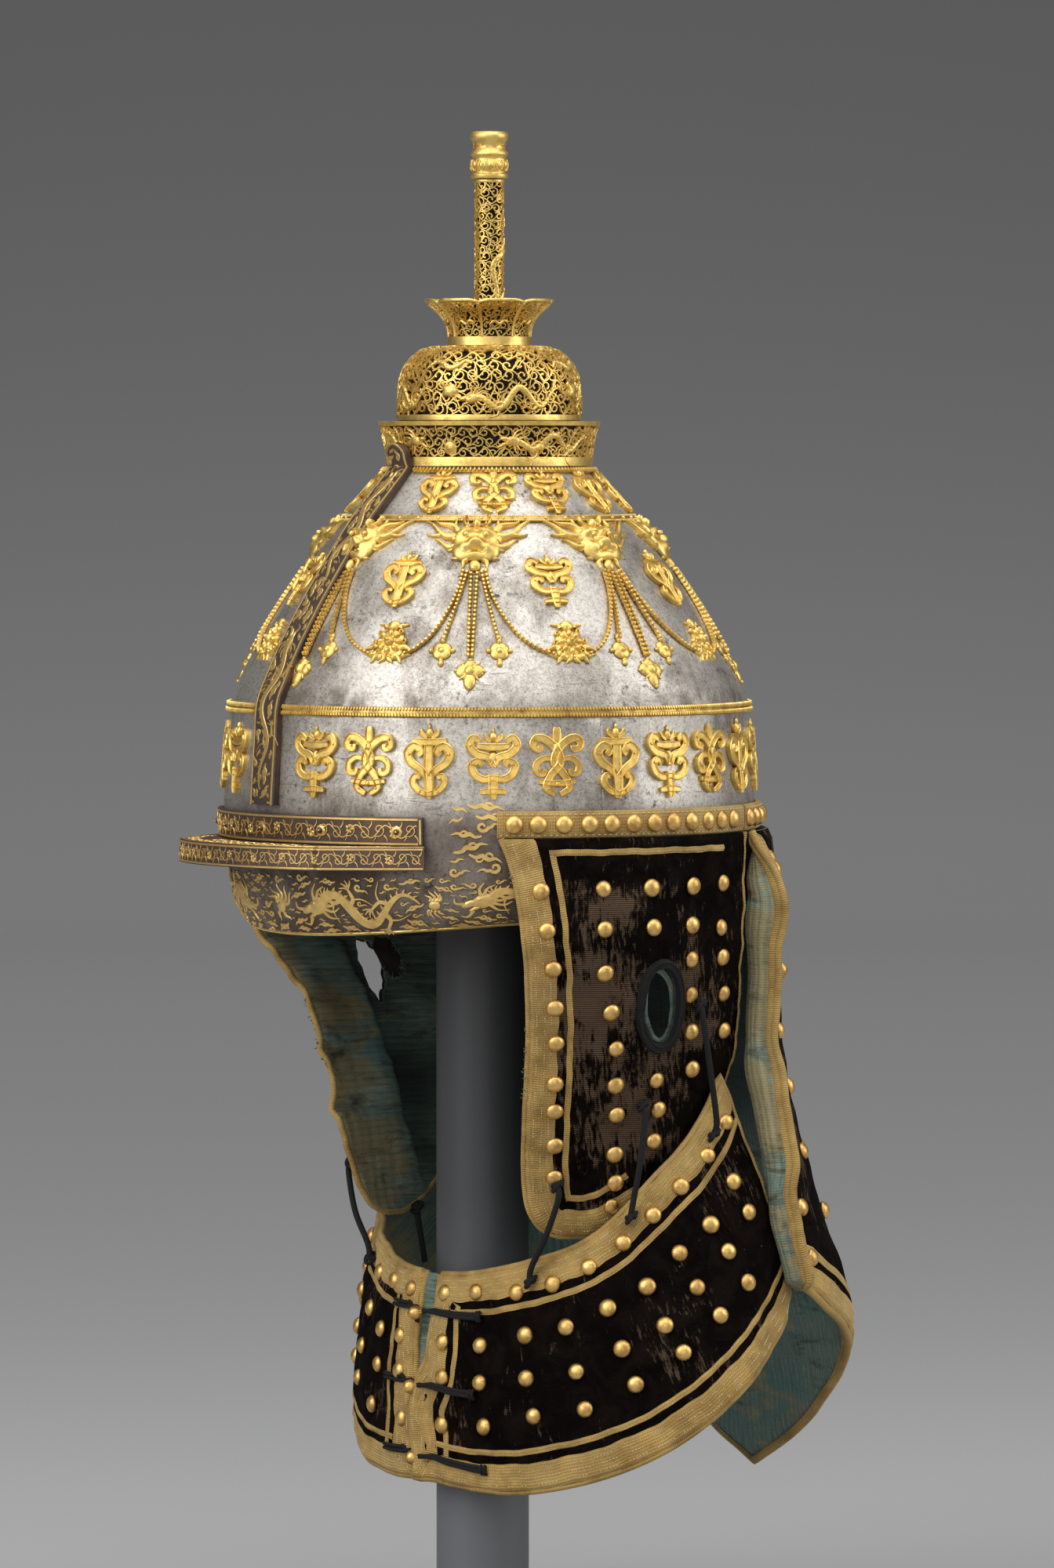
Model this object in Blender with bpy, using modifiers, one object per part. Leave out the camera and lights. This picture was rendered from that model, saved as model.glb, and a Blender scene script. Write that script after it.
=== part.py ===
# Ceremonial helmet with ear flaps, nape guard and collar, on a plain post stand.
# Metres, +Z up. The stand and the helmet share the Z axis, the stand's underside is z = 0,
# the brow faces -Y and the wearer's left side is +X.
# Tables are in millimetres and degrees. Heights in them are measured from the bowl's rim,
# and an angle is 0 at the brow, 90 at the wearer's left ear and 180 at the nape.
import math

import bmesh
import bpy
from mathutils import Vector

MM = 0.001
GAP = 0.4 * MM                  # clearance between neighbouring pieces
MOUNT_GAP = 0.7 * MM            # clearance under what is bent round the bowl's facets
RIM_HEIGHT = 300 * MM           # bowl rim above the stand's underside

# ---- driving dimensions -------------------------------------------------------------------

BOWL_WALL = 2.0 * MM
BOWL_STEPS = 24                 # facets of one half bowl
RIM_RISE = 7.8 * MM             # the rim is this much higher over the ears than at the brow
RIM_RISE_REACH = 24 * MM        # height over which the rise fades out

# height, radius: the bowl's outer side from crown to rim
BOWL_ROWS = [
    (189.4, 42.9), (179.0, 51.8), (168.7, 61.1), (154.4, 71.8), (142.7, 80.0), (131.0, 87.8),
    (118.0, 95.6), (103.7, 103.0), (93.6, 107.1), (80.0, 108.1), (49.7, 109.9), (30.0, 108.1),
    (14.0, 106.0), (5.0, 102.6), (0.0, 98.8),
]
CROWN_ROWS = [(194.5, 6.0), (193.6, 22.0), (191.8, 36.0), (190.6, 41.2)]

COMB_WIDTH = 16.0 * MM
COMB_THICKNESS = 3.4 * MM
COMB_BOTTOM = 53.4              # height of the comb's foot
COMB_TOP = 201.0
COMB_TOP_ROWS = [(201.0, 44.8), (195.0, 43.8)]      # the comb's top stands over the collar's foot

# name, height, band width, thickness: rope mouldings round the bowl
MOULDINGS = [
    ("top_moulding", 187.9, 3.0, 1.5),
    ("upper_moulding", 168.2, 3.4, 1.4),
    ("lower_moulding", 92.2, 3.4, 1.5),
]

BROW_HALF_ANGLE = 41.5
BROW_PLATE_BOTTOM = 38.6
BROW_PLATE_HEIGHT = 11.6 * MM
BROW_PLATE_THICKNESS = 1.8 * MM

SHELF_TOP = 38.2
SHELF_DEPTH = 9.4 * MM          # height of the shelf's turned-down edge
SHELF_WALL = 1.8 * MM
SHELF_CLEARANCE = 0.3           # between the shelf's inner edge and the bowl's widest row
# forward, sideways: half outline of the shelf from its tip to its end
SHELF_ROWS = [(132.0, 0.0), (130.6, 18.0), (126.8, 34.0), (122.0, 46.5), (120.0, 48.6),
              (119.0, 50.8), (109.0, 60.0), (98.0, 68.2), (84.5, 76.5)]

MASK_COUNT = 8
MASK_FIRST_ANGLE = 5.2
MASK_HEIGHT = 156.6
# up from the mount's middle, half width: outlines of a mask and of a medallion
MASK_ROWS = [(12.2, 18.8), (7.0, 16.4), (1.0, 11.8), (-6.0, 8.4), (-12.4, 9.0)]
MASK_SWELL = 3.4 * MM
MEDALLION_ANGLE = 24.5          # from a mask to the medallion on its left
MEDALLION_HEIGHT = 119.4
MEDALLION_ROWS = [(10.6, 4.4), (5.0, 6.8), (-1.0, 7.4), (-6.0, 10.6), (-10.6, 6.0)]
MEDALLION_SWELL = 2.2 * MM
MOUNT_WALL = 1.2 * MM           # sheet of a mask or medallion, which is hollow behind
COMB_SIDE = 3.2                 # a comb covers its masks up to this far left of their middle

# height, radius: profiles of the turned finial pieces, each down its outer side
COLLAR_ROWS = [(209.4, 45.2), (207.2, 44.8), (202.0, 43.2), (195.4, 42.3), (191.3, 42.3),
               (191.3, 41.3), (195.6, 41.2), (201.8, 42.0), (207.4, 43.6), (209.4, 44.0)]
DOME_ROWS = [(240.6, 0.0), (240.2, 23.6), (236.2, 31.5), (232.4, 34.9), (228.5, 36.6),
             (224.0, 37.2), (213.2, 37.2), (211.0, 37.8), (209.9, 37.8), (209.9, 36.8),
             (192.5, 36.8), (192.5, 35.6), (223.8, 35.6), (228.0, 35.2), (231.8, 33.5),
             (235.2, 30.2), (239.0, 22.6), (239.4, 0.0)]
CUP_ROWS = [(242.2, 0.0), (242.2, 14.8), (244.6, 15.6), (247.6, 15.9), (251.6, 17.4),
            (255.6, 21.2), (259.2, 25.2), (259.6, 26.0), (256.2, 22.4), (251.8, 18.4),
            (247.6, 16.9), (244.4, 16.8), (241.0, 16.6), (241.0, 0.0)]
TUBE_ROWS = [(309.6, 6.2), (242.6, 6.2), (242.6, 5.0), (309.6, 5.0)]
CAP_ROWS = [(329.5, 0.0), (329.3, 5.6), (328.3, 7.4), (326.4, 7.8), (324.6, 7.0), (323.2, 6.2),
            (321.8, 6.4), (321.2, 7.7), (319.4, 7.8), (318.4, 7.0), (316.4, 7.6), (313.6, 7.5),
            (312.2, 6.9), (311.8, 7.6), (309.9, 7.6), (309.9, 0.0)]

PANEL_TOP = 41.6                # top edge of the textile panels, under their bands
BAND_BOTTOM = 42.0
BAND_HEIGHT = 10.4 * MM
BAND_THICKNESS = 2.6 * MM
BAND_SIDE_ANGLES = (57.0, 123.6)
BAND_NAPE_ANGLES = (124.4, 235.6)

FLAP_RADIUS = 113.8
FLAP_THICKNESS = 3.0 * MM
FLAP_LENGTH = 125.0             # below the rim
FLAP_INWARD = 38.0              # how far the flap's foot leans in towards the neck
FLAP_BACKWARD = 35.0            # and how far it swings back
# height, front angle, rear angle: the flap's outline
FLAP_ROWS = [
    (41.6, 57.6, 123.2), (33.0, 58.6, 122.6), (20.0, 59.8, 120.4), (7.0, 60.8, 118.2),
    (-8.0, 61.5, 115.2), (-22.0, 61.7, 113.0), (-36.0, 61.6, 110.5), (-50.0, 61.0, 108.0),
    (-66.0, 60.3, 104.6), (-80.0, 59.8, 101.0), (-93.0, 59.5, 96.6), (-104.0, 59.6, 91.6),
    (-112.0, 60.2, 86.6), (-118.5, 61.8, 81.2), (-122.0, 63.8, 76.8), (-124.0, 66.4, 72.8),
]
FLAP_COLUMNS = 9
EAR_HOLE_ANGLE = 92.0
EAR_HOLE_HEIGHT = -28.4
EAR_HOLE_HALF_SIZE = (8.6 * MM, 14.6 * MM)
EAR_CORD_DIAMETER = 2.0 * MM

NAPE_HALF_ANGLE = 54.6          # from the centre back to the guard's edge at the band
NAPE_WAIST_ANGLE = 52.0         # and to its edge below the rim
NAPE_THICKNESS = 5.0 * MM
NAPE_COLUMNS = 16
NAPE_LEVELS = 14
NAPE_WAIST_SHARE = 0.24         # share of the drop at which the waist is reached
# share of the drop, then the outer radius at the edge, at the side and at the centre back
NAPE_ROWS = [
    (0.00, 117.2, 117.0, 117.0), (0.05, 119.2, 117.8, 117.4), (0.12, 120.6, 119.6, 119.0),
    (0.24, 119.4, 121.6, 120.6), (0.38, 119.6, 120.6, 120.4), (0.52, 120.4, 124.6, 122.8),
    (0.66, 125.0, 132.0, 128.0), (0.78, 129.4, 139.0, 132.4), (0.90, 134.0, 148.4, 135.8),
    (1.00, 139.0, 152.0, 137.4),
]
NAPE_SIDE_ANGLE = 34.6          # from the centre back to the fullest part of the side
# angle from the centre back, height: the guard's lower edge, which comes to a point
NAPE_HEM_ROWS = [(0.0, -231.0), (8.0, -221.0), (18.0, -205.0), (27.0, -187.0), (34.6, -171.0),
                 (43.0, -159.0), (52.0, -146.0)]

COLLAR_THICKNESS = 3.6 * MM
COLLAR_CENTRE = 38.0            # of the top edge, behind the helmet's axis
COLLAR_TOP_REACH = (96.0, 68.0)         # sideways and forward of that centre
COLLAR_HEM_CENTRE = 43.0
COLLAR_HEM_REACH = (117.0, 78.0)
COLLAR_FRONT_ANGLES = (3.4, -2.4)       # of the closing edges: left half, right half
COLLAR_SWELL = 3.4              # how far the middle stands out between the two edges
COLLAR_COLUMNS = 14
COLLAR_LEVELS = 5
# share of the way round, top angle, top height, hem angle, hem height
COLLAR_ROWS_ROUND = [
    (0.00, 0.0, -142.0, 0.0, -226.5), (0.10, 10.5, -141.0, 13.0, -228.4),
    (0.20, 21.0, -138.2, 26.0, -228.0), (0.30, 32.0, -134.0, 39.0, -224.0),
    (0.40, 42.5, -129.4, 52.0, -217.6), (0.50, 52.5, -122.4, 65.0, -208.8),
    (0.60, 62.0, -111.6, 77.0, -198.4), (0.70, 72.0, -98.8, 89.0, -186.6),
    (0.80, 82.0, -87.6, 101.0, -173.6), (0.90, 92.0, -74.0, 111.0, -161.6),
    (1.00, 101.5, -58.0, 119.0, -148.0),
]

TIE_DIAMETER = 2.6 * MM
CORD_SPACING = 2.0              # diameters between the points of a cord's route
# flap angle and height, then share of the way round and down the collar: ends of the tie cords
TIES = [
    ("front", (65.5, -101.0), (0.305, 0.09)),
    ("middle", (85.5, -68.2), (0.61, 0.05)),
    ("rear", (103.6, -28.0), (0.915, 0.08)),
]

LOOP_DIAMETER = 2.2 * MM
LOOP_REACH = 0.20               # share of the way round that a loop's ends reach
LOOP_SPREAD = (0.012, 0.022)    # share of the height that its ends lie above and below the button
BUTTON_RADIUS = 3.9 * MM
BUTTON_AROUND = 0.035           # share of the way round at which the buttons sit
# name, share of the collar's height of each closure
CLOSURES = [("top", 0.20), ("middle", 0.56), ("bottom", 0.91)]

POST_RADIUS = 18.7 * MM
POST_TOP = 191.2                # height at which the crown rests on the post
BASE_RADIUS = 115 * MM
BASE_THICKNESS = 12 * MM
BASE_BEVEL = 1.5 * MM

COLOURS = {                     # name: colour, roughness, metallic
    "steel": ((0.42, 0.41, 0.40), 0.32, 1.0),
    "dark_iron": ((0.10, 0.07, 0.055), 0.45, 0.8),
    "gilt": ((0.83, 0.58, 0.16), 0.30, 1.0),
    "velvet": ((0.030, 0.022, 0.020), 0.90, 0.0),
    "ribbon": ((0.42, 0.33, 0.15), 0.80, 0.0),
    "cord": ((0.015, 0.014, 0.014), 0.80, 0.0),
    "stand_paint": ((0.16, 0.16, 0.17), 0.55, 0.0),
}


# ---- scene and materials ------------------------------------------------------------------

def clear_scene():
    for thing in list(bpy.data.objects):
        bpy.data.objects.remove(thing, do_unlink=True)


def collection(name):
    group = bpy.data.collections.new(name)
    bpy.context.scene.collection.children.link(group)
    return group


def make_material(name, colour, roughness, metallic):
    material = bpy.data.materials.new(name)
    material.use_nodes = True
    shader = material.node_tree.nodes["Principled BSDF"]
    shader.inputs["Base Color"].default_value = (*colour, 1.0)
    shader.inputs["Roughness"].default_value = roughness
    shader.inputs["Metallic"].default_value = metallic
    return material


def put(thing, group, finish=None):
    for owner in list(thing.users_collection):
        owner.objects.unlink(thing)
    group.objects.link(thing)
    if finish:
        thing.data.materials.clear()
        thing.data.materials.append(MATERIALS[finish])
    return thing


# ---- the bowl's surface, which the metal mounts follow -------------------------------------

def between(rows, key, column):
    """Value of a column where the rows' first column reaches the key."""
    first, last = rows[0], rows[-1]
    rising = last[0] > first[0]
    if (key <= first[0]) == rising:
        return first[column]
    for lower, upper in zip(rows, rows[1:]):
        if min(lower[0], upper[0]) <= key <= max(lower[0], upper[0]):
            share = (key - lower[0]) / (upper[0] - lower[0])
            return lower[column] + share * (upper[column] - lower[column])
    return last[column]


MOUNT_ROWS = COMB_TOP_ROWS + BOWL_ROWS
RUN_ROWS = [(0.0, *MOUNT_ROWS[0])]          # run down the meridian, height, radius
for before, after in zip(MOUNT_ROWS, MOUNT_ROWS[1:]):
    RUN_ROWS.append((RUN_ROWS[-1][0] + math.dist(before, after), *after))
RUN_OF_HEIGHT = [(height, run) for run, height, radius in RUN_ROWS]


def on_bowl(angle, run, lift):
    """Point at an angle in degrees and a run in millimetres, lifted off the bowl in metres."""
    reach = 2.0
    height = between(RUN_ROWS, run, 1)
    radius = between(RUN_ROWS, run, 2)
    fall = between(RUN_ROWS, run - reach, 1) - between(RUN_ROWS, run + reach, 1)
    spread = between(RUN_ROWS, run + reach, 2) - between(RUN_ROWS, run - reach, 2)
    length = math.hypot(fall, spread)
    out = radius * MM + lift * fall / length
    rise = height * MM + lift * spread / length
    turn = math.radians(angle)
    return Vector((out * math.sin(turn), -out * math.cos(turn), RIM_HEIGHT + rise))


def wrap(thing, angle, height, hoop_radius=None):
    """Bends a flat piece (x sideways, y up, z off the surface) onto the bowl at a height.

    It keeps its width all the way up, or with a hoop radius its ends stay on a meridian.
    """
    centre_run = between(RUN_OF_HEIGHT, height, 1)
    for vertex in thing.data.vertices:
        across, up, lift = vertex.co
        run = centre_run - up / MM
        radius = hoop_radius or between(RUN_ROWS, run, 2) * MM
        vertex.co = on_bowl(angle + math.degrees(across / radius), run, lift + MOUNT_GAP)
    return thing


# ---- shape tools ---------------------------------------------------------------------------

def mesh_object(name, bm, group, finish):
    mesh = bpy.data.meshes.new(name)
    bm.to_mesh(mesh)
    bm.free()
    thing = bpy.data.objects.new(name, mesh)
    return put(thing, group, finish)


def turned(name, rows, finish, steps=32, closed=True):
    """A turned piece from a table of height and radius, run down its outer side."""
    bm = bmesh.new()
    points = [bm.verts.new((radius * MM, 0.0, RIM_HEIGHT + height * MM)) for height, radius in rows]
    for lower, upper in zip(points, points[1:]):
        bm.edges.new((lower, upper))
    if closed:
        bm.edges.new((points[-1], points[0]))
    thing = mesh_object(name, bm, PARTS, finish)
    screw = thing.modifiers.new("turn", "SCREW")
    screw.steps = steps
    screw.render_steps = steps
    screw.use_merge_vertices = True
    screw.merge_threshold = 0.00001
    thing.data.shade_smooth()
    return thing


def strip(name, angles, bottom, height, thickness, finish, step=6.0):
    """A flat band bent round the bowl between two angles, from its bottom height up."""
    run = between(RUN_OF_HEIGHT, bottom, 1)
    radius = between(RUN_ROWS, run - 0.5 * height / MM, 2) * MM
    length = math.radians(angles[1] - angles[0]) * radius
    bm = bmesh.new()
    bmesh.ops.create_cube(bm, size=1.0)
    bmesh.ops.scale(bm, vec=(length, height, thickness), verts=bm.verts)
    bmesh.ops.translate(bm, vec=(0.0, 0.5 * height, 0.5 * thickness), verts=bm.verts)
    cuts = max(1, round((angles[1] - angles[0]) / step)) - 1
    along = [edge for edge in bm.edges if abs(edge.verts[0].co.x - edge.verts[1].co.x) > 0.5 * length]
    if cuts:
        bmesh.ops.subdivide_edges(bm, edges=along, cuts=cuts, use_grid_fill=True)
    return wrap(mesh_object(name, bm, PARTS, finish), 0.5 * sum(angles), bottom, radius)


def panel(name, point, columns, rows, thickness, finish):
    """A textile wall inside the open surface point(u, v), with u and v from 0 to 1."""
    bm = bmesh.new()
    grid = []
    for row in range(rows + 1):
        grid.append([bm.verts.new(point(column / columns, row / rows)) for column in range(columns + 1)])
    for upper, lower in zip(grid, grid[1:]):
        for column in range(columns):
            bm.faces.new((upper[column], lower[column], lower[column + 1], upper[column + 1]))
    thing = mesh_object(name, bm, PARTS, finish)
    wall = thing.modifiers.new("wall", "SOLIDIFY")
    wall.thickness = thickness
    wall.offset = -1.0
    wall.use_even_offset = True
    thing.data.shade_smooth()
    return thing


def flipped(thing):
    """The same piece with its faces turned over, for a wall built on the other side."""
    bm = bmesh.new()
    bm.from_mesh(thing.data)
    bmesh.ops.reverse_faces(bm, faces=bm.faces)
    bm.to_mesh(thing.data)
    bm.free()
    return thing


def smooth_route(points, spacing):
    """Points at an even spacing on a smooth curve through the route's own points."""
    ends = [2 * points[0] - points[1], *points, 2 * points[-1] - points[-2]]
    route = []
    for p0, p1, p2, p3 in zip(ends, ends[1:], ends[2:], ends[3:]):
        pieces = max(1, round((p2 - p1).length / spacing))
        for piece in range(pieces):
            t = piece / pieces
            route.append(0.5 * (2 * p1 + (p2 - p0) * t + (2 * p0 - 5 * p1 + 4 * p2 - p3) * t ** 2
                                + (3 * p1 - p0 - 3 * p2 + p3) * t ** 3))
    route.append(points[-1])
    return route


def cord(name, points, diameter, cyclic=False):
    curve = bpy.data.curves.new(name, "CURVE")
    curve.dimensions = "3D"
    curve.bevel_depth = 0.5 * diameter
    curve.bevel_resolution = 2
    curve.use_fill_caps = not cyclic
    spline = curve.splines.new("POLY")
    spline.points.add(len(points) - 1)
    for target, point in zip(spline.points, points):
        target.co = (*point, 1.0)
    spline.use_cyclic_u = cyclic
    return put(bpy.data.objects.new(name, curve), PARTS, "cord")


def ball(name, centre, radius, finish):
    bpy.ops.mesh.primitive_uv_sphere_add(segments=12, ring_count=8, radius=radius, location=centre)
    thing = put(bpy.context.object, PARTS, finish)
    thing.name = name
    thing.data.shade_smooth()
    return thing


def cut(thing, cutter):
    put(cutter, CUTTERS)
    cutter.hide_render = True
    cutter.display_type = "WIRE"
    boolean = thing.modifiers.new("cut", "BOOLEAN")
    boolean.operation = "DIFFERENCE"
    boolean.object = cutter


# ---- metal ---------------------------------------------------------------------------------

def rim_rise(point):
    """How much the rim is raised over the ears, fading out up the bowl."""
    height = point.z - RIM_HEIGHT
    around = math.atan2(point.x, -point.y)
    fade = max(0.0, 1.0 - height / RIM_RISE_REACH)
    return RIM_RISE * math.sin(around) ** 2 * fade


def bowl_half(name, side):
    rows = CROWN_ROWS + BOWL_ROWS
    bm = bmesh.new()
    grid = [[] for row in rows]
    for step in range(BOWL_STEPS + 1):
        turn = math.pi * step / BOWL_STEPS
        for line, (height, radius) in zip(grid, rows):
            place = Vector((side * radius * MM * math.sin(turn), -radius * MM * math.cos(turn),
                            RIM_HEIGHT + height * MM))
            place.z += rim_rise(place)
            place.x += side * 0.5 * GAP
            line.append(bm.verts.new(place))
    for upper, lower in zip(grid, grid[1:]):
        for step in range(BOWL_STEPS):
            corners = (upper[step], lower[step], lower[step + 1], upper[step + 1])
            bm.faces.new(corners if side > 0 else tuple(reversed(corners)))
    thing = mesh_object(name, bm, PARTS, "steel")
    wall = thing.modifiers.new("wall", "SOLIDIFY")
    wall.thickness = BOWL_WALL
    wall.offset = -1.0
    wall.use_even_offset = True
    thing.data.shade_smooth()


def comb(name, angle):
    top = between(RUN_OF_HEIGHT, COMB_TOP, 1)
    bottom = between(RUN_OF_HEIGHT, COMB_BOTTOM, 1)
    length = (bottom - top) * MM
    bm = bmesh.new()
    bmesh.ops.create_cube(bm, size=1.0)
    bmesh.ops.scale(bm, vec=(COMB_WIDTH, length, COMB_THICKNESS), verts=bm.verts)
    bmesh.ops.translate(bm, vec=(0.0, 0.5 * length, 0.5 * COMB_THICKNESS), verts=bm.verts)
    lengthwise = [edge for edge in bm.edges
                  if abs(edge.verts[0].co.y - edge.verts[1].co.y) > 0.5 * length]
    bmesh.ops.subdivide_edges(bm, edges=lengthwise, cuts=19, use_grid_fill=True)
    wrap(mesh_object(name, bm, PARTS, "dark_iron"), angle, COMB_BOTTOM)


def mouldings():
    for name, bottom, height, thickness in MOULDINGS:
        radius = between(BOWL_ROWS, bottom, 1) * MM
        clear = math.degrees((0.5 * COMB_WIDTH + 2.0 * MOUNT_GAP) / radius)
        strip(name + "_left", (clear, 180 - clear), bottom, height * MM, thickness * MM, "gilt")
        strip(name + "_right", (180 + clear, 360 - clear), bottom, height * MM, thickness * MM, "gilt")


def brow_plate():
    strip("brow_plate", (-BROW_HALF_ANGLE, BROW_HALF_ANGLE), BROW_PLATE_BOTTOM, BROW_PLATE_HEIGHT,
          BROW_PLATE_THICKNESS, "dark_iron", step=5.0)


def outline_prism(name, outline, bottom, top, group):
    """A flat outline filled as a 2D curve and extruded between two heights."""
    curve = bpy.data.curves.new(name, "CURVE")
    curve.dimensions = "2D"
    curve.fill_mode = "BOTH"
    curve.extrude = 0.5 * (top - bottom)
    spline = curve.splines.new("POLY")
    spline.points.add(len(outline) - 1)
    for target, (x, y) in zip(spline.points, outline):
        target.co = (x, y, 0.0, 1.0)
    spline.use_cyclic_u = True
    flat = put(bpy.data.objects.new(name + "_outline", curve), group)
    flat.location.z = 0.5 * (top + bottom)
    bpy.context.view_layer.update()
    mesh = bpy.data.meshes.new_from_object(flat.evaluated_get(bpy.context.evaluated_depsgraph_get()))
    bm = bmesh.new()
    bm.from_mesh(mesh)
    bmesh.ops.remove_doubles(bm, verts=bm.verts, dist=0.00001)
    bmesh.ops.recalc_face_normals(bm, faces=bm.faces)
    bm.to_mesh(mesh)
    bm.free()
    solid = bpy.data.objects.new(name, mesh)
    solid.matrix_world = flat.matrix_world
    bpy.data.objects.remove(flat, do_unlink=True)
    group.objects.link(solid)
    return solid


def shelf_outline(inset, inner):
    """Outline of the shelf, drawn in by the inset, with its inner corner on the bowl's side."""
    half = []
    for forward, sideways in SHELF_ROWS:
        length = math.hypot(forward, sideways)
        share = (length * MM - inset) / length
        half.append((sideways * share, -forward * share))
    return half + [(0.0, -inner)] + [(-x, y) for x, y in reversed(half) if x > 0]


def peak_shelf():
    top = RIM_HEIGHT + SHELF_TOP * MM
    bottom = top - SHELF_DEPTH
    seat = (max(radius for height, radius in BOWL_ROWS) + SHELF_CLEARANCE) * MM + GAP
    shelf = outline_prism("peak_shelf", shelf_outline(0.0, 0.5 * seat), bottom, top, PARTS)
    put(shelf, PARTS, "dark_iron")
    hollow = outline_prism("shelf_hollow", shelf_outline(SHELF_WALL, 0.4 * seat), bottom - SHELF_WALL,
                           top - SHELF_WALL, CUTTERS)
    cut(shelf, hollow)
    bpy.ops.mesh.primitive_cylinder_add(vertices=72, radius=seat, depth=4 * SHELF_DEPTH,
                                        location=(0.0, 0.0, top))
    cut(shelf, bpy.context.object)


def chased_mount(name, angle, height, rows, swell, left_only=False):
    """A swelling sheet mount bent onto the bowl, of which a comb may cover the right part."""
    centre_run = between(RUN_OF_HEIGHT, height, 1)
    columns = 3 if left_only else 6

    def point(u, v):
        up = rows[0][0] + v * (rows[-1][0] - rows[0][0])
        half_width = between(rows, up, 1)
        start = COMB_SIDE if left_only else -half_width
        across = start + u * (half_width - start)
        crown = (1.0 - (across / half_width) ** 2) * (1.0 - (2.0 * v - 1.0) ** 2)
        run = centre_run - up
        turn = math.degrees(across / between(RUN_ROWS, run, 2))
        return on_bowl(angle + turn, run, MOUNT_GAP + MOUNT_WALL + swell * crown)

    panel(name, point, columns, 5, MOUNT_WALL, "gilt")


def masks_and_medallions():
    pitch = 360.0 / MASK_COUNT
    for index in range(MASK_COUNT):
        angle = MASK_FIRST_ANGLE + pitch * index
        under_comb = index % (MASK_COUNT // 2) == 0
        chased_mount("mask_%d" % (index + 1), angle, MASK_HEIGHT, MASK_ROWS, MASK_SWELL, under_comb)
        chased_mount("medallion_%d" % (index + 1), angle + MEDALLION_ANGLE, MEDALLION_HEIGHT,
                     MEDALLION_ROWS, MEDALLION_SWELL)


def finial():
    turned("finial_collar", COLLAR_ROWS, "gilt", steps=32)
    turned("finial_dome", DOME_ROWS, "gilt", steps=28, closed=False)
    turned("finial_cup", CUP_ROWS, "gilt", steps=28, closed=False)
    turned("plume_tube", TUBE_ROWS, "gilt", steps=20)
    turned("tube_cap", CAP_ROWS, "gilt", steps=24, closed=False)


# ---- textile -------------------------------------------------------------------------------

def flap_point(side, angle, height):
    """Outer face of an ear flap, which leans in and back below the rim."""
    drop = max(0.0, -height) / FLAP_LENGTH
    turn = math.radians(angle)
    x = FLAP_RADIUS * math.sin(turn) - FLAP_INWARD * drop
    y = -FLAP_RADIUS * math.cos(turn) + FLAP_BACKWARD * drop
    return Vector((side * x * MM, y * MM, RIM_HEIGHT + height * MM))


def ear_hole_point(side, turn, lift=0.0):
    """Point on the ear hole's edge, lifted off the flap."""
    centre = flap_point(side, EAR_HOLE_ANGLE, EAR_HOLE_HEIGHT)
    lean = math.atan2(FLAP_INWARD, FLAP_LENGTH)
    across = EAR_HOLE_HALF_SIZE[0] * math.cos(turn)
    up = EAR_HOLE_HALF_SIZE[1] * math.sin(turn)
    place = centre + Vector((0.0, across, up * math.cos(lean)))
    place.x += side * (up * math.sin(lean) + lift)
    return place


def ear_flap(name, side):
    rows = FLAP_ROWS

    def point(u, v):
        position = v * (len(rows) - 1)
        index = min(int(position), len(rows) - 2)
        share = position - index
        height, front, rear = (a + share * (b - a) for a, b in zip(rows[index], rows[index + 1]))
        return flap_point(side, front + u * (rear - front), height)

    flap = panel(name, point, FLAP_COLUMNS, len(rows) - 1, FLAP_THICKNESS, "velvet")
    if side < 0:
        flipped(flap)
    lean = math.atan2(FLAP_INWARD, FLAP_LENGTH)
    bpy.ops.mesh.primitive_cylinder_add(vertices=20, radius=1.0, depth=1.0)
    cutter = bpy.context.object
    cutter.scale = (EAR_HOLE_HALF_SIZE[1], EAR_HOLE_HALF_SIZE[0], 0.04)
    cutter.rotation_euler = (0.0, 0.5 * math.pi - side * lean, 0.0)
    cutter.location = flap_point(side, EAR_HOLE_ANGLE, EAR_HOLE_HEIGHT)
    cut(flap, cutter)


def ear_hole_cord(name, side):
    steps = 20
    route = []
    for step in range(steps):
        turn = 2.0 * math.pi * step / steps
        place = ear_hole_point(side, turn)
        centre = flap_point(side, EAR_HOLE_ANGLE, EAR_HOLE_HEIGHT)
        place = centre + (place - centre) * 1.28
        place.x += side * (0.5 * EAR_CORD_DIAMETER + 2.0 * GAP)
        route.append(place)
    cord(name, route, EAR_CORD_DIAMETER, cyclic=True)


def nape_guard():
    def point(u, v):
        from_back = NAPE_HALF_ANGLE * abs(2.0 * u - 1.0)
        waist = NAPE_WAIST_ANGLE / NAPE_HALF_ANGLE
        narrow = 1.0 + (waist - 1.0) * min(1.0, v / NAPE_WAIST_SHARE)
        from_back *= narrow
        hem = between(NAPE_HEM_ROWS, min(from_back, NAPE_WAIST_ANGLE), 1)
        height = PANEL_TOP + v * (hem - PANEL_TOP)
        edge, side, back = (between(NAPE_ROWS, v, column) for column in (1, 2, 3))
        if from_back < NAPE_SIDE_ANGLE:
            blend = 0.5 - 0.5 * math.cos(math.pi * from_back / NAPE_SIDE_ANGLE)
            radius = back + (side - back) * blend
        else:
            blend = (from_back - NAPE_SIDE_ANGLE) / (NAPE_HALF_ANGLE - NAPE_SIDE_ANGLE)
            radius = side + (edge - side) * min(1.0, blend)
        turn = math.radians(180.0 + (from_back if u > 0.5 else -from_back))
        return Vector((radius * MM * math.sin(turn), -radius * MM * math.cos(turn),
                       RIM_HEIGHT + height * MM))

    panel("nape_guard", point, NAPE_COLUMNS, NAPE_LEVELS, NAPE_THICKNESS, "velvet")


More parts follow.
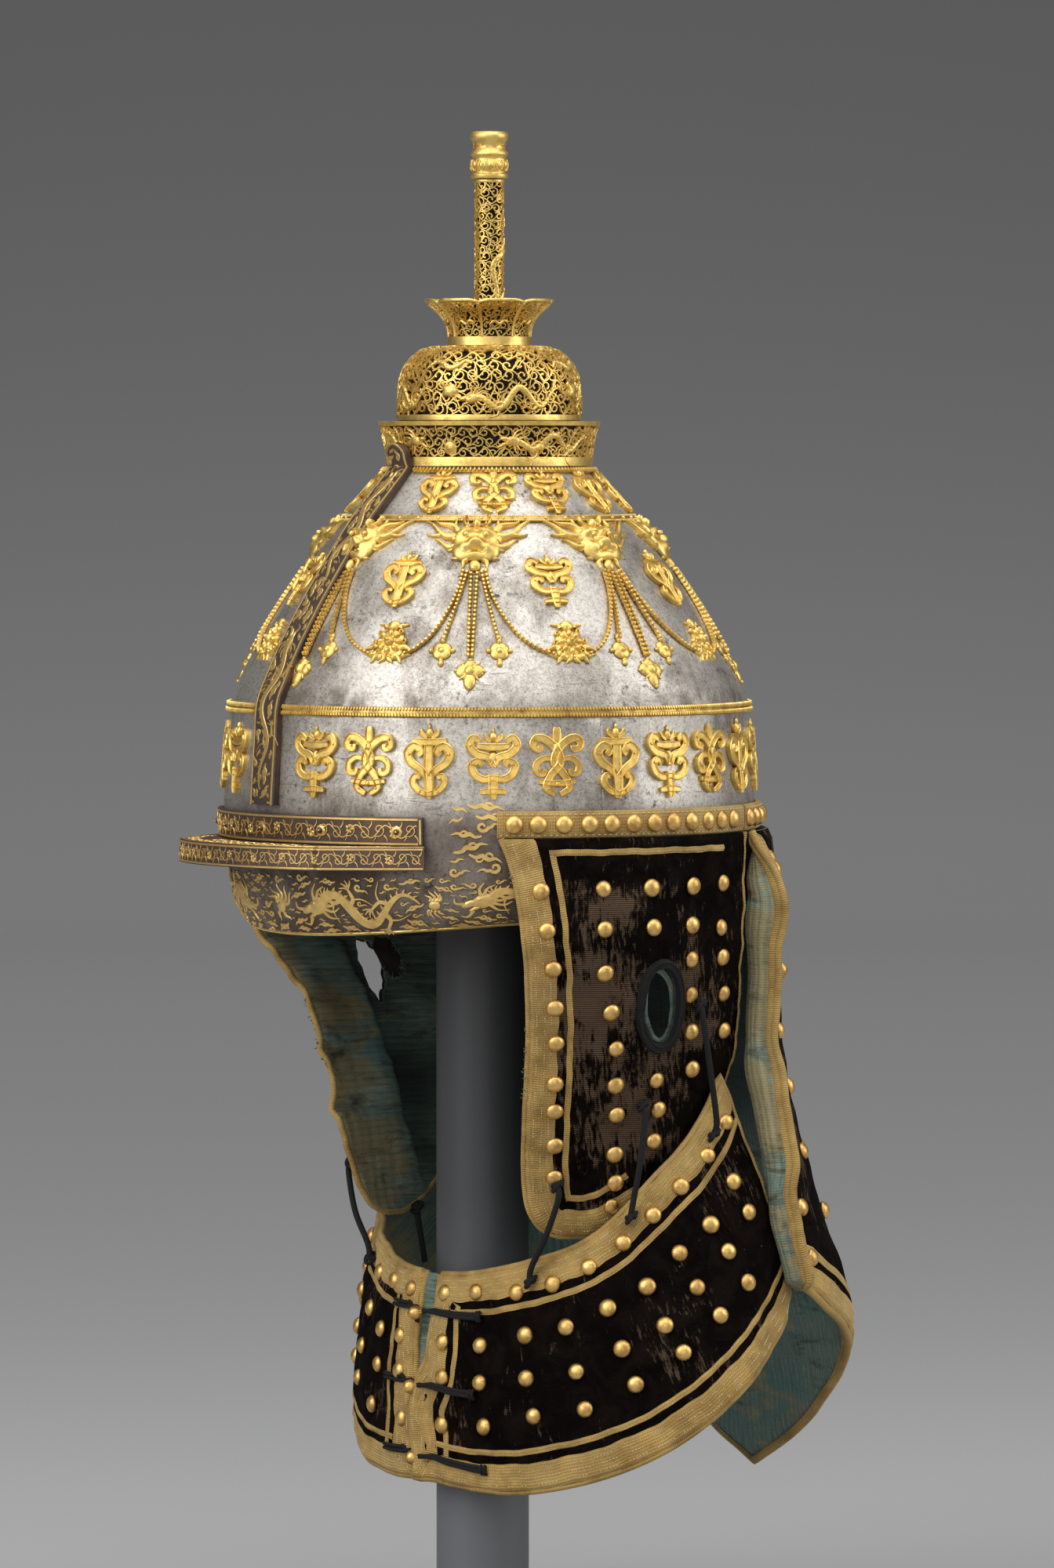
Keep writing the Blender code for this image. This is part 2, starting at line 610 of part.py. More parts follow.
def collar_point(side, around, down):
    """Outer face of a collar half: around from the closure to the rear, down from top to hem."""
    front = COLLAR_FRONT_ANGLES[0] if side > 0 else -COLLAR_FRONT_ANGLES[1]
    top_angle, top_height, hem_angle, hem_height = (
        between(COLLAR_ROWS_ROUND, around, column) for column in (1, 2, 3, 4))
    top_turn = math.radians(front * (1.0 - around) + top_angle)
    hem_turn = math.radians(front * (1.0 - around) + hem_angle)
    top = Vector((COLLAR_TOP_REACH[0] * math.sin(top_turn),
                  COLLAR_CENTRE - COLLAR_TOP_REACH[1] * math.cos(top_turn), top_height))
    hem = Vector((COLLAR_HEM_REACH[0] * math.sin(hem_turn),
                  COLLAR_HEM_CENTRE - COLLAR_HEM_REACH[1] * math.cos(hem_turn), hem_height))
    place = top.lerp(hem, down)
    middle_turn = 0.5 * (top_turn + hem_turn)
    swell = COLLAR_SWELL * math.sin(math.pi * down)
    place += Vector((swell * math.sin(middle_turn), -swell * math.cos(middle_turn), 0.0))
    return Vector((side * place.x, place.y, place.z)) * MM + Vector((0.0, 0.0, RIM_HEIGHT))


def collar_out(side, around, down):
    """Outward direction of a collar half's face."""
    step = 0.01
    here = collar_point(side, around, down)
    along = collar_point(side, around + step, down) - here
    below = collar_point(side, around, down + step) - here
    return side * below.cross(along).normalized()


def collar_half(name, side):
    half = panel(name, lambda u, v: collar_point(side, u, v), COLLAR_COLUMNS, COLLAR_LEVELS,
                 COLLAR_THICKNESS, "velvet")
    if side < 0:
        flipped(half)


def on_collar(side, around, down, lift):
    return collar_point(side, around, down) + lift * collar_out(side, around, down)


def closures():
    """Ball buttons on the right half's edge, each in the loop of a flat cord across the closure."""
    reach = 0.5 * LOOP_DIAMETER + 3.0 * GAP
    over_edge = reach + 0.6 * MM
    clear = BUTTON_RADIUS + 0.5 * LOOP_DIAMETER + 2.0 * GAP
    for name, down in CLOSURES:
        button = on_collar(-1, BUTTON_AROUND, down, BUTTON_RADIUS + GAP)
        ball("collar_button_" + name, button, BUTTON_RADIUS, "gilt")
        route = [
            on_collar(1, LOOP_REACH, down - LOOP_SPREAD[0], reach),
            on_collar(1, BUTTON_AROUND, down - 0.5 * BUTTON_AROUND, over_edge),
            button + Vector((0.2 * clear, -1.2 * MM, clear)),
            button + Vector((-clear, -0.4 * MM, 0.0)),
            button + Vector((0.2 * clear, -1.2 * MM, -clear)),
            on_collar(1, BUTTON_AROUND, down + 0.5 * BUTTON_AROUND, over_edge),
            on_collar(1, LOOP_REACH, down + LOOP_SPREAD[1], reach),
        ]
        cord("button_loop_" + name, smooth_route(route, 2.3 * LOOP_DIAMETER), LOOP_DIAMETER)


def tie_cords(side_name, side):
    """Cords that hang from a flap and are tied to the collar, slack, clear of both."""
    lift = 0.5 * TIE_DIAMETER + 2.0 * GAP
    out = side * 1.6 * MM
    for name, (angle, height), (around, down) in TIES:
        start = flap_point(side, angle, height) + Vector((side * (lift + GAP), 0.0, 0.0))
        end = on_collar(side, around, down, lift + 0.6 * MM)
        first = start + Vector((out, 0.0, -5.0 * MM))
        middle = start.lerp(end, 0.5) + Vector((side * 3.0 * MM, -0.6 * MM, -1.0 * MM))
        last = end + Vector((out, 0.0, 6.0 * MM))
        route = smooth_route([start, first, middle, last, end], CORD_SPACING * TIE_DIAMETER)
        cord("tie_%s_%s" % (side_name, name), route, TIE_DIAMETER)


# ---- stand ---------------------------------------------------------------------------------

def stand():
    height = RIM_HEIGHT + POST_TOP * MM - BASE_THICKNESS - GAP
    bpy.ops.mesh.primitive_cylinder_add(vertices=32, radius=POST_RADIUS, depth=height,
                                        location=(0.0, 0.0, BASE_THICKNESS + GAP + 0.5 * height))
    post = put(bpy.context.object, PARTS, "stand_paint")
    post.name = "stand_post"
    bpy.ops.mesh.primitive_cylinder_add(vertices=40, radius=BASE_RADIUS, depth=BASE_THICKNESS,
                                        location=(0.0, 0.0, 0.5 * BASE_THICKNESS))
    base = put(bpy.context.object, PARTS, "stand_paint")
    base.name = "stand_base"
    edge = base.modifiers.new("soft_edge", "BEVEL")
    edge.width = BASE_BEVEL
    edge.segments = 2
    edge.limit_method = "ANGLE"


clear_scene()
PARTS = collection("ceremonial_helmet")
CUTTERS = collection("cutters")
MATERIALS = {name: make_material(name, *look) for name, look in COLOURS.items()}

bowl_half("bowl_left", 1)
bowl_half("bowl_right", -1)
comb("front_comb", 0.0)
comb("rear_comb", 180.0)
mouldings()
brow_plate()
peak_shelf()
masks_and_medallions()
finial()
for side_name, side, angles in (("left", 1, BAND_SIDE_ANGLES),
                                ("right", -1, tuple(360 - a for a in reversed(BAND_SIDE_ANGLES)))):
    strip("ear_band_" + side_name, angles, BAND_BOTTOM, BAND_HEIGHT, BAND_THICKNESS, "ribbon")
    ear_flap("ear_flap_" + side_name, side)
    ear_hole_cord("ear_hole_cord_" + side_name, side)
    collar_half("collar_" + side_name, side)
    tie_cords(side_name, side)
strip("nape_band", BAND_NAPE_ANGLES, BAND_BOTTOM, BAND_HEIGHT, BAND_THICKNESS, "ribbon")
nape_guard()
closures()
stand()
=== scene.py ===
import math
import random

import bmesh
import bpy
import numpy as np
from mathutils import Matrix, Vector


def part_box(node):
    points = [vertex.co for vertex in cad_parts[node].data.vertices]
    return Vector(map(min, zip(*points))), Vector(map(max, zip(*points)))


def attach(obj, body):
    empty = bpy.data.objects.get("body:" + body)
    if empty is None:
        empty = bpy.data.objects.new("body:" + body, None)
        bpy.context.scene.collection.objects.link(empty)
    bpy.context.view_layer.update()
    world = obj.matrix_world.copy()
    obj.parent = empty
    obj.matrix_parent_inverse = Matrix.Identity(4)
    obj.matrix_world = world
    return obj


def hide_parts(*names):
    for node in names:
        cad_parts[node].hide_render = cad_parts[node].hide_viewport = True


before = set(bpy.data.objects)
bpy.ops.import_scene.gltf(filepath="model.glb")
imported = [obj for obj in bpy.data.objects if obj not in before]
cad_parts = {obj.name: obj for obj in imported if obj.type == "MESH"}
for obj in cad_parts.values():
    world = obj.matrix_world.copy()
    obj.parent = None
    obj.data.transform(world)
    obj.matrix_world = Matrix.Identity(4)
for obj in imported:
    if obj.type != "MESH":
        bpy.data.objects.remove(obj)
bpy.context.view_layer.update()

# Ceremonial helmet on a post stand. Metres, +Z up, brow to -Y, the wearer's left to +X.
# Tables of sizes are in millimetres and degrees, with heights measured from the bowl's rim
# and angles from the brow (0) over the wearer's left ear (90) to the nape (180).
# Colours are linear. Noises are scaled in cells per metre, or per millimetre where they follow the cloth.

mm = 0.001
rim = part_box("bowl_left")[0].z
scene = bpy.context.scene
sideNames = {1: "left", -1: "right"}      # by the sign of x


# camera, light and stage

view = {
    "azimuth": 55.4,          # of the camera, round from the brow
    "distance": 3.53,         # from the helmet's axis
    "height": 0.1927,         # above the rim
    "lens": 195.7,
    "aimAcross": 0.0156,      # the aim, to the right of the axis
    "aimDrop": 0.1332,        # and below the camera
}

studio = {
    "world": (0.20, 0.20, 0.205),
    "worldStrength": 0.80,
    "backdrop": 8.2,          # metres behind the object
    "bend": 3.0,              # radius of the curve up into it
    "front": 6.0,             # metres of floor before the object
    "halfWidth": 9.0,
    "tall": 6.0,
    "paper": 0.38,            # tone under the object, then the painted light added and the painted shade taken away over two reaches
    "rise": (0.53, 1.0, 5.4),
    "fall": (0.50, 5.4, 7.9),
    "aimAt": 0.1,             # height above the rim that the lamps look at
    "lamps": [                # name, angle from the camera's right, height, distance, width, length, watts
        ("keyLeft", -50, 1.00, 2.2, 1.7, 2.0, 38),
        ("fillRight", 80, 0.90, 2.3, 1.5, 2.0, 27),
        ("front", 6, 0.75, 3.9, 2.6, 1.5, 20),
        ("top", 4, 1.9, 0.45, 2.4, 2.8, 46),
    ],
}


def viewAxes():
    turn = math.radians(view["azimuth"])
    back = Vector((math.sin(turn), -math.cos(turn), 0.0))
    right = Vector((math.cos(turn), math.sin(turn), 0.0))
    return back, right


def addCamera():
    back, right = viewAxes()
    data = bpy.data.cameras.new("camera")
    data.lens = view["lens"]
    data.sensor_width = 36.0
    data.clip_start, data.clip_end = 0.1, 50.0
    camera = bpy.data.objects.new("camera", data)
    scene.collection.objects.link(camera)
    camera.location = back * view["distance"] + Vector((0.0, 0.0, rim + view["height"]))
    aim = right * view["aimAcross"] + Vector((0.0, 0.0, rim + view["height"] - view["aimDrop"]))
    camera.rotation_euler = (aim - camera.location).to_track_quat("-Z", "Y").to_euler()
    scene.camera = camera


def addLamps():
    back, right = viewAxes()
    for name, angle, height, distance, width, length, watts in studio["lamps"]:
        data = bpy.data.lights.new(name, "AREA")
        data.shape = "RECTANGLE"
        data.size, data.size_y = width, length
        data.energy = watts
        lamp = bpy.data.objects.new(name, data)
        scene.collection.objects.link(lamp)
        turn = math.radians(angle)
        level = rim + studio["aimAt"]
        lamp.location = (back * math.cos(turn) + right * math.sin(turn)) * distance
        lamp.location.z = level + height
        lamp.rotation_euler = (Vector((0, 0, level)) - lamp.location).to_track_quat("-Z", "Y").to_euler()
    world = bpy.data.worlds.new("studio")
    world.use_nodes = True
    surround = world.node_tree.nodes["Background"]
    surround.inputs["Color"].default_value = (*studio["world"], 1.0)
    surround.inputs["Strength"].default_value = studio["worldStrength"]
    scene.world = world
    scene.view_settings.view_transform = "Standard"


def addStage():
    # floor that curves up into a far backdrop, square to the camera
    back, right = viewAxes()
    reach, bend, wide, steps = studio["backdrop"], studio["bend"], studio["halfWidth"], 12
    rows = [(studio["front"], 0.0), (-reach + bend, 0.0)]
    for step in range(1, steps + 1):
        turn = 0.5 * math.pi * step / steps
        rows.append((-reach + bend - bend * math.sin(turn), bend - bend * math.cos(turn)))
    rows.append((-reach, studio["tall"]))
    bm = bmesh.new()
    lines = []
    for along, height in rows:
        lines.append([bm.verts.new(back * along + right * side * wide + Vector((0, 0, height)))
                      for side in (-1, 1)])
    for near, far in zip(lines, lines[1:]):
        bm.faces.new((near[0], near[1], far[1], far[0]))
    bmesh.ops.recalc_face_normals(bm, faces=bm.faces)
    mesh = bpy.data.meshes.new("stage")
    bm.to_mesh(mesh)
    bm.free()
    mesh.shade_smooth()
    stage = bpy.data.objects.new("stage", mesh)
    scene.collection.objects.link(stage)
    stage.data.materials.append(finishes["stage"])


# shader tools

class Wave:
    # a socket of a shader tree, on which plain arithmetic adds Math nodes
    def __init__(self, finish, socket):
        self.finish, self.socket = finish, socket

    def sum(self, operation, first, second=None):
        node = self.finish.node("ShaderNodeMath", {"operation": operation}, {0: first, 1: second})
        return Wave(self.finish, node.outputs[0])

    def __add__(self, other): return self.sum("ADD", self, other)
    def __radd__(self, other): return self.sum("ADD", other, self)
    def __sub__(self, other): return self.sum("SUBTRACT", self, other)
    def __rsub__(self, other): return self.sum("SUBTRACT", other, self)
    def __mul__(self, other): return self.sum("MULTIPLY", self, other)
    def __rmul__(self, other): return self.sum("MULTIPLY", other, self)
    def __pow__(self, other): return self.sum("POWER", self, other)
    def sine(self): return self.sum("SINE", self)
    def size(self): return self.sum("ABSOLUTE", self)
    def smaller(self, other): return self.sum("MINIMUM", self, other)

    def between(self, low, high):
        # 0 below low, 1 above high, smooth in between; high may be the lower one
        node = self.finish.node("ShaderNodeMapRange", {"interpolation_type": "SMOOTHSTEP"},
                                {"Value": self, "From Min": min(low, high), "From Max": max(low, high),
                                 "To Min": float(low > high), "To Max": float(low <= high)})
        return Wave(self.finish, node.outputs[0])


class Finish:
    # a material built from nodes around one Principled shader
    def __init__(self, name, fixed):
        self.material = bpy.data.materials.new(name)
        self.material.use_nodes = True
        self.tree = self.material.node_tree
        self.shader = self.tree.nodes["Principled BSDF"]
        for socket, value in fixed.items():
            self.shader.inputs[socket].default_value = value
        self.place = Wave(self, self.node("ShaderNodeTexCoord").outputs["Object"])

    def node(self, kind, settings=None, sockets=None):
        node = self.tree.nodes.new(kind)
        for name, value in (settings or {}).items():
            setattr(node, name, value)
        for name, value in (sockets or {}).items():
            if value is None:
                continue
            if isinstance(value, Wave):
                self.tree.links.new(value.socket, node.inputs[name])
            else:
                node.inputs[name].default_value = value
        return node

    def attribute(self, name, output="Vector"):
        return Wave(self, self.node("ShaderNodeAttribute", {"attribute_name": name}).outputs[output])

    def stretched(self, scale, place=None):
        node = self.node("ShaderNodeMapping", None, {"Vector": place or self.place, "Scale": scale})
        return Wave(self, node.outputs[0])

    def noise(self, scale, detail=3.0, rough=0.55, place=None, distortion=0.0):
        node = self.node("ShaderNodeTexNoise", None,
                         {"Vector": place or self.place, "Scale": scale, "Detail": detail,
                          "Roughness": rough, "Distortion": distortion})
        return Wave(self, node.outputs["Fac"])

    def split(self, place):
        node = self.node("ShaderNodeSeparateXYZ", None, {0: place})
        return [Wave(self, output) for output in node.outputs]

    def mix(self, share, first, second):
        colours = [(*c, 1.0) if isinstance(c, tuple) else c for c in (first, second)]
        node = self.node("ShaderNodeMix", {"data_type": "RGBA"}, {0: share, 6: colours[0], 7: colours[1]})
        return Wave(self, node.outputs[2])

    def drive(self, socket, value):
        self.tree.links.new(value.socket, self.shader.inputs[socket])

    def bump(self, height, depth, strength=1.0):
        # depth in millimetres
        node = self.node("ShaderNodeBump", None, {"Height": height, "Distance": depth * mm,
                                                  "Strength": strength})
        self.tree.links.new(node.outputs[0], self.shader.inputs["Normal"])


# finishes, one for each look

finishes = {}


def steelFinish():
    # worn satin plate: cloudy grey patina, brown freckles and fine scratches, browner round the brow
    f = Finish("wornSteel", {"Metallic": 1.0, "Specular IOR Level": 0.5})
    cloud = f.noise(34.0, 6.0, 0.64)
    bloom = f.noise(12.0, 4.0, 0.6, distortion=0.6)
    grain = f.noise(640.0, 4.0, 0.75)
    freckle = f.noise(300.0, 5.0, 0.75).between(0.565, 0.66) * f.noise(26.0, 4.0, 0.6).between(0.42, 0.62)
    pits = f.noise(130.0, 5.0, 0.75).between(0.62, 0.72) * bloom.between(0.44, 0.60)
    scratches = f.noise(55.0, 3.0, 0.6, f.stretched((1.0, 1.0, 8.0)), 0.5).between(0.63, 0.70)
    level = f.split(f.place)[2]
    foot = level.between(rim + 60 * mm, rim + 44 * mm)
    edges = ((level - (rim + 96 * mm)).size().between(7 * mm, 1 * mm)
             + (level - (rim + 170 * mm)).size().between(6 * mm, 1 * mm)) * bloom.between(0.35, 0.6)
    streaks = f.noise(20.0, 5.0, 0.68, f.stretched((2.2, 2.2, 0.55)), 0.8)
    age = (cloud.between(0.44, 0.66) * 0.55 + bloom.between(0.50, 0.68) * 0.34
           + streaks.between(0.50, 0.66) * 0.40 + edges * 0.35).smaller(1.0)
    colour = f.mix(age, (0.690, 0.650, 0.585), (0.250, 0.212, 0.175))
    colour = f.mix(grain.between(0.42, 0.70) * 0.48, colour, (0.120, 0.100, 0.084))
    speckle = f.noise(1500.0, 2.0, 0.6).between(0.52, 0.70) * (0.35 + cloud.between(0.4, 0.65) * 0.4)
    colour = f.mix(speckle, colour, (0.090, 0.074, 0.062))
    colour = f.mix(foot * (0.70 + 0.25 * cloud.between(0.35, 0.6)), colour, (0.115, 0.080, 0.058))
    colour = f.mix(freckle * 0.8, colour, (0.050, 0.034, 0.025))
    colour = f.mix(pits * 0.8, colour, (0.035, 0.024, 0.019))
    colour = f.mix(scratches * 0.4, colour, (0.10, 0.085, 0.075))
    f.drive("Base Color", colour)
    rough = 0.44 + age * 0.10 + grain * 0.08 + freckle * 0.15 + pits * 0.2 + foot * 0.08
    f.drive("Roughness", rough.smaller(0.8))
    f.bump(cloud * 0.2 + grain * 0.5 + freckle * -0.3 + pits * -1.0 + scratches * -0.5, 0.22, 0.55)
    return f.material


def giltFinish(name="fireGilt", bright=(0.93, 0.668, 0.205), worn=(0.46, 0.292, 0.080), rubbed=0.62):
    # fire gilding, warm and slightly uneven, darkened low in the relief as dirt and painted shade
    f = Finish(name, {"Metallic": 1.0})
    mottle = f.noise(230.0, 4.0, 0.6)
    grime = f.noise(620.0, 3.0, 0.7).between(0.50, 0.74)
    rub = f.noise(60.0, 4.0, 0.6).between(0.45, 0.7)
    colour = f.mix(mottle.between(0.35, 0.75) * rubbed + grime * 0.25 + rub * 0.15, bright, worn)
    # dirt and painted shade: the lower a point lies in the relief, the darker brown it is painted
    depth = f.attribute("depth", "Fac")
    colour = f.mix(depth.between(0.45, 1.0) * 0.9, colour, (0.105, 0.050, 0.014))
    f.drive("Base Color", colour)
    f.drive("Roughness", 0.34 + mottle * 0.16 + grime * 0.12 + rub * 0.06)
    f.bump(mottle + grime * 0.4, 0.12, 0.55)
    return f.material


def ironFinish():
    # russet-black iron ground that the gold is beaten into
    f = Finish("russetIron", {"Metallic": 0.85})
    grain = f.noise(520.0, 4.0, 0.7)
    rust = f.noise(70.0, 5.0, 0.65)
    colour = f.mix(rust.between(0.35, 0.7), (0.105, 0.082, 0.072), (0.17, 0.105, 0.07))
    colour = f.mix(grain.between(0.5, 0.8) * 0.5, colour, (0.05, 0.037, 0.032))
    f.drive("Base Color", colour)
    f.drive("Roughness", 0.40 + grain * 0.25)
    f.bump(grain, 0.12, 0.6)
    return f.material


def velvetFinish():
    # near-black cut pile, rubbed through to a ribbed brown weave where it wears
    f = Finish("wornVelvet", {"Metallic": 0.0, "Specular IOR Level": 0.03})
    cloth = f.attribute("cloth")
    across, along, wear = f.split(cloth)
    pile = f.noise(1100.0, 3.0, 0.7)
    crush = f.noise(85.0, 4.0, 0.6, distortion=0.8)
    tear = f.noise(110.0, 5.0, 0.72)
    patch = f.noise(38.0, 3.0, 0.6, distortion=0.5)
    ribs = (along * 7.4 + tear * 1.5).sine() * 0.6 + (across * 9.0 + tear * 2.0).sine() * 0.25
    streak = f.noise(1.0, 4.0, 0.62, f.stretched((0.62, 0.13, 1.0), cloth), 0.4)
    bare = (wear * 1.15 + (streak - 0.5) * 1.3 + (tear - 0.5) * 0.9 + (patch - 0.5) * 1.1).between(0.22, 0.48)
    dark = f.mix(crush.between(0.38, 0.72), (0.0022, 0.0013, 0.0010), (0.0075, 0.0046, 0.0032))
    thread = f.mix(ribs.between(-0.6, 0.7), (0.044, 0.028, 0.017), (0.142, 0.093, 0.060))
    colour = f.mix(bare * 0.92, dark, thread)
    fleck = f.noise(330.0, 3.0, 0.75).between(0.70, 0.76) * f.noise(30.0, 3.0, 0.6).between(0.50, 0.64)
    colour = f.mix(fleck * 0.8, colour, (0.26, 0.26, 0.22))
    f.drive("Base Color", colour)
    f.drive("Roughness", 0.62 + pile * 0.2 + bare * 0.15)
    f.bump(pile * (1.2 - bare) + crush * 1.8 + ribs * bare * 0.30 + patch * 2.0, 0.50, 0.85)
    return f.material


def ribbonFinish():
    # golden tan silk ribbon, ribbed across, soiled and faded
    f = Finish("tanRibbon", {"Metallic": 0.0, "Sheen Weight": 0.06, "Sheen Roughness": 0.5,
                             "Specular IOR Level": 0.22})
    across, along = f.split(f.attribute("cloth"))[:2]
    rib = (along * 7.0).sine()
    cross = (across * 5.0).sine()
    soil = f.noise(60.0, 5.0, 0.68)
    fade = f.noise(24.0, 3.0, 0.6)
    fleck = f.noise(480.0, 3.0, 0.7)
    colour = f.mix(soil.between(0.34, 0.70), (0.520, 0.335, 0.102), (0.270, 0.160, 0.044))
    colour = f.mix(fade.between(0.45, 0.7) * 0.45, colour, (0.50, 0.355, 0.135))
    colour = f.mix(fleck.between(0.52, 0.75) * 0.35, colour, (0.56, 0.41, 0.165))
    colour = f.mix(rib.between(0.2, 1.0) * 0.22, colour, (0.12, 0.075, 0.024))
    f.drive("Base Color", colour)
    f.drive("Roughness", 0.68 + soil * 0.2)
    f.bump(rib * 0.6 + cross * 0.4 + fleck * 0.9 + soil * 2.6, 0.22, 0.8)
    return f.material


def liningFinish():
    # faded blue-green silk with long slubs, yellowed in patches and darkened by dirt; its third cloth value makes
    # it paler, as fading and in places painted light, and below zero darker, as painted shade
    f = Finish("silkLining", {"Metallic": 0.0, "Sheen Weight": 0.05, "Sheen Roughness": 0.4,
                              "Specular IOR Level": 0.25})
    cloth = f.attribute("cloth")
    across, along, wear = f.split(cloth)
    slub = f.noise(1.0, 4.0, 0.62, f.stretched((1.5, 0.06, 1.0), cloth))
    fine = f.noise(1.0, 2.0, 0.6, f.stretched((5.0, 0.20, 1.0), cloth))
    stain = f.noise(30.0, 5.0, 0.66, f.stretched((0.8, 0.8, 1.9)), 0.7)
    dirt = f.noise(46.0, 5.0, 0.68, f.stretched((0.7, 0.7, 2.1)), 0.5)
    weft = (along * 6.0).sine()
    flute = (across * 2.3 + slub * 4.0).sine()
    colour = f.mix(slub.between(0.30, 0.68), (0.068, 0.125, 0.112), (0.210, 0.275, 0.215))
    colour = f.mix(fine.between(0.45, 0.75) * 0.35, colour, (0.29, 0.36, 0.28))
    blue = f.noise(17.0, 3.0, 0.5).between(0.50, 0.66) * (1.0 - wear.between(0.2, 0.6))
    colour = f.mix(blue * 0.5, colour, (0.065, 0.190, 0.200))
    # paler with the third cloth value: fading, and on the ear flaps and nape guard partly painted light
    colour = f.mix(wear.between(0.08, 0.60) * (0.30 + slub * 0.60), colour, (0.35, 0.44, 0.35))
    # painted shade: darker where the third cloth value is below zero, inside the nape guard and over the ear
    # flaps' rear parts
    colour = f.mix((0.0 - wear).between(0.0, 0.5) * 0.85, colour, (0.020, 0.030, 0.027))
    colour = f.mix((stain * 1.3 + wear * 0.4).between(0.62, 0.90) * 0.75, colour, (0.360, 0.272, 0.115))
    colour = f.mix(flute.between(0.2, 1.0) * 0.22, colour, (0.030, 0.045, 0.040))
    colour = f.mix(dirt.between(0.50, 0.70) * 0.80, colour, (0.022, 0.026, 0.021))
    f.drive("Base Color", colour)
    f.drive("Roughness", 0.60 + stain * 0.2)
    f.bump(slub * 2.4 + weft * 0.15 - flute * 0.35 + fine * 0.8 + stain * 1.5 - dirt * 3.0, 0.40, 0.9)
    return f.material


def threadFinish(name, light, dark):
    f = Finish(name, {"Metallic": 0.0, "Specular IOR Level": 0.2})
    fuzz = f.noise(900.0, 3.0, 0.6)
    f.drive("Base Color", f.mix(fuzz, dark, light))
    f.drive("Roughness", 0.75 + fuzz * 0.2)
    f.bump(fuzz, 0.12, 0.7)
    return f.material


def paintFinish(name, colour, rough):
    f = Finish(name, {"Metallic": 0.0})
    peel = f.noise(300.0, 2.0, 0.5)
    shade = tuple(0.9 * c for c in colour)
    f.drive("Base Color", f.mix(f.noise(14.0, 3.0), colour, shade))
    f.drive("Roughness", rough + peel * 0.08)
    f.bump(peel, 0.05, 0.3)
    return f.material


def standFinish():
    # matt grey paint, darker higher up as painted shade where the post stands inside the helmet
    f = Finish("standPaint", {"Metallic": 0.0})
    level = f.split(f.place)[2]
    peel = f.noise(300.0, 2.0, 0.5)
    # painted shade: the post is painted pale up to 0.08 m and darker from there, darkest from 0.20 m up
    colour = f.mix(level.between(0.20, 0.08), (0.040, 0.041, 0.044), (0.150, 0.153, 0.163))
    f.drive("Base Color", f.mix(f.noise(14.0, 3.0) * 0.2, colour, (0.07, 0.07, 0.074)))
    f.drive("Roughness", 0.48 + peel * 0.08)
    f.bump(peel, 0.05, 0.3)
    return f.material


def stageFinish():
    # pale paper, with painted light and shade toned by distance: brighter further out, then darker up the
    # backdrop, as one soft fade
    f = Finish("stagePaper", {"Metallic": 0.0, "Roughness": 0.9, "Specular IOR Level": 0.1})
    across, along = f.split(f.place)[:2]
    away = (across * across + along * along) ** 0.5
    (brighter, *risen), (darker, *fallen) = studio["rise"], studio["fall"]
    tone = away.between(*risen) * brighter - away.between(*fallen) * darker + studio["paper"]
    f.drive("Base Color", f.mix(tone, (0.0, 0.0, 0.0), (1.0, 1.0, 1.0)))
    return f.material


def makeFinishes():
    finishes["stage"] = stageFinish()
    finishes["steel"] = steelFinish()
    finishes["gilt"] = giltFinish()
    finishes["inlay"] = giltFinish("goldInlay", (0.93, 0.655, 0.240), (0.52, 0.320, 0.105), 0.45)
    finishes["iron"] = ironFinish()
    finishes["string"] = giltFinish("stringGilt", (0.80, 0.52, 0.165), (0.36, 0.205, 0.065), 0.7)
    # darker gold for the strip under the twisted rope, painted shade in the gaps between its strands
    finishes["rope"] = giltFinish("ropeGilt", (0.64, 0.455, 0.145), (0.24, 0.150, 0.048), 0.8)
    # near-black liners inside the finial's openwork and the plume tube, painted shade for the hollows behind the
    # openwork; the same finish is the dark brown backing behind the torn lining
    finishes["shade"] = paintFinish("darkInside", (0.020, 0.013, 0.008), 0.9)
    finishes["stud"] = giltFinish("giltStud", (0.88, 0.580, 0.195), (0.38, 0.200, 0.062), 0.8)
    finishes["velvet"] = velvetFinish()
    finishes["ribbon"] = ribbonFinish()
    finishes["lining"] = liningFinish()
    finishes["cord"] = threadFinish("blackBraid", (0.020, 0.019, 0.019), (0.006, 0.006, 0.006))
    finishes["stitch"] = threadFinish("paleThread", (0.72, 0.64, 0.42), (0.50, 0.42, 0.24))
    finishes["stand"] = standFinish()
    print("finishes made")


# surfaces that the pieces follow

def through(rows, samples=8):
    # a smooth line through the rows, as many columns as they have
    rows = np.array(rows, float)
    ends = np.vstack([2 * rows[0] - rows[1], rows, 2 * rows[-1] - rows[-2]])
    share = np.linspace(0.0, 1.0, samples, endpoint=False)[:, None]
    parts = []
    for p0, p1, p2, p3 in zip(ends, ends[1:], ends[2:], ends[3:]):
        parts.append(0.5 * (2 * p1 + (p2 - p0) * share + (2 * p0 - 5 * p1 + 4 * p2 - p3) * share ** 2
                            + (3 * p1 - p0 - 3 * p2 + p3) * share ** 3))
    return np.vstack(parts + [rows[-1:]])


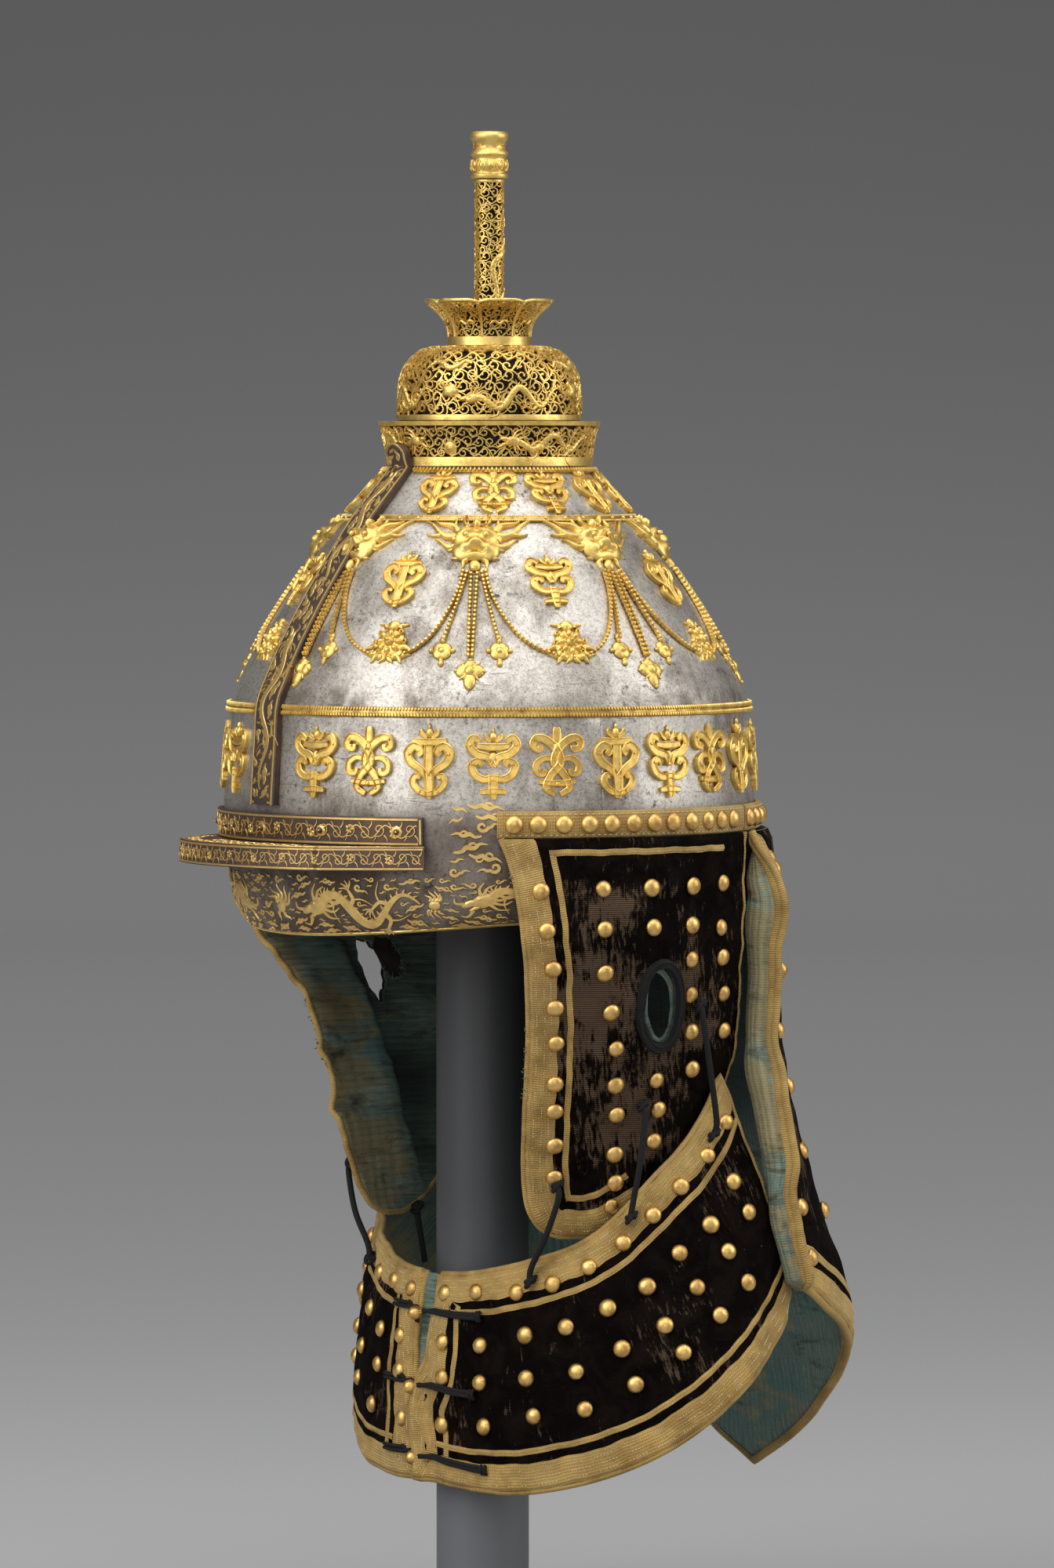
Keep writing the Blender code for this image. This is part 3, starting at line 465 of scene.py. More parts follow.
class TurnedSurface:
    # rows of height and radius, run down from the top; angles in degrees, runs and lifts in millimetres
    def __init__(self, rows, samples=10, riseAtEars=0.0):
        line = through(rows, samples)
        self.height, self.radius = line[:, 0], line[:, 1]
        self.run = np.concatenate([[0.0], np.cumsum(np.hypot(np.diff(line[:, 0]), np.diff(line[:, 1])))])
        fall = -np.gradient(self.height, self.run)
        spread = np.gradient(self.radius, self.run)
        size = np.hypot(fall, spread)
        self.outward, self.upward = fall / size, spread / size
        self.riseAtEars = riseAtEars

    def runAt(self, height):
        return float(np.interp(-height, -self.height, self.run))

    def radiusAt(self, run):
        return np.interp(run, self.run, self.radius)

    def place(self, angle, run, lift):
        angle, run, lift = np.broadcast_arrays(*(np.asarray(v, float) for v in (angle, run, lift)))
        out = np.interp(run, self.run, self.radius) + lift * np.interp(run, self.run, self.outward)
        up = np.interp(run, self.run, self.height) + lift * np.interp(run, self.run, self.upward)
        turn = np.radians(angle)
        if self.riseAtEars:
            fade = np.clip(1.0 - up / rimRiseReach, 0.0, 1.0)
            up = up + self.riseAtEars * np.sin(turn) ** 2 * fade
        points = np.stack([out * np.sin(turn), -out * np.cos(turn), up], -1) * mm
        points[..., 2] += rim
        return points

    def patch(self, angle, height):
        # a flat map about a point: x across and y up in millimetres, keeping widths
        centre = self.runAt(height)

        def place(x, y, lift):
            run = centre - np.asarray(y, float)
            return self.place(angle + np.degrees(np.asarray(x) / self.radiusAt(run)), run, lift)
        return place

    def hoop(self, angle, height):
        # the same, but straight lines up the patch stay on meridians
        centre = self.runAt(height)
        radius = float(self.radiusAt(centre))

        def place(x, y, lift):
            return self.place(angle + np.degrees(np.asarray(x, float) / radius),
                              centre - np.asarray(y, float), lift)
        return place


rimRiseAtEars, rimRiseReach = 7.8, 24.0
bowlRows = [
    (189.4, 42.9), (179.0, 51.8), (168.7, 61.1), (154.4, 71.8), (142.7, 80.0), (131.0, 87.8),
    (118.0, 95.6), (103.7, 103.0), (93.6, 107.1), (80.0, 108.1), (49.7, 109.9), (30.0, 108.1),
    (14.0, 106.0), (5.0, 102.6), (0.0, 98.8),
]
crownRows = [(194.5, 6.0), (193.6, 22.0), (191.8, 36.0), (190.6, 41.2)]
bowlSurface = TurnedSurface(bowlRows, riseAtEars=rimRiseAtEars)
combSurface = TurnedSurface([(203.0, 45.2), (195.0, 43.8)] + bowlRows)


# mesh tools

def sizeOf(vectors):
    return np.sqrt((vectors ** 2).sum(-1, keepdims=True))


def lengthsAlong(line):
    return np.concatenate([[0], np.cumsum(sizeOf(np.diff(line, axis=0)).ravel())])


def headings(route):
    # at every point of a flat route, the way it runs and the way to its left
    along = np.gradient(route, axis=0)
    along /= np.maximum(sizeOf(along), 1e-9)
    return along, np.stack([-along[:, 1], along[:, 0]], 1)


def toWorld(points):
    # from millimetres over the rim's plane to metres
    return points * mm + np.array([0, 0, rim])


class Pile:
    # gathers closed shells into one piece; every shell is turned to face outwards as it comes
    def __init__(self):
        self.points, self.cloth, self.depth, self.faces = [], [], [], []
        self.count = 0
        self.finishNames = []

    def mark(self, finish):
        if finish not in self.finishNames:
            self.finishNames.append(finish)
        return self.finishNames.index(finish)

    def add(self, points, groups, cloth=None, depth=None):
        # groups are (finish, faces as rows of point numbers)
        points = np.asarray(points, float).reshape(-1, 3)
        groups = [(finish, np.asarray(faces, int)) for finish, faces in groups if len(faces)]
        centre = points.mean(0)
        volume = 0.0
        for finish, faces in groups:
            first = points[faces[:, 0]] - centre
            for k in range(1, faces.shape[1] - 1):
                second, third = points[faces[:, k]] - centre, points[faces[:, k + 1]] - centre
                volume += np.einsum("ij,ij->", first, np.cross(second, third))
        for finish, faces in groups:
            turned = faces[:, ::-1] if volume < 0 else faces
            self.faces.append((self.mark(finish), turned + self.count))
        self.points.append(points)
        total = len(points)
        self.cloth.append(np.zeros((total, 3)) if cloth is None else np.asarray(cloth, float).reshape(-1, 3))
        self.depth.append(np.zeros(total) if depth is None else np.asarray(depth, float).reshape(-1))
        self.count += total

    def make(self, name, slot, nodes=(), sharp=38):
        mesh = bpy.data.meshes.new(name)
        faces, marks = [], []
        for mark, rows in self.faces:
            faces += rows.tolist()
            marks += [mark] * len(rows)
        mesh.from_pydata(np.concatenate(self.points).tolist(), [], faces)
        for finish in self.finishNames:
            mesh.materials.append(finishes[finish])
        mesh.polygons.foreach_set("material_index", marks)
        cloth = mesh.attributes.new("cloth", "FLOAT_VECTOR", "POINT")
        cloth.data.foreach_set("vector", np.concatenate(self.cloth).ravel())
        depth = mesh.attributes.new("depth", "FLOAT", "POINT")
        depth.data.foreach_set("value", np.concatenate(self.depth))
        mesh.shade_smooth()
        mesh.set_sharp_from_angle(angle=math.radians(sharp))
        return finishPiece(name, mesh, nodes)


def finishPiece(name, mesh, nodes=()):
    piece = bpy.data.objects.new(name, mesh)
    scene.collection.objects.link(piece)
    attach(piece, "root")
    if nodes:
        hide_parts(*nodes)
    return piece


def gridFaces(rows, columns, roundRows=False, roundColumns=False):
    # quads of a grid of points numbered along its columns
    rowSteps = rows if roundRows else rows - 1
    columnSteps = columns if roundColumns else columns - 1
    i, j = np.meshgrid(np.arange(rowSteps), np.arange(columnSteps), indexing="ij")
    a = i * columns + j
    b = ((i + 1) % rows) * columns + j
    c = ((i + 1) % rows) * columns + (j + 1) % columns
    d = i * columns + (j + 1) % columns
    return np.stack([a, b, c, d], -1).reshape(-1, 4)


def sectionRows(pairs):
    # a section given in pairs, as a row of its places across and a row of its heights
    across, out = np.array(pairs).T
    return across[None, :], out[None, :]


def loopFaces(rows, columns, finish):
    # the groups of a bar that closes on itself
    return [(finish, gridFaces(rows, columns, roundRows=True, roundColumns=True))]


def barFaces(rows, columns, finish):
    # the groups of a closed bar: rings of points along it, and a cap at each end
    caps = np.array([list(range(columns))[::-1], range((rows - 1) * columns, rows * columns)])
    return [(finish, gridFaces(rows, columns, roundColumns=True)), (finish, caps)]


# cross-sections of a stroke: share of its half width, share of its height
sections = {
    "half": [(-1.0, -0.25), (-0.86, 0.45), (-0.45, 0.9), (0.0, 1.0), (0.45, 0.9), (0.86, 0.45), (1.0, -0.25)],
    "wire": [(-1.0, -0.35), (-0.5, 0.85), (0.5, 0.85), (1.0, -0.35)],
    "inlay": [(-1.0, -0.4), (-0.75, 1.0), (0.75, 1.0), (1.0, -0.4)],
    "band": [(-1.0, -0.3), (-0.96, 0.86), (-0.76, 1.0), (-0.55, 0.64), (0.55, 0.64), (0.76, 1.0), (0.96, 0.86),
             (1.0, -0.3)],
}


def stroke(pile, place, route, width, height, section="half", finish="gilt", base=0.0):
    # a raised line that follows a flat route; width and height may change along it
    route = np.asarray(route, float)
    count = len(route)
    shape = np.array(sections[section])
    normal = headings(route)[1]
    width = np.broadcast_to(width, count)[:, None] * 0.5
    height = np.broadcast_to(height, count)[:, None]
    x = route[:, :1] + normal[:, :1] * width * shape[:, 0]
    y = route[:, 1:] + normal[:, 1:] * width * shape[:, 0]
    lift = base + height * shape[:, 1] + 0.0 * x
    points = place(x, y, lift)
    # how low each point lies in the stroke; the gilt finishes paint it darker as dirt and painted shade
    depth = np.broadcast_to(np.clip(0.6 - shape[:, 1], 0.0, 1.0), (count, len(shape)))
    pile.add(points, barFaces(count, len(shape), finish), depth=depth)


def spiral(centre, outer, inner, start, turns, count=16):
    share = np.linspace(0.0, 1.0, count)
    radius = outer + (inner - outer) * share ** 0.85
    turn = math.radians(start) + share * turns * 2 * math.pi
    return np.stack([centre[0] + radius * np.cos(turn), centre[1] + radius * np.sin(turn)], 1)


def taper(count, start=0.2, end=0.2, power=0.7):
    # full in the middle, thin at the ends
    share = np.linspace(0.0, 1.0, count)
    rise = start + (1 - start) * np.clip(share * 2, 0, 1) ** power
    fall = end + (1 - end) * np.clip((1 - share) * 2, 0, 1) ** power
    return np.minimum(rise, fall)


def boss(pile, place, centre, size, height, finish="gilt", rings=5, sectors=14, edge=None, relief=None,
         base=0.0):
    # a closed swelling plate with a polar outline: edge(turn) is its reach, relief(share, turn) its height
    turn = np.linspace(0.0, 2 * math.pi, sectors, endpoint=False)
    reach = np.ones(sectors) if edge is None else edge(turn)
    share = np.linspace(0.0, 1.0, rings + 1)[1:][:, None]
    if relief is None:
        lift, peak = np.sqrt(np.clip(1.02 - share ** 2, 0.0, 1.0)) + 0.0 * turn, 1.0
    else:
        lift, peak = relief(share, turn), float(np.mean(relief(np.zeros((1, 1)), turn)))
    sizeX, sizeY = size if isinstance(size, tuple) else (size, size)
    x = centre[0] + sizeX * share * reach * np.cos(turn)
    y = centre[1] + sizeY * share * reach * np.sin(turn)
    x = np.vstack([x, x[-1:]])
    y = np.vstack([y, y[-1:]])
    foot = base - 0.25
    lifts = np.vstack([base + height * lift, np.full((1, sectors), foot)])
    ring = place(x, y, lifts).reshape(-1, 3)
    ends = place(np.array([centre[0]] * 2), np.array([centre[1]] * 2), np.array([base + height * peak, foot]))
    points = np.vstack([ring, ends])
    total = len(ring)
    step = np.arange(sectors)
    after = (step + 1) % sectors
    last = rings * sectors
    top = np.stack([np.full(sectors, total), after, step], 1)
    bottom = np.stack([np.full(sectors, total + 1), last + step, last + after], 1)
    quads = gridFaces(rings + 1, sectors, roundColumns=True)
    # how low each point lies; the gilt finishes paint it darker as dirt and painted shade
    depth = np.concatenate([np.clip(1.0 - lifts.ravel() / max(height, 1e-6), 0, 1) * 0.9, [0.0, 1.0]])
    pile.add(points, [(finish, quads[:, ::-1]), (finish, top[:, ::-1]), (finish, bottom[:, ::-1])], depth=depth)


def flatMap(place, x=0.0, y=0.0, turn=0.0, scale=1.0, flip=1.0):
    # the same surface with its flat coordinates moved, turned, scaled or mirrored
    cos, sin = math.cos(math.radians(turn)), math.sin(math.radians(turn))

    def mapped(u, v, lift):
        u, v = np.asarray(u, float) * scale * flip, np.asarray(v, float) * scale
        return place(x + u * cos - v * sin, y + u * sin + v * cos, lift)
    return mapped


def handed(place, hand):
    # the same surface, its left and right changed over when hand is -1
    def mapped(u, v, lift):
        return place(u, np.asarray(v) * hand, lift)
    return mapped


def tube(pile, points, radius, finish, sides=10, closedRound=False):
    # a round tube along a 3-D route; radius may change along it
    points = np.asarray(points, float)
    count = len(points)
    if closedRound:
        along = np.roll(points, -1, 0) - np.roll(points, 1, 0)
    else:
        along = np.gradient(points, axis=0)
    along /= sizeOf(along)
    side = np.zeros_like(points)
    guide = np.array([0.0, 0.0, 1.0]) if abs(along[0][2]) < 0.9 else np.array([1.0, 0.0, 0.0])
    for k in range(count):
        guide = guide - along[k] * guide.dot(along[k])
        guide /= np.linalg.norm(guide)
        side[k] = guide
    other = np.cross(along, side)
    turn = np.linspace(0.0, 2 * math.pi, sides, endpoint=False)
    radius = np.broadcast_to(radius, count)[:, None, None]
    ring = (points[:, None] + radius * (side[:, None] * np.cos(turn)[:, None]
                                        + other[:, None] * np.sin(turn)[:, None]))
    length = lengthsAlong(points) / mm
    cloth = np.stack(np.broadcast_arrays(turn[None, :] / math.pi, length[:, None], np.zeros((1, 1))), -1)
    faces = loopFaces if closedRound else barFaces
    pile.add(ring, faces(count, sides, finish), cloth=cloth)


def lathe(pile, rows, finish="gilt", columns=120, aside=(0.0, 0.0)):
    # a solid turned from a closed outline of height and radius
    rows = np.asarray(rows, float)
    turn = np.radians(np.linspace(0.0, 360.0, columns, endpoint=False))
    radius, height = rows[:, 1:], rows[:, :1]
    points = np.stack([aside[0] + radius * np.sin(turn), aside[1] - radius * np.cos(turn), height + 0 * turn], -1)
    pile.add(toWorld(points), loopFaces(len(rows), columns, finish))


# small shapes sown by Geometry Nodes on points and along paths

def sowTree(alongPaths):
    # one shape on every point, or at a spacing along every path; "out" and "along" turn it
    tree = bpy.data.node_groups.new("sowAlongPaths" if alongPaths else "sowOnPoints", "GeometryNodeTree")
    face = tree.interface
    face.new_socket("Places", in_out="INPUT", socket_type="NodeSocketGeometry")
    face.new_socket("Shape", in_out="INPUT", socket_type="NodeSocketObject")
    face.new_socket("Finish", in_out="INPUT", socket_type="NodeSocketMaterial")
    face.new_socket("Spacing", in_out="INPUT", socket_type="NodeSocketFloat")
    face.new_socket("Geometry", in_out="OUTPUT", socket_type="NodeSocketGeometry")

    def node(kind, settings=None, sockets=None):
        made = tree.nodes.new(kind)
        for name, value in (settings or {}).items():
            setattr(made, name, value)
        for name, value in (sockets or {}).items():
            if isinstance(value, bpy.types.NodeSocket):
                tree.links.new(value, made.inputs[name])
            else:
                made.inputs[name].default_value = value
        return made

    def named(name, kind):
        return node("GeometryNodeInputNamedAttribute", {"data_type": kind}, {"Name": name}).outputs[0]

    given = node("NodeGroupInput").outputs
    out, size = named("out", "FLOAT_VECTOR"), named("size", "FLOAT")
    if alongPaths:
        curve = node("GeometryNodeMeshToCurve", None, {"Mesh": given["Places"]}).outputs[0]
        places = node("GeometryNodeResampleCurve", {"mode": "LENGTH"},
                      {"Curve": curve, "Length": given["Spacing"]}).outputs[0]
        along = node("GeometryNodeInputTangent").outputs[0]
    else:
        places = given["Places"]
        along = named("along", "FLOAT_VECTOR")
    turnTo = node("FunctionNodeAxesToRotation", {"primary_axis": "Z", "secondary_axis": "X"},
                  {"Primary Axis": out, "Secondary Axis": along}).outputs[0]
    shape = node("GeometryNodeObjectInfo", None, {"Object": given["Shape"]}).outputs["Geometry"]
    sown = node("GeometryNodeInstanceOnPoints", None,
                {"Points": places, "Instance": shape, "Rotation": turnTo, "Scale": size}).outputs[0]
    real = node("GeometryNodeRealizeInstances", None, {"Geometry": sown}).outputs[0]
    done = node("GeometryNodeSetMaterial", None, {"Geometry": real, "Material": given["Finish"]}).outputs[0]
    node("NodeGroupOutput", None, {"Geometry": done})
    return tree


sowTrees = {}


def sow(name, shape, finish, paths, spacing=None, size=1.0):
    # paths are (points, outward directions, directions along or None, sizes if not the common one);
    # a plain mesh comes back
    alongPaths = spacing is not None
    if alongPaths not in sowTrees:
        sowTrees[alongPaths] = sowTree(alongPaths)
    tree = sowTrees[alongPaths]
    points = np.concatenate([np.asarray(p[0], float).reshape(-1, 3) for p in paths])

    def spread(part):
        # a direction for every point, where one may serve a whole path
        return np.concatenate([np.broadcast_to(np.asarray(p[part], float), np.shape(p[0])).reshape(-1, 3)
                               for p in paths])

    edges, start = [], 0
    for path in paths:
        count = len(np.asarray(path[0]).reshape(-1, 3))
        if alongPaths:
            edges += [(start + k, start + k + 1) for k in range(count - 1)]
        start += count
    mesh = bpy.data.meshes.new(name)
    mesh.from_pydata(points.tolist(), edges, [])
    mesh.attributes.new("out", "FLOAT_VECTOR", "POINT").data.foreach_set("vector", spread(1).ravel())
    sizes = np.concatenate([np.broadcast_to(p[3] if len(p) > 3 else size, len(np.asarray(p[0]).reshape(-1, 3)))
                            for p in paths])
    mesh.attributes.new("size", "FLOAT", "POINT").data.foreach_set("value", sizes.astype(np.float32))
    if not alongPaths:
        mesh.attributes.new("along", "FLOAT_VECTOR", "POINT").data.foreach_set("vector", spread(2).ravel())
    holder = bpy.data.objects.new(name + "Places", mesh)
    scene.collection.objects.link(holder)
    nodes = holder.modifiers.new("sow", "NODES")
    nodes.node_group = tree
    values = {"Shape": shape, "Finish": finishes[finish], "Spacing": spacing or 0.0}
    for item in tree.interface.items_tree:
        if item.in_out == "INPUT" and item.name in values:
            nodes[item.identifier] = values[item.name]
    bpy.context.view_layer.update()
    grown = holder.evaluated_get(bpy.context.evaluated_depsgraph_get())
    made = bpy.data.meshes.new_from_object(grown)
    made.name = name
    bpy.data.objects.remove(holder)
    return made


def seedShape(name, rings, sides=5):
    # a small shape to sow: rings of (half length, half width, height) from its foot up, joined and capped
    turn = np.linspace(0.0, 2 * math.pi, sides, endpoint=False)
    rows = [np.stack([a * np.cos(turn), b * np.sin(turn), np.full(sides, h)], 1) for a, b, h in rings]
    faces = gridFaces(len(rows), sides, roundColumns=True).tolist()
    faces.append(list(range(sides))[::-1])
    faces.append([(len(rows) - 1) * sides + k for k in range(sides)])
    mesh = bpy.data.meshes.new(name)
    mesh.from_pydata((np.concatenate(rows) * mm).tolist(), [], faces)
    fixed = bmesh.new()
    fixed.from_mesh(mesh)
    bmesh.ops.recalc_face_normals(fixed, faces=fixed.faces)
    fixed.to_mesh(mesh)
    fixed.free()
    mesh.shade_smooth()
    shape = bpy.data.objects.new(name, mesh)
    scene.collection.objects.link(shape)
    shapes[name] = shape


shapes = {}


def makeShapes():
    seedShape("rivet", [(0.78, 0.78, -0.3), (0.76, 0.76, 0.25), (0.5, 0.5, 0.55), (0.18, 0.18, 0.68)])
    seedShape("ropeStrand", [(0.46, 0.80, -0.3), (0.56, 1.0, 0.3), (0.28, 0.6, 0.85)])
    seedShape("ropeBead", [(0.48, 0.44, -0.2), (0.60, 0.58, 0.35), (0.30, 0.28, 0.82)])
    seedShape("stitch", [(0.95, 0.24, -0.12), (0.70, 0.18, 0.22)], 4)
    dome = [(3.2, -0.5), (3.72, 0.2), (3.6, 0.85), (3.1, 1.6), (2.2, 2.25), (1.1, 2.62), (0.25, 2.7)]
    seedShape("stud", [(radius, radius, height) for radius, height in dome], 16)


def dropShapes():
    for shape in shapes.values():
        bpy.data.objects.remove(shape)


def addMesh(pile, made, finish):
    # takes a sown mesh into a pile
    total = len(made.vertices)
    points = np.empty(total * 3)
    made.vertices.foreach_get("co", points)
    bySides = {}
    for polygon in made.polygons:
        bySides.setdefault(len(polygon.vertices), []).append(tuple(polygon.vertices))
    mark = pile.mark(finish)
    for rows in bySides.values():
        pile.faces.append((mark, np.array(rows) + pile.count))
    pile.points.append(points.reshape(-1, 3))
    pile.cloth.append(np.zeros((total, 3)))
    pile.depth.append(np.zeros(total))
    pile.count += total
    bpy.data.meshes.remove(made)


# bowl

bowl = {"columns": 168, "wall": 2.0, "seam": 80.0, "seamTop": 91.0, "seamWidth": 0.22,
        "top": 189.4, "peak": (194.7, 192.7), "rimRows": (3.0, 1.8, 1.6, 0.7, 0.0)}


def makeBowl():
    # one raised shell, thin at the rim, with a few soft dents; the rim carries a gilt line
    crown = TurnedSurface(crownRows + bowlRows, samples=7, riseAtEars=rimRiseAtEars)
    turn = np.linspace(0.0, 360.0, bowl["columns"], endpoint=False)
    seam = np.argmin(abs(turn - bowl["seam"]))
    turn[seam] = bowl["seam"]
    turn[seam - 1], turn[seam + 1] = bowl["seam"] - bowl["seamWidth"], bowl["seam"] + bowl["seamWidth"]
    rimRun = crown.run[-1]
    topRun, above = crown.runAt(bowl["top"]), np.array(bowl["rimRows"])
    runs = np.concatenate([np.linspace(0, topRun, 10)[:-1], np.linspace(topRun, rimRun - above[0], 58),
                           rimRun - above[1:]])[:, None]
    height = np.interp(runs, crown.run, crown.height)
    a = np.radians(turn)[None, :]
    dents = (0.16 * np.sin(3 * a + 0.05 * runs) * np.sin(0.045 * runs + 2 * a)
             + 0.10 * np.sin(7 * a + 1.3 - 0.06 * runs) * np.sin(0.11 * runs)
             + 0.05 * np.sin(17 * a + 0.2 * runs) * np.sin(0.23 * runs + 5 * a))
    dents = dents * np.clip((height - 4.0) / 12.0, 0, 1)
    groove = np.where((np.arange(len(turn)) == seam)[None, :] & (height < bowl["seamTop"]), -0.35, 0.0)
    edge = np.where(runs > rimRun - 1.7, 0.35, 0.0)
    edge = np.where(runs >= rimRun - 0.01, -0.2, edge)
    outer = crown.place(turn[None, :], runs, dents + groove + edge)
    inner = crown.place(turn[None, :], runs, dents - bowl["wall"])
    inner[-1] = crown.place(turn, rimRun + 0 * turn, -bowl["wall"] + 0.3)
    rows, columns = outer.shape[:2]
    pile = Pile()
    quads = gridFaces(2 * rows, columns, roundColumns=True)
    first = quads[:, 0]
    isGilt = (first >= (rows - 4) * columns) & (first < rows * columns)
    points = np.concatenate([outer, inner[::-1]]).reshape(-1, 3)
    outerTop, innerTop = len(points), len(points) + 1
    points = np.vstack([points, toWorld(np.array([[0, 0, level] for level in bowl["peak"]]))])
    step = np.arange(columns)
    after = (step + 1) % columns
    topFan = np.stack([np.full(columns, outerTop), step, after], 1)
    lastRow = (2 * rows - 1) * columns
    lowFan = np.stack([np.full(columns, innerTop), lastRow + after, lastRow + step], 1)
    pile.add(points, [("steel", quads[~isGilt]), ("gilt", quads[isGilt]),
                      ("steel", topFan), ("steel", lowFan)])
    pile.make("helmetBowl", "steel", ["bowl_left", "bowl_right"])
    print("bowl made")


# mouldings

mouldings = [
    # height of the top edge, width, how far down each rope lies, rivets round the bowl, half width of the rope
    {"name": "topMoulding", "nodes": ["top_moulding_left", "top_moulding_right"], "height": 187.9,
     "width": 3.0, "ropes": [1.5], "rivets": 0, "rope": 1.35},
    {"name": "upperMoulding", "nodes": ["upper_moulding_left", "upper_moulding_right"], "height": 168.2,
     "width": 3.2, "ropes": [0.45, 2.75], "rivets": 40, "rope": 0.62},
    {"name": "lowerMoulding", "nodes": ["lower_moulding_left", "lower_moulding_right"], "height": 90.0,
     "width": 4.4, "ropes": [1.0, 3.4], "rivets": 0, "rope": 1.05},
]
combHalf = 8.0
strip = {"thick": 0.9, "base": 0.15, "lift": 0.75, "pitch": 1.28}      # the last two are the rope's on it


def makeMoulding(kind):
    # a flat strip with twisted rope along it, in two halves that stop at the combs
    pile, paths, rivets = Pile(), [], []
    run = bowlSurface.runAt(kind["height"])
    radius = float(bowlSurface.radiusAt(run))
    clear = math.degrees((combHalf + 0.6) / radius)
    for start in (0.0, 180.0):
        turn = np.linspace(start + clear, start + 180.0 - clear, 150)
        place = bowlSurface.hoop(0.0, kind["height"])
        across = np.radians(turn) * radius
        middle = np.stack([across, across * 0 + 0.5 * kind["width"]], 1)
        # the strip under the rope is darker gold, painted shade where it shows between the strands
        stroke(pile, place, middle, kind["width"], strip["thick"], "inlay", "rope", base=strip["base"])
        for up in kind["ropes"]:
            line = bowlSurface.place(turn, run - up, strip["lift"])
            outs = bowlSurface.place(turn, run - up, strip["lift"] + 1.0) - line
            paths.append((line, outs / mm, None, kind["rope"]))
        if kind["rivets"]:
            spots = np.linspace(start + clear + 2.5, start + 180.0 - clear - 2.5, kind["rivets"] // 2)
            up = kind["width"] * 0.5
            line = bowlSurface.place(spots, run - up, 1.0 if len(kind["ropes"]) > 1 else 1.6)
            outs = bowlSurface.place(spots, run - up, 2.0) - bowlSurface.place(spots, run - up, 1.0)
            rivets.append((line, outs / mm, np.array([0.0, 0.0, 1.0]), 1.15))
    addMesh(pile, sow(kind["name"] + "Rope", shapes["ropeStrand"], "rope", paths,
                      spacing=strip["pitch"] * kind["rope"] * mm), "gilt")
    if rivets:
        addMesh(pile, sow(kind["name"] + "Rivets", shapes["rivet"], "gilt", rivets), "gilt")
    pile.make(kind["name"], "gilt", kind["nodes"], sharp=60)


# gilt scroll mounts on the bowl

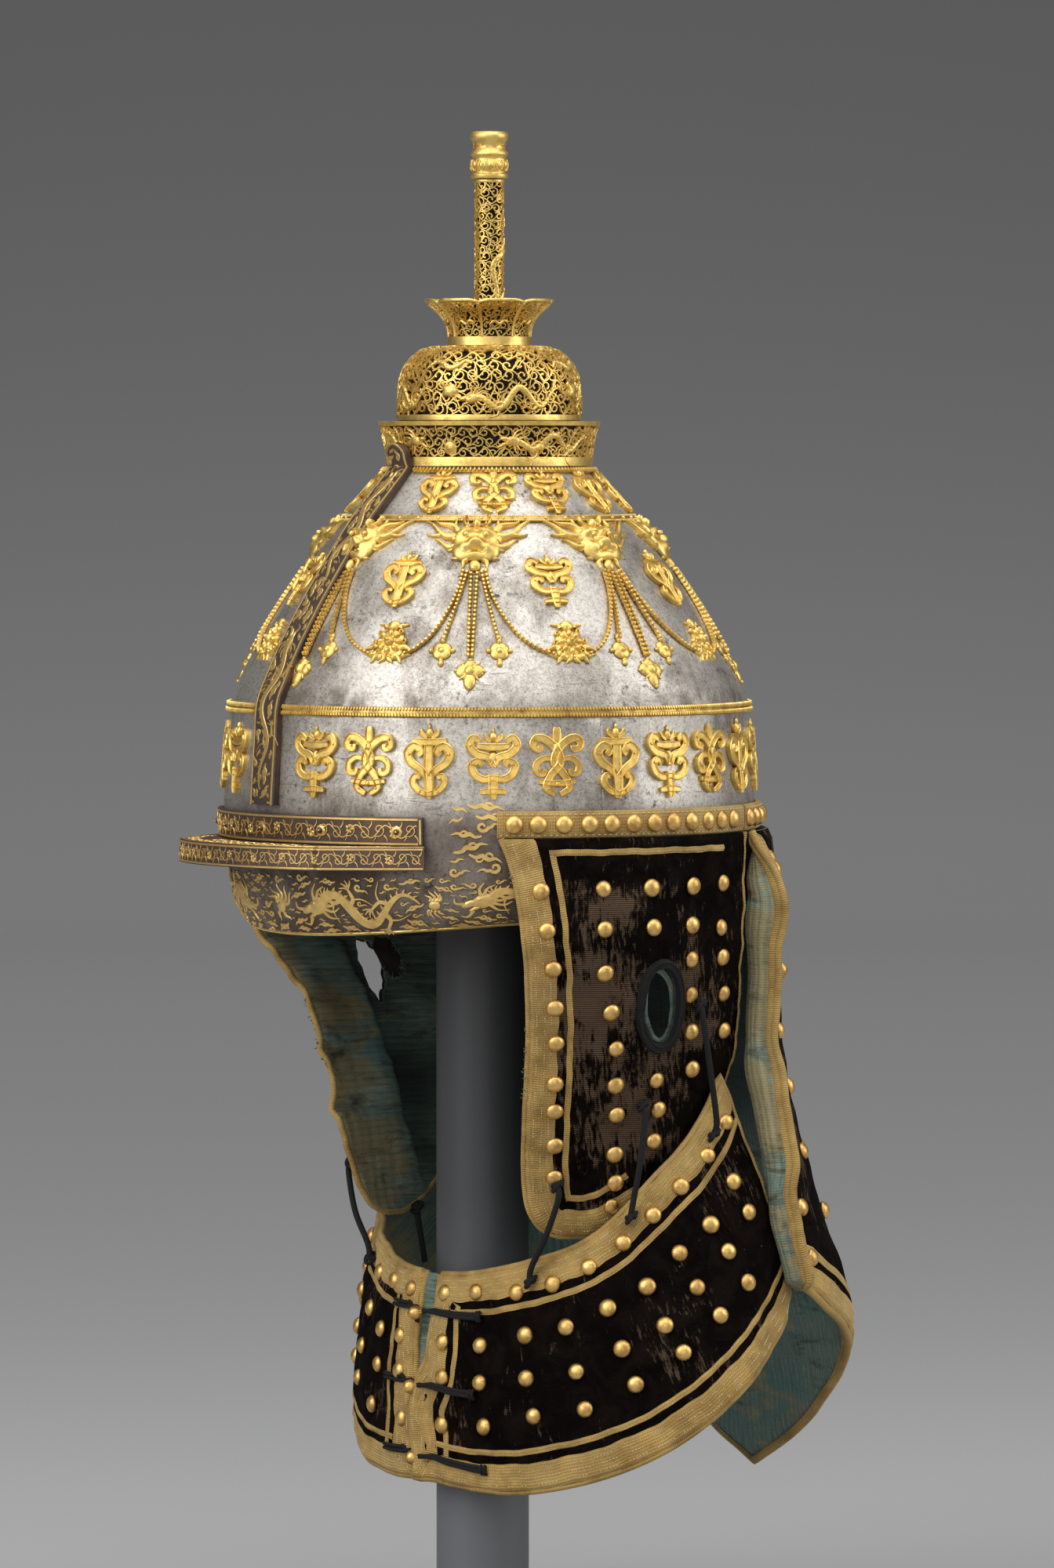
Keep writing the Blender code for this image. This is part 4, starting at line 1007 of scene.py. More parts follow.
def scrollMount(pile, place, kind, size):
    # three plain scroll ornaments of one family, about 2 units high, each symmetrical about its stem
    at = flatMap(place, scale=size)

    def band(route, width, bottom=0.25, top=0.25, height=1.9):
        route = np.asarray(route, float)
        widths = 1.38 * width * taper(len(route), max(bottom, 0.62), max(top, 0.62), 0.5)
        stroke(pile, at, route, widths, height * np.clip(widths / width, 0.5, 1.0), "band", "gilt", 0.1)

    def pin(x, y):
        boss(pile, at, (x, y), 0.05, 1.0, rings=2, sectors=8, base=1.0)

    def bud(x, y, scale=1.0):
        boss(pile, at, (x, y), (0.115 * scale, 0.15 * scale), 1.9, rings=4, sectors=12)
        boss(pile, at, (x, y + 0.17 * scale), (0.05 * scale, 0.11 * scale), 1.5, rings=3, sectors=8)
        for side in (-1, 1):
            leaf = np.array([(0.06 * side, -0.12), (0.20 * side, -0.02), (0.23 * side, 0.10)]) * scale + (x, y)
            band(through(leaf, 5), 0.10 * scale, 0.8, 0.3, 1.2)

    if kind == "bud":
        band(through([(0, -0.98), (0.02, -0.6), (-0.01, -0.2), (0, 0.42)], 3), 0.21, 0.4, 0.9)
        for side in (-1, 1):
            band(through([(side * 0.02, -0.42), (side * 0.22, -0.2), (side * 0.47, -0.02), (side * 0.56, 0.24),
                          (side * 0.38, 0.42), (side * 0.22, 0.28), (side * 0.31, 0.17)], 3), 0.19, 0.5, 0.5)
            band(through([(side * 0.0, -0.86), (side * 0.24, -0.78), (side * 0.42, -0.56), (side * 0.36, -0.38),
                          (side * 0.22, -0.42)], 3), 0.15, 0.5, 0.5)
            pin(side * 0.53, 0.2)
            pin(side * 0.24, -0.78)
        band([(-0.46, 0.56), (-0.2, 0.52), (0.2, 0.52), (0.46, 0.56)], 0.16, 0.7, 0.7)
        bud(0, 0.76)
    elif kind == "lyre":
        for side in (-1, 1):
            band(through([(side * 0.08, -0.92), (side * 0.34, -0.72), (side * 0.18, -0.36), (-side * 0.08, -0.06),
                          (side * 0.0, 0.30), (side * 0.32, 0.62), (side * 0.60, 0.66), (side * 0.68, 0.44),
                          (side * 0.50, 0.34), (side * 0.46, 0.47)], 3), 0.185, 0.6, 0.4)
            band(through([(side * 0.12, 0.06), (side * 0.38, 0.10), (side * 0.60, -0.06), (side * 0.58, -0.30),
                          (side * 0.40, -0.34), (side * 0.36, -0.2)], 3), 0.15, 0.5, 0.45)
            pin(side * 0.62, 0.62)
            pin(side * 0.26, -0.76)
        boss(pile, at, (0, 0.42), (0.12, 0.16), 2.0, rings=4, sectors=12)
        boss(pile, at, (0, -0.62), (0.09, 0.11), 1.8, rings=4, sectors=12)
        band(through([(0, 0.56), (0, 0.74), (0, 0.98)], 5), 0.19, 1.0, 0.15, 1.4)
        band([(-0.52, -0.56), (-0.2, -0.60), (0.2, -0.60), (0.52, -0.56)], 0.14, 0.7, 0.7)
    else:
        band(through([(0, -1.0), (0.0, -0.62), (0, -0.3)], 3), 0.19, 0.25, 1.0)
        for side in (-1, 1):
            band(through([(0, -0.42), (side * 0.26, -0.46), (side * 0.50, -0.32), (side * 0.56, -0.08),
                          (side * 0.38, 0.02), (side * 0.30, -0.12)], 3), 0.17, 0.6, 0.45)
            band(through([(0, -0.12), (side * 0.14, 0.12), (side * 0.42, 0.20), (side * 0.62, 0.42),
                          (side * 0.52, 0.64), (side * 0.34, 0.54)], 3), 0.18, 0.7, 0.4)
            pin(side * 0.52, -0.06)
            pin(side * 0.60, 0.44)
        boss(pile, at, (0, 0.10), (0.16, 0.20), 2.0, rings=4, sectors=12)
        band([(-0.42, 0.42), (-0.15, 0.39), (0.15, 0.39), (0.42, 0.42)], 0.16, 0.7, 0.7)
        band([(-0.34, -0.80), (-0.1, -0.77), (0.1, -0.77), (0.34, -0.80)], 0.14, 0.7, 0.7)
        bud(0, 0.66, 0.95)


scrollRows = {
    # first angle, step, how many (on each side, for the lower and top rows), height of the middle,
    # half height, kinds in turn and a kind's share of that size
    "lower": {"first": 15.4, "step": 13.6, "count": 12, "height": 72.4, "size": 15.2,
              "kinds": ("fork", "lyre", "bud"), "lyre": 0.94},
    "middle": {"first": 29.0, "step": 45.0, "count": 8, "height": 145.0, "size": 13.8,
               "kinds": ("bud", "fork")},
    "top": {"first": 31.0, "step": 26.4, "count": 6, "height": 180.4, "size": 12.4,
            "kinds": ("bud", "lyre", "fork")},
}


def mountRow(pile, row, side=1):
    # one row of ornaments, or one side of it; a kind may have a size of its own
    kinds = row["kinds"]
    for k in range(row["count"]):
        place = bowlSurface.patch(side * (row["first"] + row["step"] * k), row["height"])
        kind = kinds[k % len(kinds)]
        scrollMount(pile, place, kind, row["size"] * row.get(kind, 1.0))


def makeScrollMounts():
    for side, name in sideNames.items():
        pile = Pile()
        mountRow(pile, scrollRows["lower"], side)
        pile.make("lowerScrollMounts" + name.capitalize(), "gilt")
    pile = Pile()
    mountRow(pile, scrollRows["middle"])
    pile.make("middleScrollMounts", "gilt")
    pile = Pile()
    for side in sideNames:
        mountRow(pile, scrollRows["top"], side)
    pile.make("topScrollMounts", "gilt")
    print("scroll mounts made")


# masks, pendants and swags

masks = {"count": 8, "first": 5.9, "step": 45.0, "height": 159.4,
         "medallionAngle": 24.5, "medallionHeight": 119.4, "dropHeight": 108.6, "sideDropHeight": 116.6,
         "swagTop": 148.0, "swagFoot": 114.6,
         "strings": [                # angle beside the mask's at the top, at the foot; height of foot and top
             (-0.9, -0.45, 114.6, 147.0), (0.9, 0.45, 114.6, 147.0),
             (-2.2, -6.6, 121.5, 147.6), (2.2, 6.6, 121.5, 147.6)]}
# locks of the mane and leaves of the medallion: root, tip, bend, width, height
maneLocks = [
    ((4.2, 7.0), (3.2, 11.6), 0.10, 2.6, 2.6), ((6.6, 6.0), (9.6, 11.4), -0.20, 3.4, 3.0),
    ((7.4, 4.6), (16.4, 12.0), 0.16, 3.8, 3.0), ((8.2, 3.2), (22.0, 10.2), -0.13, 3.8, 2.7),
    ((8.4, 1.0), (20.4, 5.6), 0.15, 3.4, 2.5), ((8.0, -1.4), (17.4, 0.8), -0.16, 3.0, 2.3),
    ((7.2, -3.8), (11.8, -3.2), 0.15, 2.4, 2.0), ((5.8, -6.2), (9.6, -8.4), -0.2, 2.4, 2.0),
    ((3.2, -8.2), (5.8, -12.2), 0.18, 2.6, 2.0),
]
medallionLeaves = [
    ((3.0, 6.8), (6.4, 9.2), 0.2, 2.0, 1.7), ((5.0, -2.6), (10.4, -2.0), 0.18, 3.2, 1.9),
    ((5.0, -4.4), (10.2, -5.8), -0.16, 3.4, 1.9), ((3.4, -5.6), (7.2, -8.6), 0.16, 3.2, 1.8),
    ((1.2, -5.8), (2.6, -9.2), -0.18, 2.8, 1.6),
]


def flame(pile, at, root, tip, bend, width, height, finish="gilt", base=0.1):
    # one flickering lock from root to tip
    root, tip = np.array(root, float), np.array(tip, float)
    along = tip - root
    side = np.array([-along[1], along[0]])
    share = np.linspace(0.0, 1.0, 9)
    sway = bend * np.sin(share * math.pi * 1.6) * (1 - 0.35 * share)
    route = root + along * share[:, None] + side * sway[:, None]
    widths = width * (1.0 - share) ** 0.75 + 0.12 * width
    stroke(pile, at, route, widths, height * (0.45 + 0.55 * (1 - share)), "half", finish, base)


def makeMask(pile, place):
    # a horned lion mask, full face, with brows, round eyes, snout, toothed jaw and a flaring mane
    def edge(turn):
        return 1.0 + 0.10 * np.cos(2 * turn) - 0.10 * np.cos(4 * turn) - 0.05 * np.sin(turn)

    def relief(share, turn):
        x, y = share * np.cos(turn), share * np.sin(turn)
        high = np.sqrt(np.clip(1.05 - share ** 2, 0, 1)) * 0.82
        for side in (-1, 1):
            high = high + 0.40 * np.exp(-((x - side * 0.40) ** 2 / 0.030 + (y - 0.18) ** 2 / 0.026))
            high = high - 0.42 * np.exp(-((x - side * 0.40) ** 2 / 0.090 + (y - 0.14) ** 2 / 0.070))
            high = high + 0.36 * np.exp(-((x - side * 0.42) ** 2 / 0.11 + (y - 0.52 + 0.3 * abs(x)) ** 2 / 0.012))
            high = high + 0.22 * np.exp(-((x - side * 0.44) ** 2 / 0.035 + (y + 0.34) ** 2 / 0.030))
            high = high + 0.20 * np.exp(-((x - side * 0.17) ** 2 / 0.012 + (y + 0.14) ** 2 / 0.012))
        high = high + 0.34 * np.exp(-(x ** 2 / 0.028 + (y + 0.06) ** 2 / 0.050))
        high = high - 0.60 * np.exp(-(x ** 2 / 0.16 + (y + 0.50) ** 2 / 0.014))
        teeth = np.exp(-((y + 0.50) ** 2 / 0.006)) * (0.5 + 0.5 * np.cos(x * 30.0)) * (abs(x) < 0.5)
        return high + 0.24 * teeth

    boss(pile, place, (0.0, 0.0), (9.6, 10.0), 5.2, rings=20, sectors=44, edge=edge, relief=relief, base=0.2)
    for side in (-1, 1):
        at = flatMap(place, flip=side)
        boss(pile, at, (3.85, 1.9), 1.25, 1.1, rings=3, sectors=10, base=4.7)
        for lock in maneLocks:
            flame(pile, at, *lock)
        horn = through([(2.4, 7.6), (4.6, 9.4), (5.2, 12.0), (3.8, 13.0)], 5)
        stroke(pile, at, horn, 1.5 * taper(len(horn), 0.9, 0.2), 2.2, base=0.6)
        curl = spiral((5.2, -7.2), 1.9, 0.5, 120, -1.3, 16)
        stroke(pile, at, curl, 1.0, 1.8, base=0.2)
    boss(pile, place, (0.0, -11.0), (2.6, 3.0), 2.2, rings=4, sectors=12, base=0.1)
    boss(pile, place, (0.0, 8.8), (2.0, 2.6), 3.2, rings=4, sectors=12, base=1.0)


def makePendant(pile, place, large):
    # a star-shaped drop: a boss, four lobes and a longer tip below
    if large:
        for turn, reach, half in ((90, 4.0, 2.3), (0, 4.6, 2.5), (180, 4.6, 2.5), (270, 6.4, 2.2)):
            at = flatMap(place, turn=turn)
            boss(pile, at, (reach * 0.52, 0.0), (reach * 0.56, half), 1.5, rings=4, sectors=12)
            boss(pile, at, (reach * 0.98, 0.0), 0.85, 1.5, rings=3, sectors=8)
        for turn in (45, 135, 225, 315):
            at = flatMap(place, turn=turn)
            flame(pile, at, (1.6, 0.0), (4.6, 0.0), 0.10, 1.7, 1.3)
        boss(pile, place, (0.0, 0.0), 2.2, 2.4, rings=4, sectors=14)
    else:
        def edge(turn):
            return 0.80 + 0.20 * np.abs(np.cos(2 * turn)) ** 0.5

        at = flatMap(place, turn=45.0)
        boss(pile, at, (0.0, 0.0), 3.4, 1.5, rings=5, sectors=24, edge=edge)
        for turn in (45, 135, 225, 315):
            corner = flatMap(place, turn=turn - 45.0)
            boss(pile, corner, (3.5, 0.0), 0.9, 1.4, rings=3, sectors=8)
        boss(pile, place, (0.0, 0.0), 1.5, 2.2, rings=4, sectors=12)
        boss(pile, place, (0.0, 4.6), (1.0, 1.4), 1.4, rings=3, sectors=8)
        boss(pile, place, (0.0, -4.4), (1.0, 1.3), 1.4, rings=3, sectors=8)


def makeMedallion(pile, place):
    # rosette boss in a ring of petals, a rounded top, leafy wings at the foot
    boss(pile, place, (0.0, 0.4), 6.4, 1.6, rings=5, sectors=28,
         edge=lambda turn: 0.93 + 0.07 * np.abs(np.cos(4 * turn)))
    for turn in range(0, 360, 45):
        at = flatMap(place, 0.0, 0.4, turn)
        boss(pile, at, (3.9, 0.0), (1.7, 1.25), 1.5, rings=3, sectors=10, base=1.1)
        curl = spiral((6.2, 0.6), 1.3, 0.4, 200, 1.1, 9)
        stroke(pile, at, curl, 0.95, 1.5, base=0.3)
    boss(pile, place, (0.0, 0.4), 2.3, 2.3, rings=4, sectors=14, base=1.2)
    boss(pile, place, (0.0, 0.4), 1.0, 1.3, rings=3, sectors=10, base=3.2)
    boss(pile, place, (0.0, 8.2), (2.9, 2.6), 1.9, rings=4, sectors=14)
    for side in (-1, 1):
        at = flatMap(place, flip=side)
        for leaf in medallionLeaves:
            flame(pile, at, *leaf)
        boss(pile, at, (3.4, -6.0), (2.4, 1.8), 1.4, rings=3, sectors=12)


def swagRoute(start, end, drop):
    # from the mask's foot down and across to the medallion, in degrees and heights
    share = np.linspace(0.0, 1.0, 22)
    angle = start[0] + (end[0] - start[0]) * share
    level = start[1] + (end[1] - start[1]) * share ** 0.62 - drop * np.sin(share * math.pi) * 0.5
    return angle, level


def makeMaskRow():
    strings, stringPile = [], Pile()
    beside = masks["medallionAngle"] - 3.6, masks["step"] - masks["medallionAngle"] - 3.6
    for k in range(masks["count"]):
        angle = masks["first"] + masks["step"] * k
        mask = Pile()
        makeMask(mask, bowlSurface.patch(angle, masks["height"]))
        mask.make("mask%d" % (k + 1), "gilt", ["mask_%d" % (k + 1)], sharp=50)
        medallion = Pile()
        place = bowlSurface.patch(angle + masks["medallionAngle"], masks["medallionHeight"])
        makeMedallion(medallion, place)
        medallion.make("medallion%d" % (k + 1), "gilt", ["medallion_%d" % (k + 1)], sharp=50)
        routes = []
        for first, last, foot, high in masks["strings"]:
            share = np.linspace(0.0, 1.0, 16)
            routes.append((angle + first + (last - first) * share, high + (foot - high) * share))
        for side, reach in zip((1, -1), beside):
            routes.append(swagRoute((angle + side * 3.4, masks["swagTop"]),
                                    (angle + side * reach, masks["swagFoot"]), 8.0))
        for turn, level in routes:
            run = np.interp(-level, -bowlSurface.height, bowlSurface.run)
            line = bowlSurface.place(turn, run, 0.75)
            outs = (bowlSurface.place(turn, run, 1.75) - line) / mm
            tube(stringPile, line, 0.62 * mm, "string", sides=6)
            strings.append((line, outs, None, 1.78))
        place = flatMap(bowlSurface.patch(angle, masks["dropHeight"]), scale=1.22)
        makePendant(stringPile, place, True)
        for offset in (-6.9, 6.9):
            place = flatMap(bowlSurface.patch(angle + offset, masks["sideDropHeight"]), scale=1.28)
            makePendant(stringPile, place, False)
    addMesh(stringPile, sow("stringBeads", shapes["ropeBead"], "string", strings, spacing=1.98 * mm), "gilt")
    stringPile.make("swagsAndPendants", "gilt", sharp=60)
    print("masks and swags made")


# openwork, dragons and damascened scrolls

def scrollField(pile, place, span, low, high, pitch, width, height, seed, base=0.0, around=None):
    # curling tendrils in staggered rows over a band; span is its length, around closes the band
    chance = random.Random(seed)
    rows = max(1, round((high - low) / (0.86 * pitch)))
    step = (high - low) / rows
    for row in range(rows):
        y = low + step * (row + 0.5)
        reach = around(y) if around else span
        count = max(3, round(reach / pitch))
        spots = []
        for k in range(count):
            x = reach * (k + 0.5 * (row % 2) + chance.uniform(-0.12, 0.12)) / count
            spots.append((x, y + chance.uniform(-0.1, 0.1) * step))
        scale = (span / reach) if around else 1.0
        for k, (x, y) in enumerate(spots):
            hand = 1 if (k + row) % 2 else -1
            start = chance.uniform(0, 360)
            outer = 0.56 * pitch * chance.uniform(0.9, 1.08)
            curl = spiral((x, y), outer, 0.16 * pitch, start, hand * chance.uniform(1.0, 1.2), 10)
            tail = curl[0] + (curl[0] - curl[2]) * 1.3
            route = np.vstack([[tail], curl])
            widths = width * np.concatenate([[0.5], np.linspace(0.95, 1.0, len(curl) - 2), [1.35, 1.5]])
            local = route * np.array([scale, 1.0])
            stroke(pile, place, local, widths, height, "wire", "gilt", base)
            nextX, nextY = spots[(k + 1) % count]
            if nextX < x:
                nextX += reach
            lift = hand * 0.22 * pitch
            link = through([(x - 0.1 * pitch, y + hand * 0.5 * pitch), ((x + nextX) / 2, y + lift),
                            (nextX + 0.1 * pitch, nextY - hand * 0.5 * pitch)], 3)
            stroke(pile, place, link * np.array([scale, 1.0]), width * 0.9, height * 0.9, "wire", "gilt", base)


class Room:
    # a flat region that remembers where strokes were laid, so that small shapes can fill what is left
    cell = 0.35

    def __init__(self, base, low, high):
        self.base, self.low = base, np.array(low, float)
        self.used = np.zeros(tuple(np.ceil((np.array(high) - self.low) / self.cell).astype(int)), bool)

    def place(self, x, y, lift):
        flat = np.stack([v.ravel() for v in np.broadcast_arrays(np.asarray(x, float), np.asarray(y, float))], 1)
        self.mark(flat, 0.55)
        return self.base(x, y, lift)

    def indexes(self, flat):
        return np.floor((flat - self.low) / self.cell).astype(int)

    def mark(self, flat, reach):
        steps = int(math.ceil(reach / self.cell))
        for dx in range(-steps, steps + 1):
            for dy in range(-steps, steps + 1):
                if dx * dx + dy * dy <= steps * steps:
                    at = self.indexes(flat) + (dx, dy)
                    at = at[((at >= 0) & (at < self.used.shape)).all(1)]
                    self.used[at[:, 0], at[:, 1]] = True

    def free(self, flat):
        at = self.indexes(flat)
        if not ((at >= 0) & (at < self.used.shape)).all():
            return False
        return not self.used[at[:, 0], at[:, 1]].any()


def wisps():
    # small cloud and flame shapes, about 3 units across, as routes with their widths
    drift = through([(-1.75, -0.28), (-1.0, 0.10), (-0.35, -0.12), (0.35, 0.22), (1.0, -0.02), (1.75, 0.24)], 3)
    over = through([(-0.75, 0.0), (-0.62, 0.48), (-0.18, 0.58), (0.02, 0.26)], 3)
    under = through([(0.15, 0.05), (0.42, -0.42), (0.86, -0.40), (0.88, -0.08)], 3)
    curled = spiral((0.5, 0.0), 0.60, 0.20, -150, 1.0, 12)
    tail = through([(-1.4, -0.36), (-0.75, -0.10), (-0.25, -0.40)], 4)
    lick = through([(-1.1, -0.24), (-0.35, 0.16), (0.3, -0.12), (1.1, 0.22)], 4)
    return [
        [(drift, 0.62), (over, 0.36), (under, 0.32)],
        [(drift, 0.60), (under * (1, -1) - (0.9, 0.0), 0.34)],
        [(np.vstack([tail[:-1], curled]), 0.46)],
        [(lick, 0.52)],
    ]


def fillRoom(pile, room, region, tries, sizes, seed, lift, height, gap, steep=25.0, heavy=1.0):
    # wisps scattered wherever they fit inside a region, a rule of (x, y)
    chance = random.Random(seed)
    kinds = wisps()
    span = np.array(room.used.shape) * room.cell
    for attempt in range(tries):
        x = room.low[0] + chance.random() * span[0]
        y = room.low[1] + chance.random() * span[1]
        share = attempt / tries
        size = sizes[0] + (sizes[1] - sizes[0]) * share
        turn, flip = math.radians(chance.uniform(-steep, steep)), chance.choice((-1, 1))
        kind = kinds[chance.choice((0, 0, 1, 1, 2)) if share < 0.5 else chance.choice((2, 3, 3))]
        laid = []
        for route, width in kind:
            local = route * (size * flip, size)
            across, up = local.T
            line = np.stack([x + across * math.cos(turn) - up * math.sin(turn),
                             y + across * math.sin(turn) + up * math.cos(turn)], 1)
            laid.append((line, width * size * heavy))
        flat = np.concatenate([line for line, width in laid])
        if not region(flat).all() or not room.free(flat):
            continue
        for line, width in laid:
            widths = width * taper(len(line), 0.12, 0.35)
            stroke(pile, room.base, line, widths, height, "inlay", "inlay", lift)
            room.mark(line, 0.5 * width + gap)


def scaledBody(pile, place, route, widths, height, finish="gilt", base=0.0, scale=1.9):
    # a rounded body with rows of overlapping scales
    step = 0.6
    route = resample(route, step)
    total = len(route)
    widths = np.interp(np.linspace(0, 1, total), np.linspace(0, 1, len(widths)), widths)
    normal = headings(route)[1]
    share = np.linspace(-1.0, 1.0, 11)[None, :]
    length = np.arange(total)[:, None] * step
    pattern = np.cos(2 * math.pi * length / scale) * np.cos(math.pi * share * widths[:, None] / scale * 1.1)
    lift = height * np.sqrt(np.clip(1.0 - share ** 2, 0, 1)) * (0.5 + 0.5 * widths[:, None] / widths.max())
    lift = lift * (1.0 + 0.24 * pattern) + base
    x = route[:, :1] + normal[:, :1] * share * widths[:, None] * 0.5
    y = route[:, 1:] + normal[:, 1:] * share * widths[:, None] * 0.5
    top = place(x, y, lift)
    low = place(x[:, ::-1], y[:, ::-1], base - 0.15 + 0.0 * x)
    points = np.concatenate([top, low], 1)
    # how low each point lies on the body; the gilt finishes paint it darker as dirt and painted shade
    depth = np.concatenate([0.9 - 0.9 * np.clip((lift - base) / (0.35 * height), 0, 1), np.ones_like(lift)], 1)
    pile.add(points, barFaces(total, points.shape[1], finish), depth=depth)


def dragonRoute(length, sway, waves):
    # a body that winds from its tail at the start to its neck at the end
    share = np.linspace(0.0, 1.0, 46)
    grow = 0.35 + 0.65 * np.sin(share * math.pi) ** 0.6
    return np.stack([length * share, sway * grow * np.sin(share * waves * 2 * math.pi + 0.6)], 1)


def dragon(pile, place, length, sway, thick, waves=1.5, finish="gilt", height=1.2, base=0.0, fine=True):
    # scaly winding body, four clawed legs, maned and horned head at the far end of its length
    section = "half" if fine else "inlay"
    body = dragonRoute(length * 0.80, sway, waves)
    share = np.linspace(0.0, 1.0, len(body))
    widths = thick * (0.16 + 0.84 * np.sin(np.clip(share * 1.12, 0, 1) * math.pi * 0.62) ** 0.9)
    if fine:
        scaledBody(pile, place, body, widths, height, finish, base)
    else:
        stroke(pile, place, body, widths, height, section, finish, base)
    along, normal = headings(body)
    for spot, side in ((0.30, 1), (0.36, -1), (0.72, 1), (0.78, -1)):
        k = int(spot * (len(body) - 1))
        root, out, on = body[k], normal[k] * side, along[k]
        knee = root + out * thick * 0.85 + on * thick * 0.35
        foot = knee + out * thick * 0.20 + on * thick * 1.05
        leg = through([root, knee, foot], 4)
        stroke(pile, place, leg, thick * np.linspace(0.62, 0.30, len(leg)), height * 0.9, section, finish, base)
        for fan in (-0.9, -0.3, 0.3, 0.9):
            tip = foot + (on * math.cos(fan) + out * math.sin(fan)) * thick * 0.85
            claw = through([foot, (foot + tip) / 2 + out * thick * 0.10, tip], 3)
            clawWidths = thick * np.linspace(0.30, 0.12, len(claw))
            stroke(pile, place, claw, clawWidths, height * 0.7, section, finish, base)
        wisp = through([knee, knee + out * thick * 0.7 - on * thick * 0.5,
                        knee + out * thick * 1.2 - on * 1.6 * thick], 4)
        stroke(pile, place, wisp, thick * np.linspace(0.26, 0.06, len(wisp)), height * 0.6, section, finish, base)
    neck, ahead = body[-1], along[-1]
    turn = math.degrees(math.atan2(ahead[1], ahead[0]))
    head = flatMap(place, neck[0], neck[1], turn * 0.5, thick * 1.22)
    boss(pile, head, (0.55, 0.0), (0.95, 0.62), height * 1.25, finish, rings=4, sectors=14, base=base)
    boss(pile, head, (1.55, 0.22), (0.62, 0.30), height * 1.2, finish, rings=3, sectors=10, base=base)
    boss(pile, head, (1.40, -0.36), (0.50, 0.17), height * 1.0, finish, rings=3, sectors=8, base=base)
    boss(pile, head, (0.75, 0.30), 0.16, height * 0.5, finish, rings=2, sectors=8, base=base + height * 1.1)
    lines = [
        [(0.35, 0.45), (-0.10, 0.95), (-0.75, 1.05)],
        [(0.55, 0.50), (0.35, 1.15), (-0.20, 1.55)],
        [(0.10, -0.45), (-0.45, -0.95), (-1.10, -0.90)],
        [(0.35, -0.50), (0.10, -1.20), (-0.55, -1.60)],
        [(1.85, 0.35), (2.35, 0.75), (2.20, 1.20)],
        [(1.60, -0.45), (2.20, -0.80), (2.60, -0.45)],
        [(-0.05, 0.30), (-0.75, 0.60), (-1.35, 0.35)],
        [(-0.05, -0.25), (-0.70, -0.50), (-1.30, -0.25)],
    ]
    for line in lines:
        lock = through(line, 4)
        stroke(pile, head, lock, np.linspace(0.36, 0.08, len(lock)), height * 0.75, section, finish, base)
    spikeWidths = thick * np.array([0.28, 0.18, 0.05])
    for k in range(3, len(body) - 4, 2):
        root = body[k] + normal[k] * widths[k] * 0.42
        tip = root + (normal[k] * 0.55 - along[k] * 0.35) * thick * 0.6
        stroke(pile, place, [root, (root + tip) / 2, tip], spikeWidths, height * 0.8, section, finish, base)


def vine(pile, place, length, high, pitch, width, finish="inlay", height=0.22, base=0.0, flower=True):
    # a running scroll with a curl, a leaf and a bud in every lobe
    count = max(2, round(length / pitch))
    step = length / count
    share = np.linspace(0.0, count * math.pi, count * 10 + 1)
    stem = np.stack([share / math.pi * step, 0.30 * high * np.cos(share)], 1)
    stroke(pile, place, stem, width, height, "inlay", finish, base)
    for k in range(count):
        side = 1 if k % 2 else -1
        x = step * (k + 0.5)
        middle = (x + 0.04 * step, side * 0.10 * high)
        curl = spiral(middle, 0.36 * high, 0.07 * high, 180 + side * 60, side * 1.15, 14)
        widths = width * np.linspace(0.8, 1.0, len(curl))
        widths[-2:] *= 1.7
        stroke(pile, place, curl, widths, height, "inlay", finish, base)
        for fan, reach in ((0.9, 0.34), (-0.5, 0.30)):
            root = np.array([x + fan * 0.42 * step, -side * 0.16 * high])
            tip = root + np.array([fan * 0.22 * step, -side * reach * high])
            leaf = through([root, (root + tip) / 2 + np.array([0.08 * step, 0.0]), tip], 3)
            stroke(pile, place, leaf, width * np.linspace(1.5, 0.35, len(leaf)), height, "inlay", finish, base)
        if flower and k % 3 == 1:
            for turn in range(0, 360, 72):
                at = flatMap(place, x, side * 0.10 * high, turn)
                boss(pile, at, (0.15 * high, 0.0), (0.10 * high, 0.065 * high), height * 1.3, finish, rings=2,
                     sectors=8, base=base)


# finial

finialRows = {
    "collar": [(209.4, 45.3), (207.2, 44.8), (202.0, 43.3), (195.4, 42.5), (191.2, 42.4)],
    "dome": [(240.5, 15.2), (240.3, 23.0), (238.9, 28.4), (236.2, 31.9), (232.4, 35.0), (228.5, 36.7),
             (224.0, 37.3), (213.2, 37.3), (209.9, 37.3)],
    "cup": [(259.6, 26.0), (257.6, 23.9), (255.2, 21.2), (251.6, 18.2), (248.6, 17.0), (245.4, 16.5),
            (242.4, 16.4)],
    "tube": [(309.4, 5.7), (242.6, 5.7)],
}


def bandMap(surface, level):
    # a closed band: x runs round the surface in millimetres at one level, y up the profile;
    # with it the band's length, and its length at another y
    run = surface.runAt(level)

    def around(y):
        return 2 * math.pi * float(surface.radiusAt(run - y))
    return surface.hoop(0.0, level), around(0.0), around


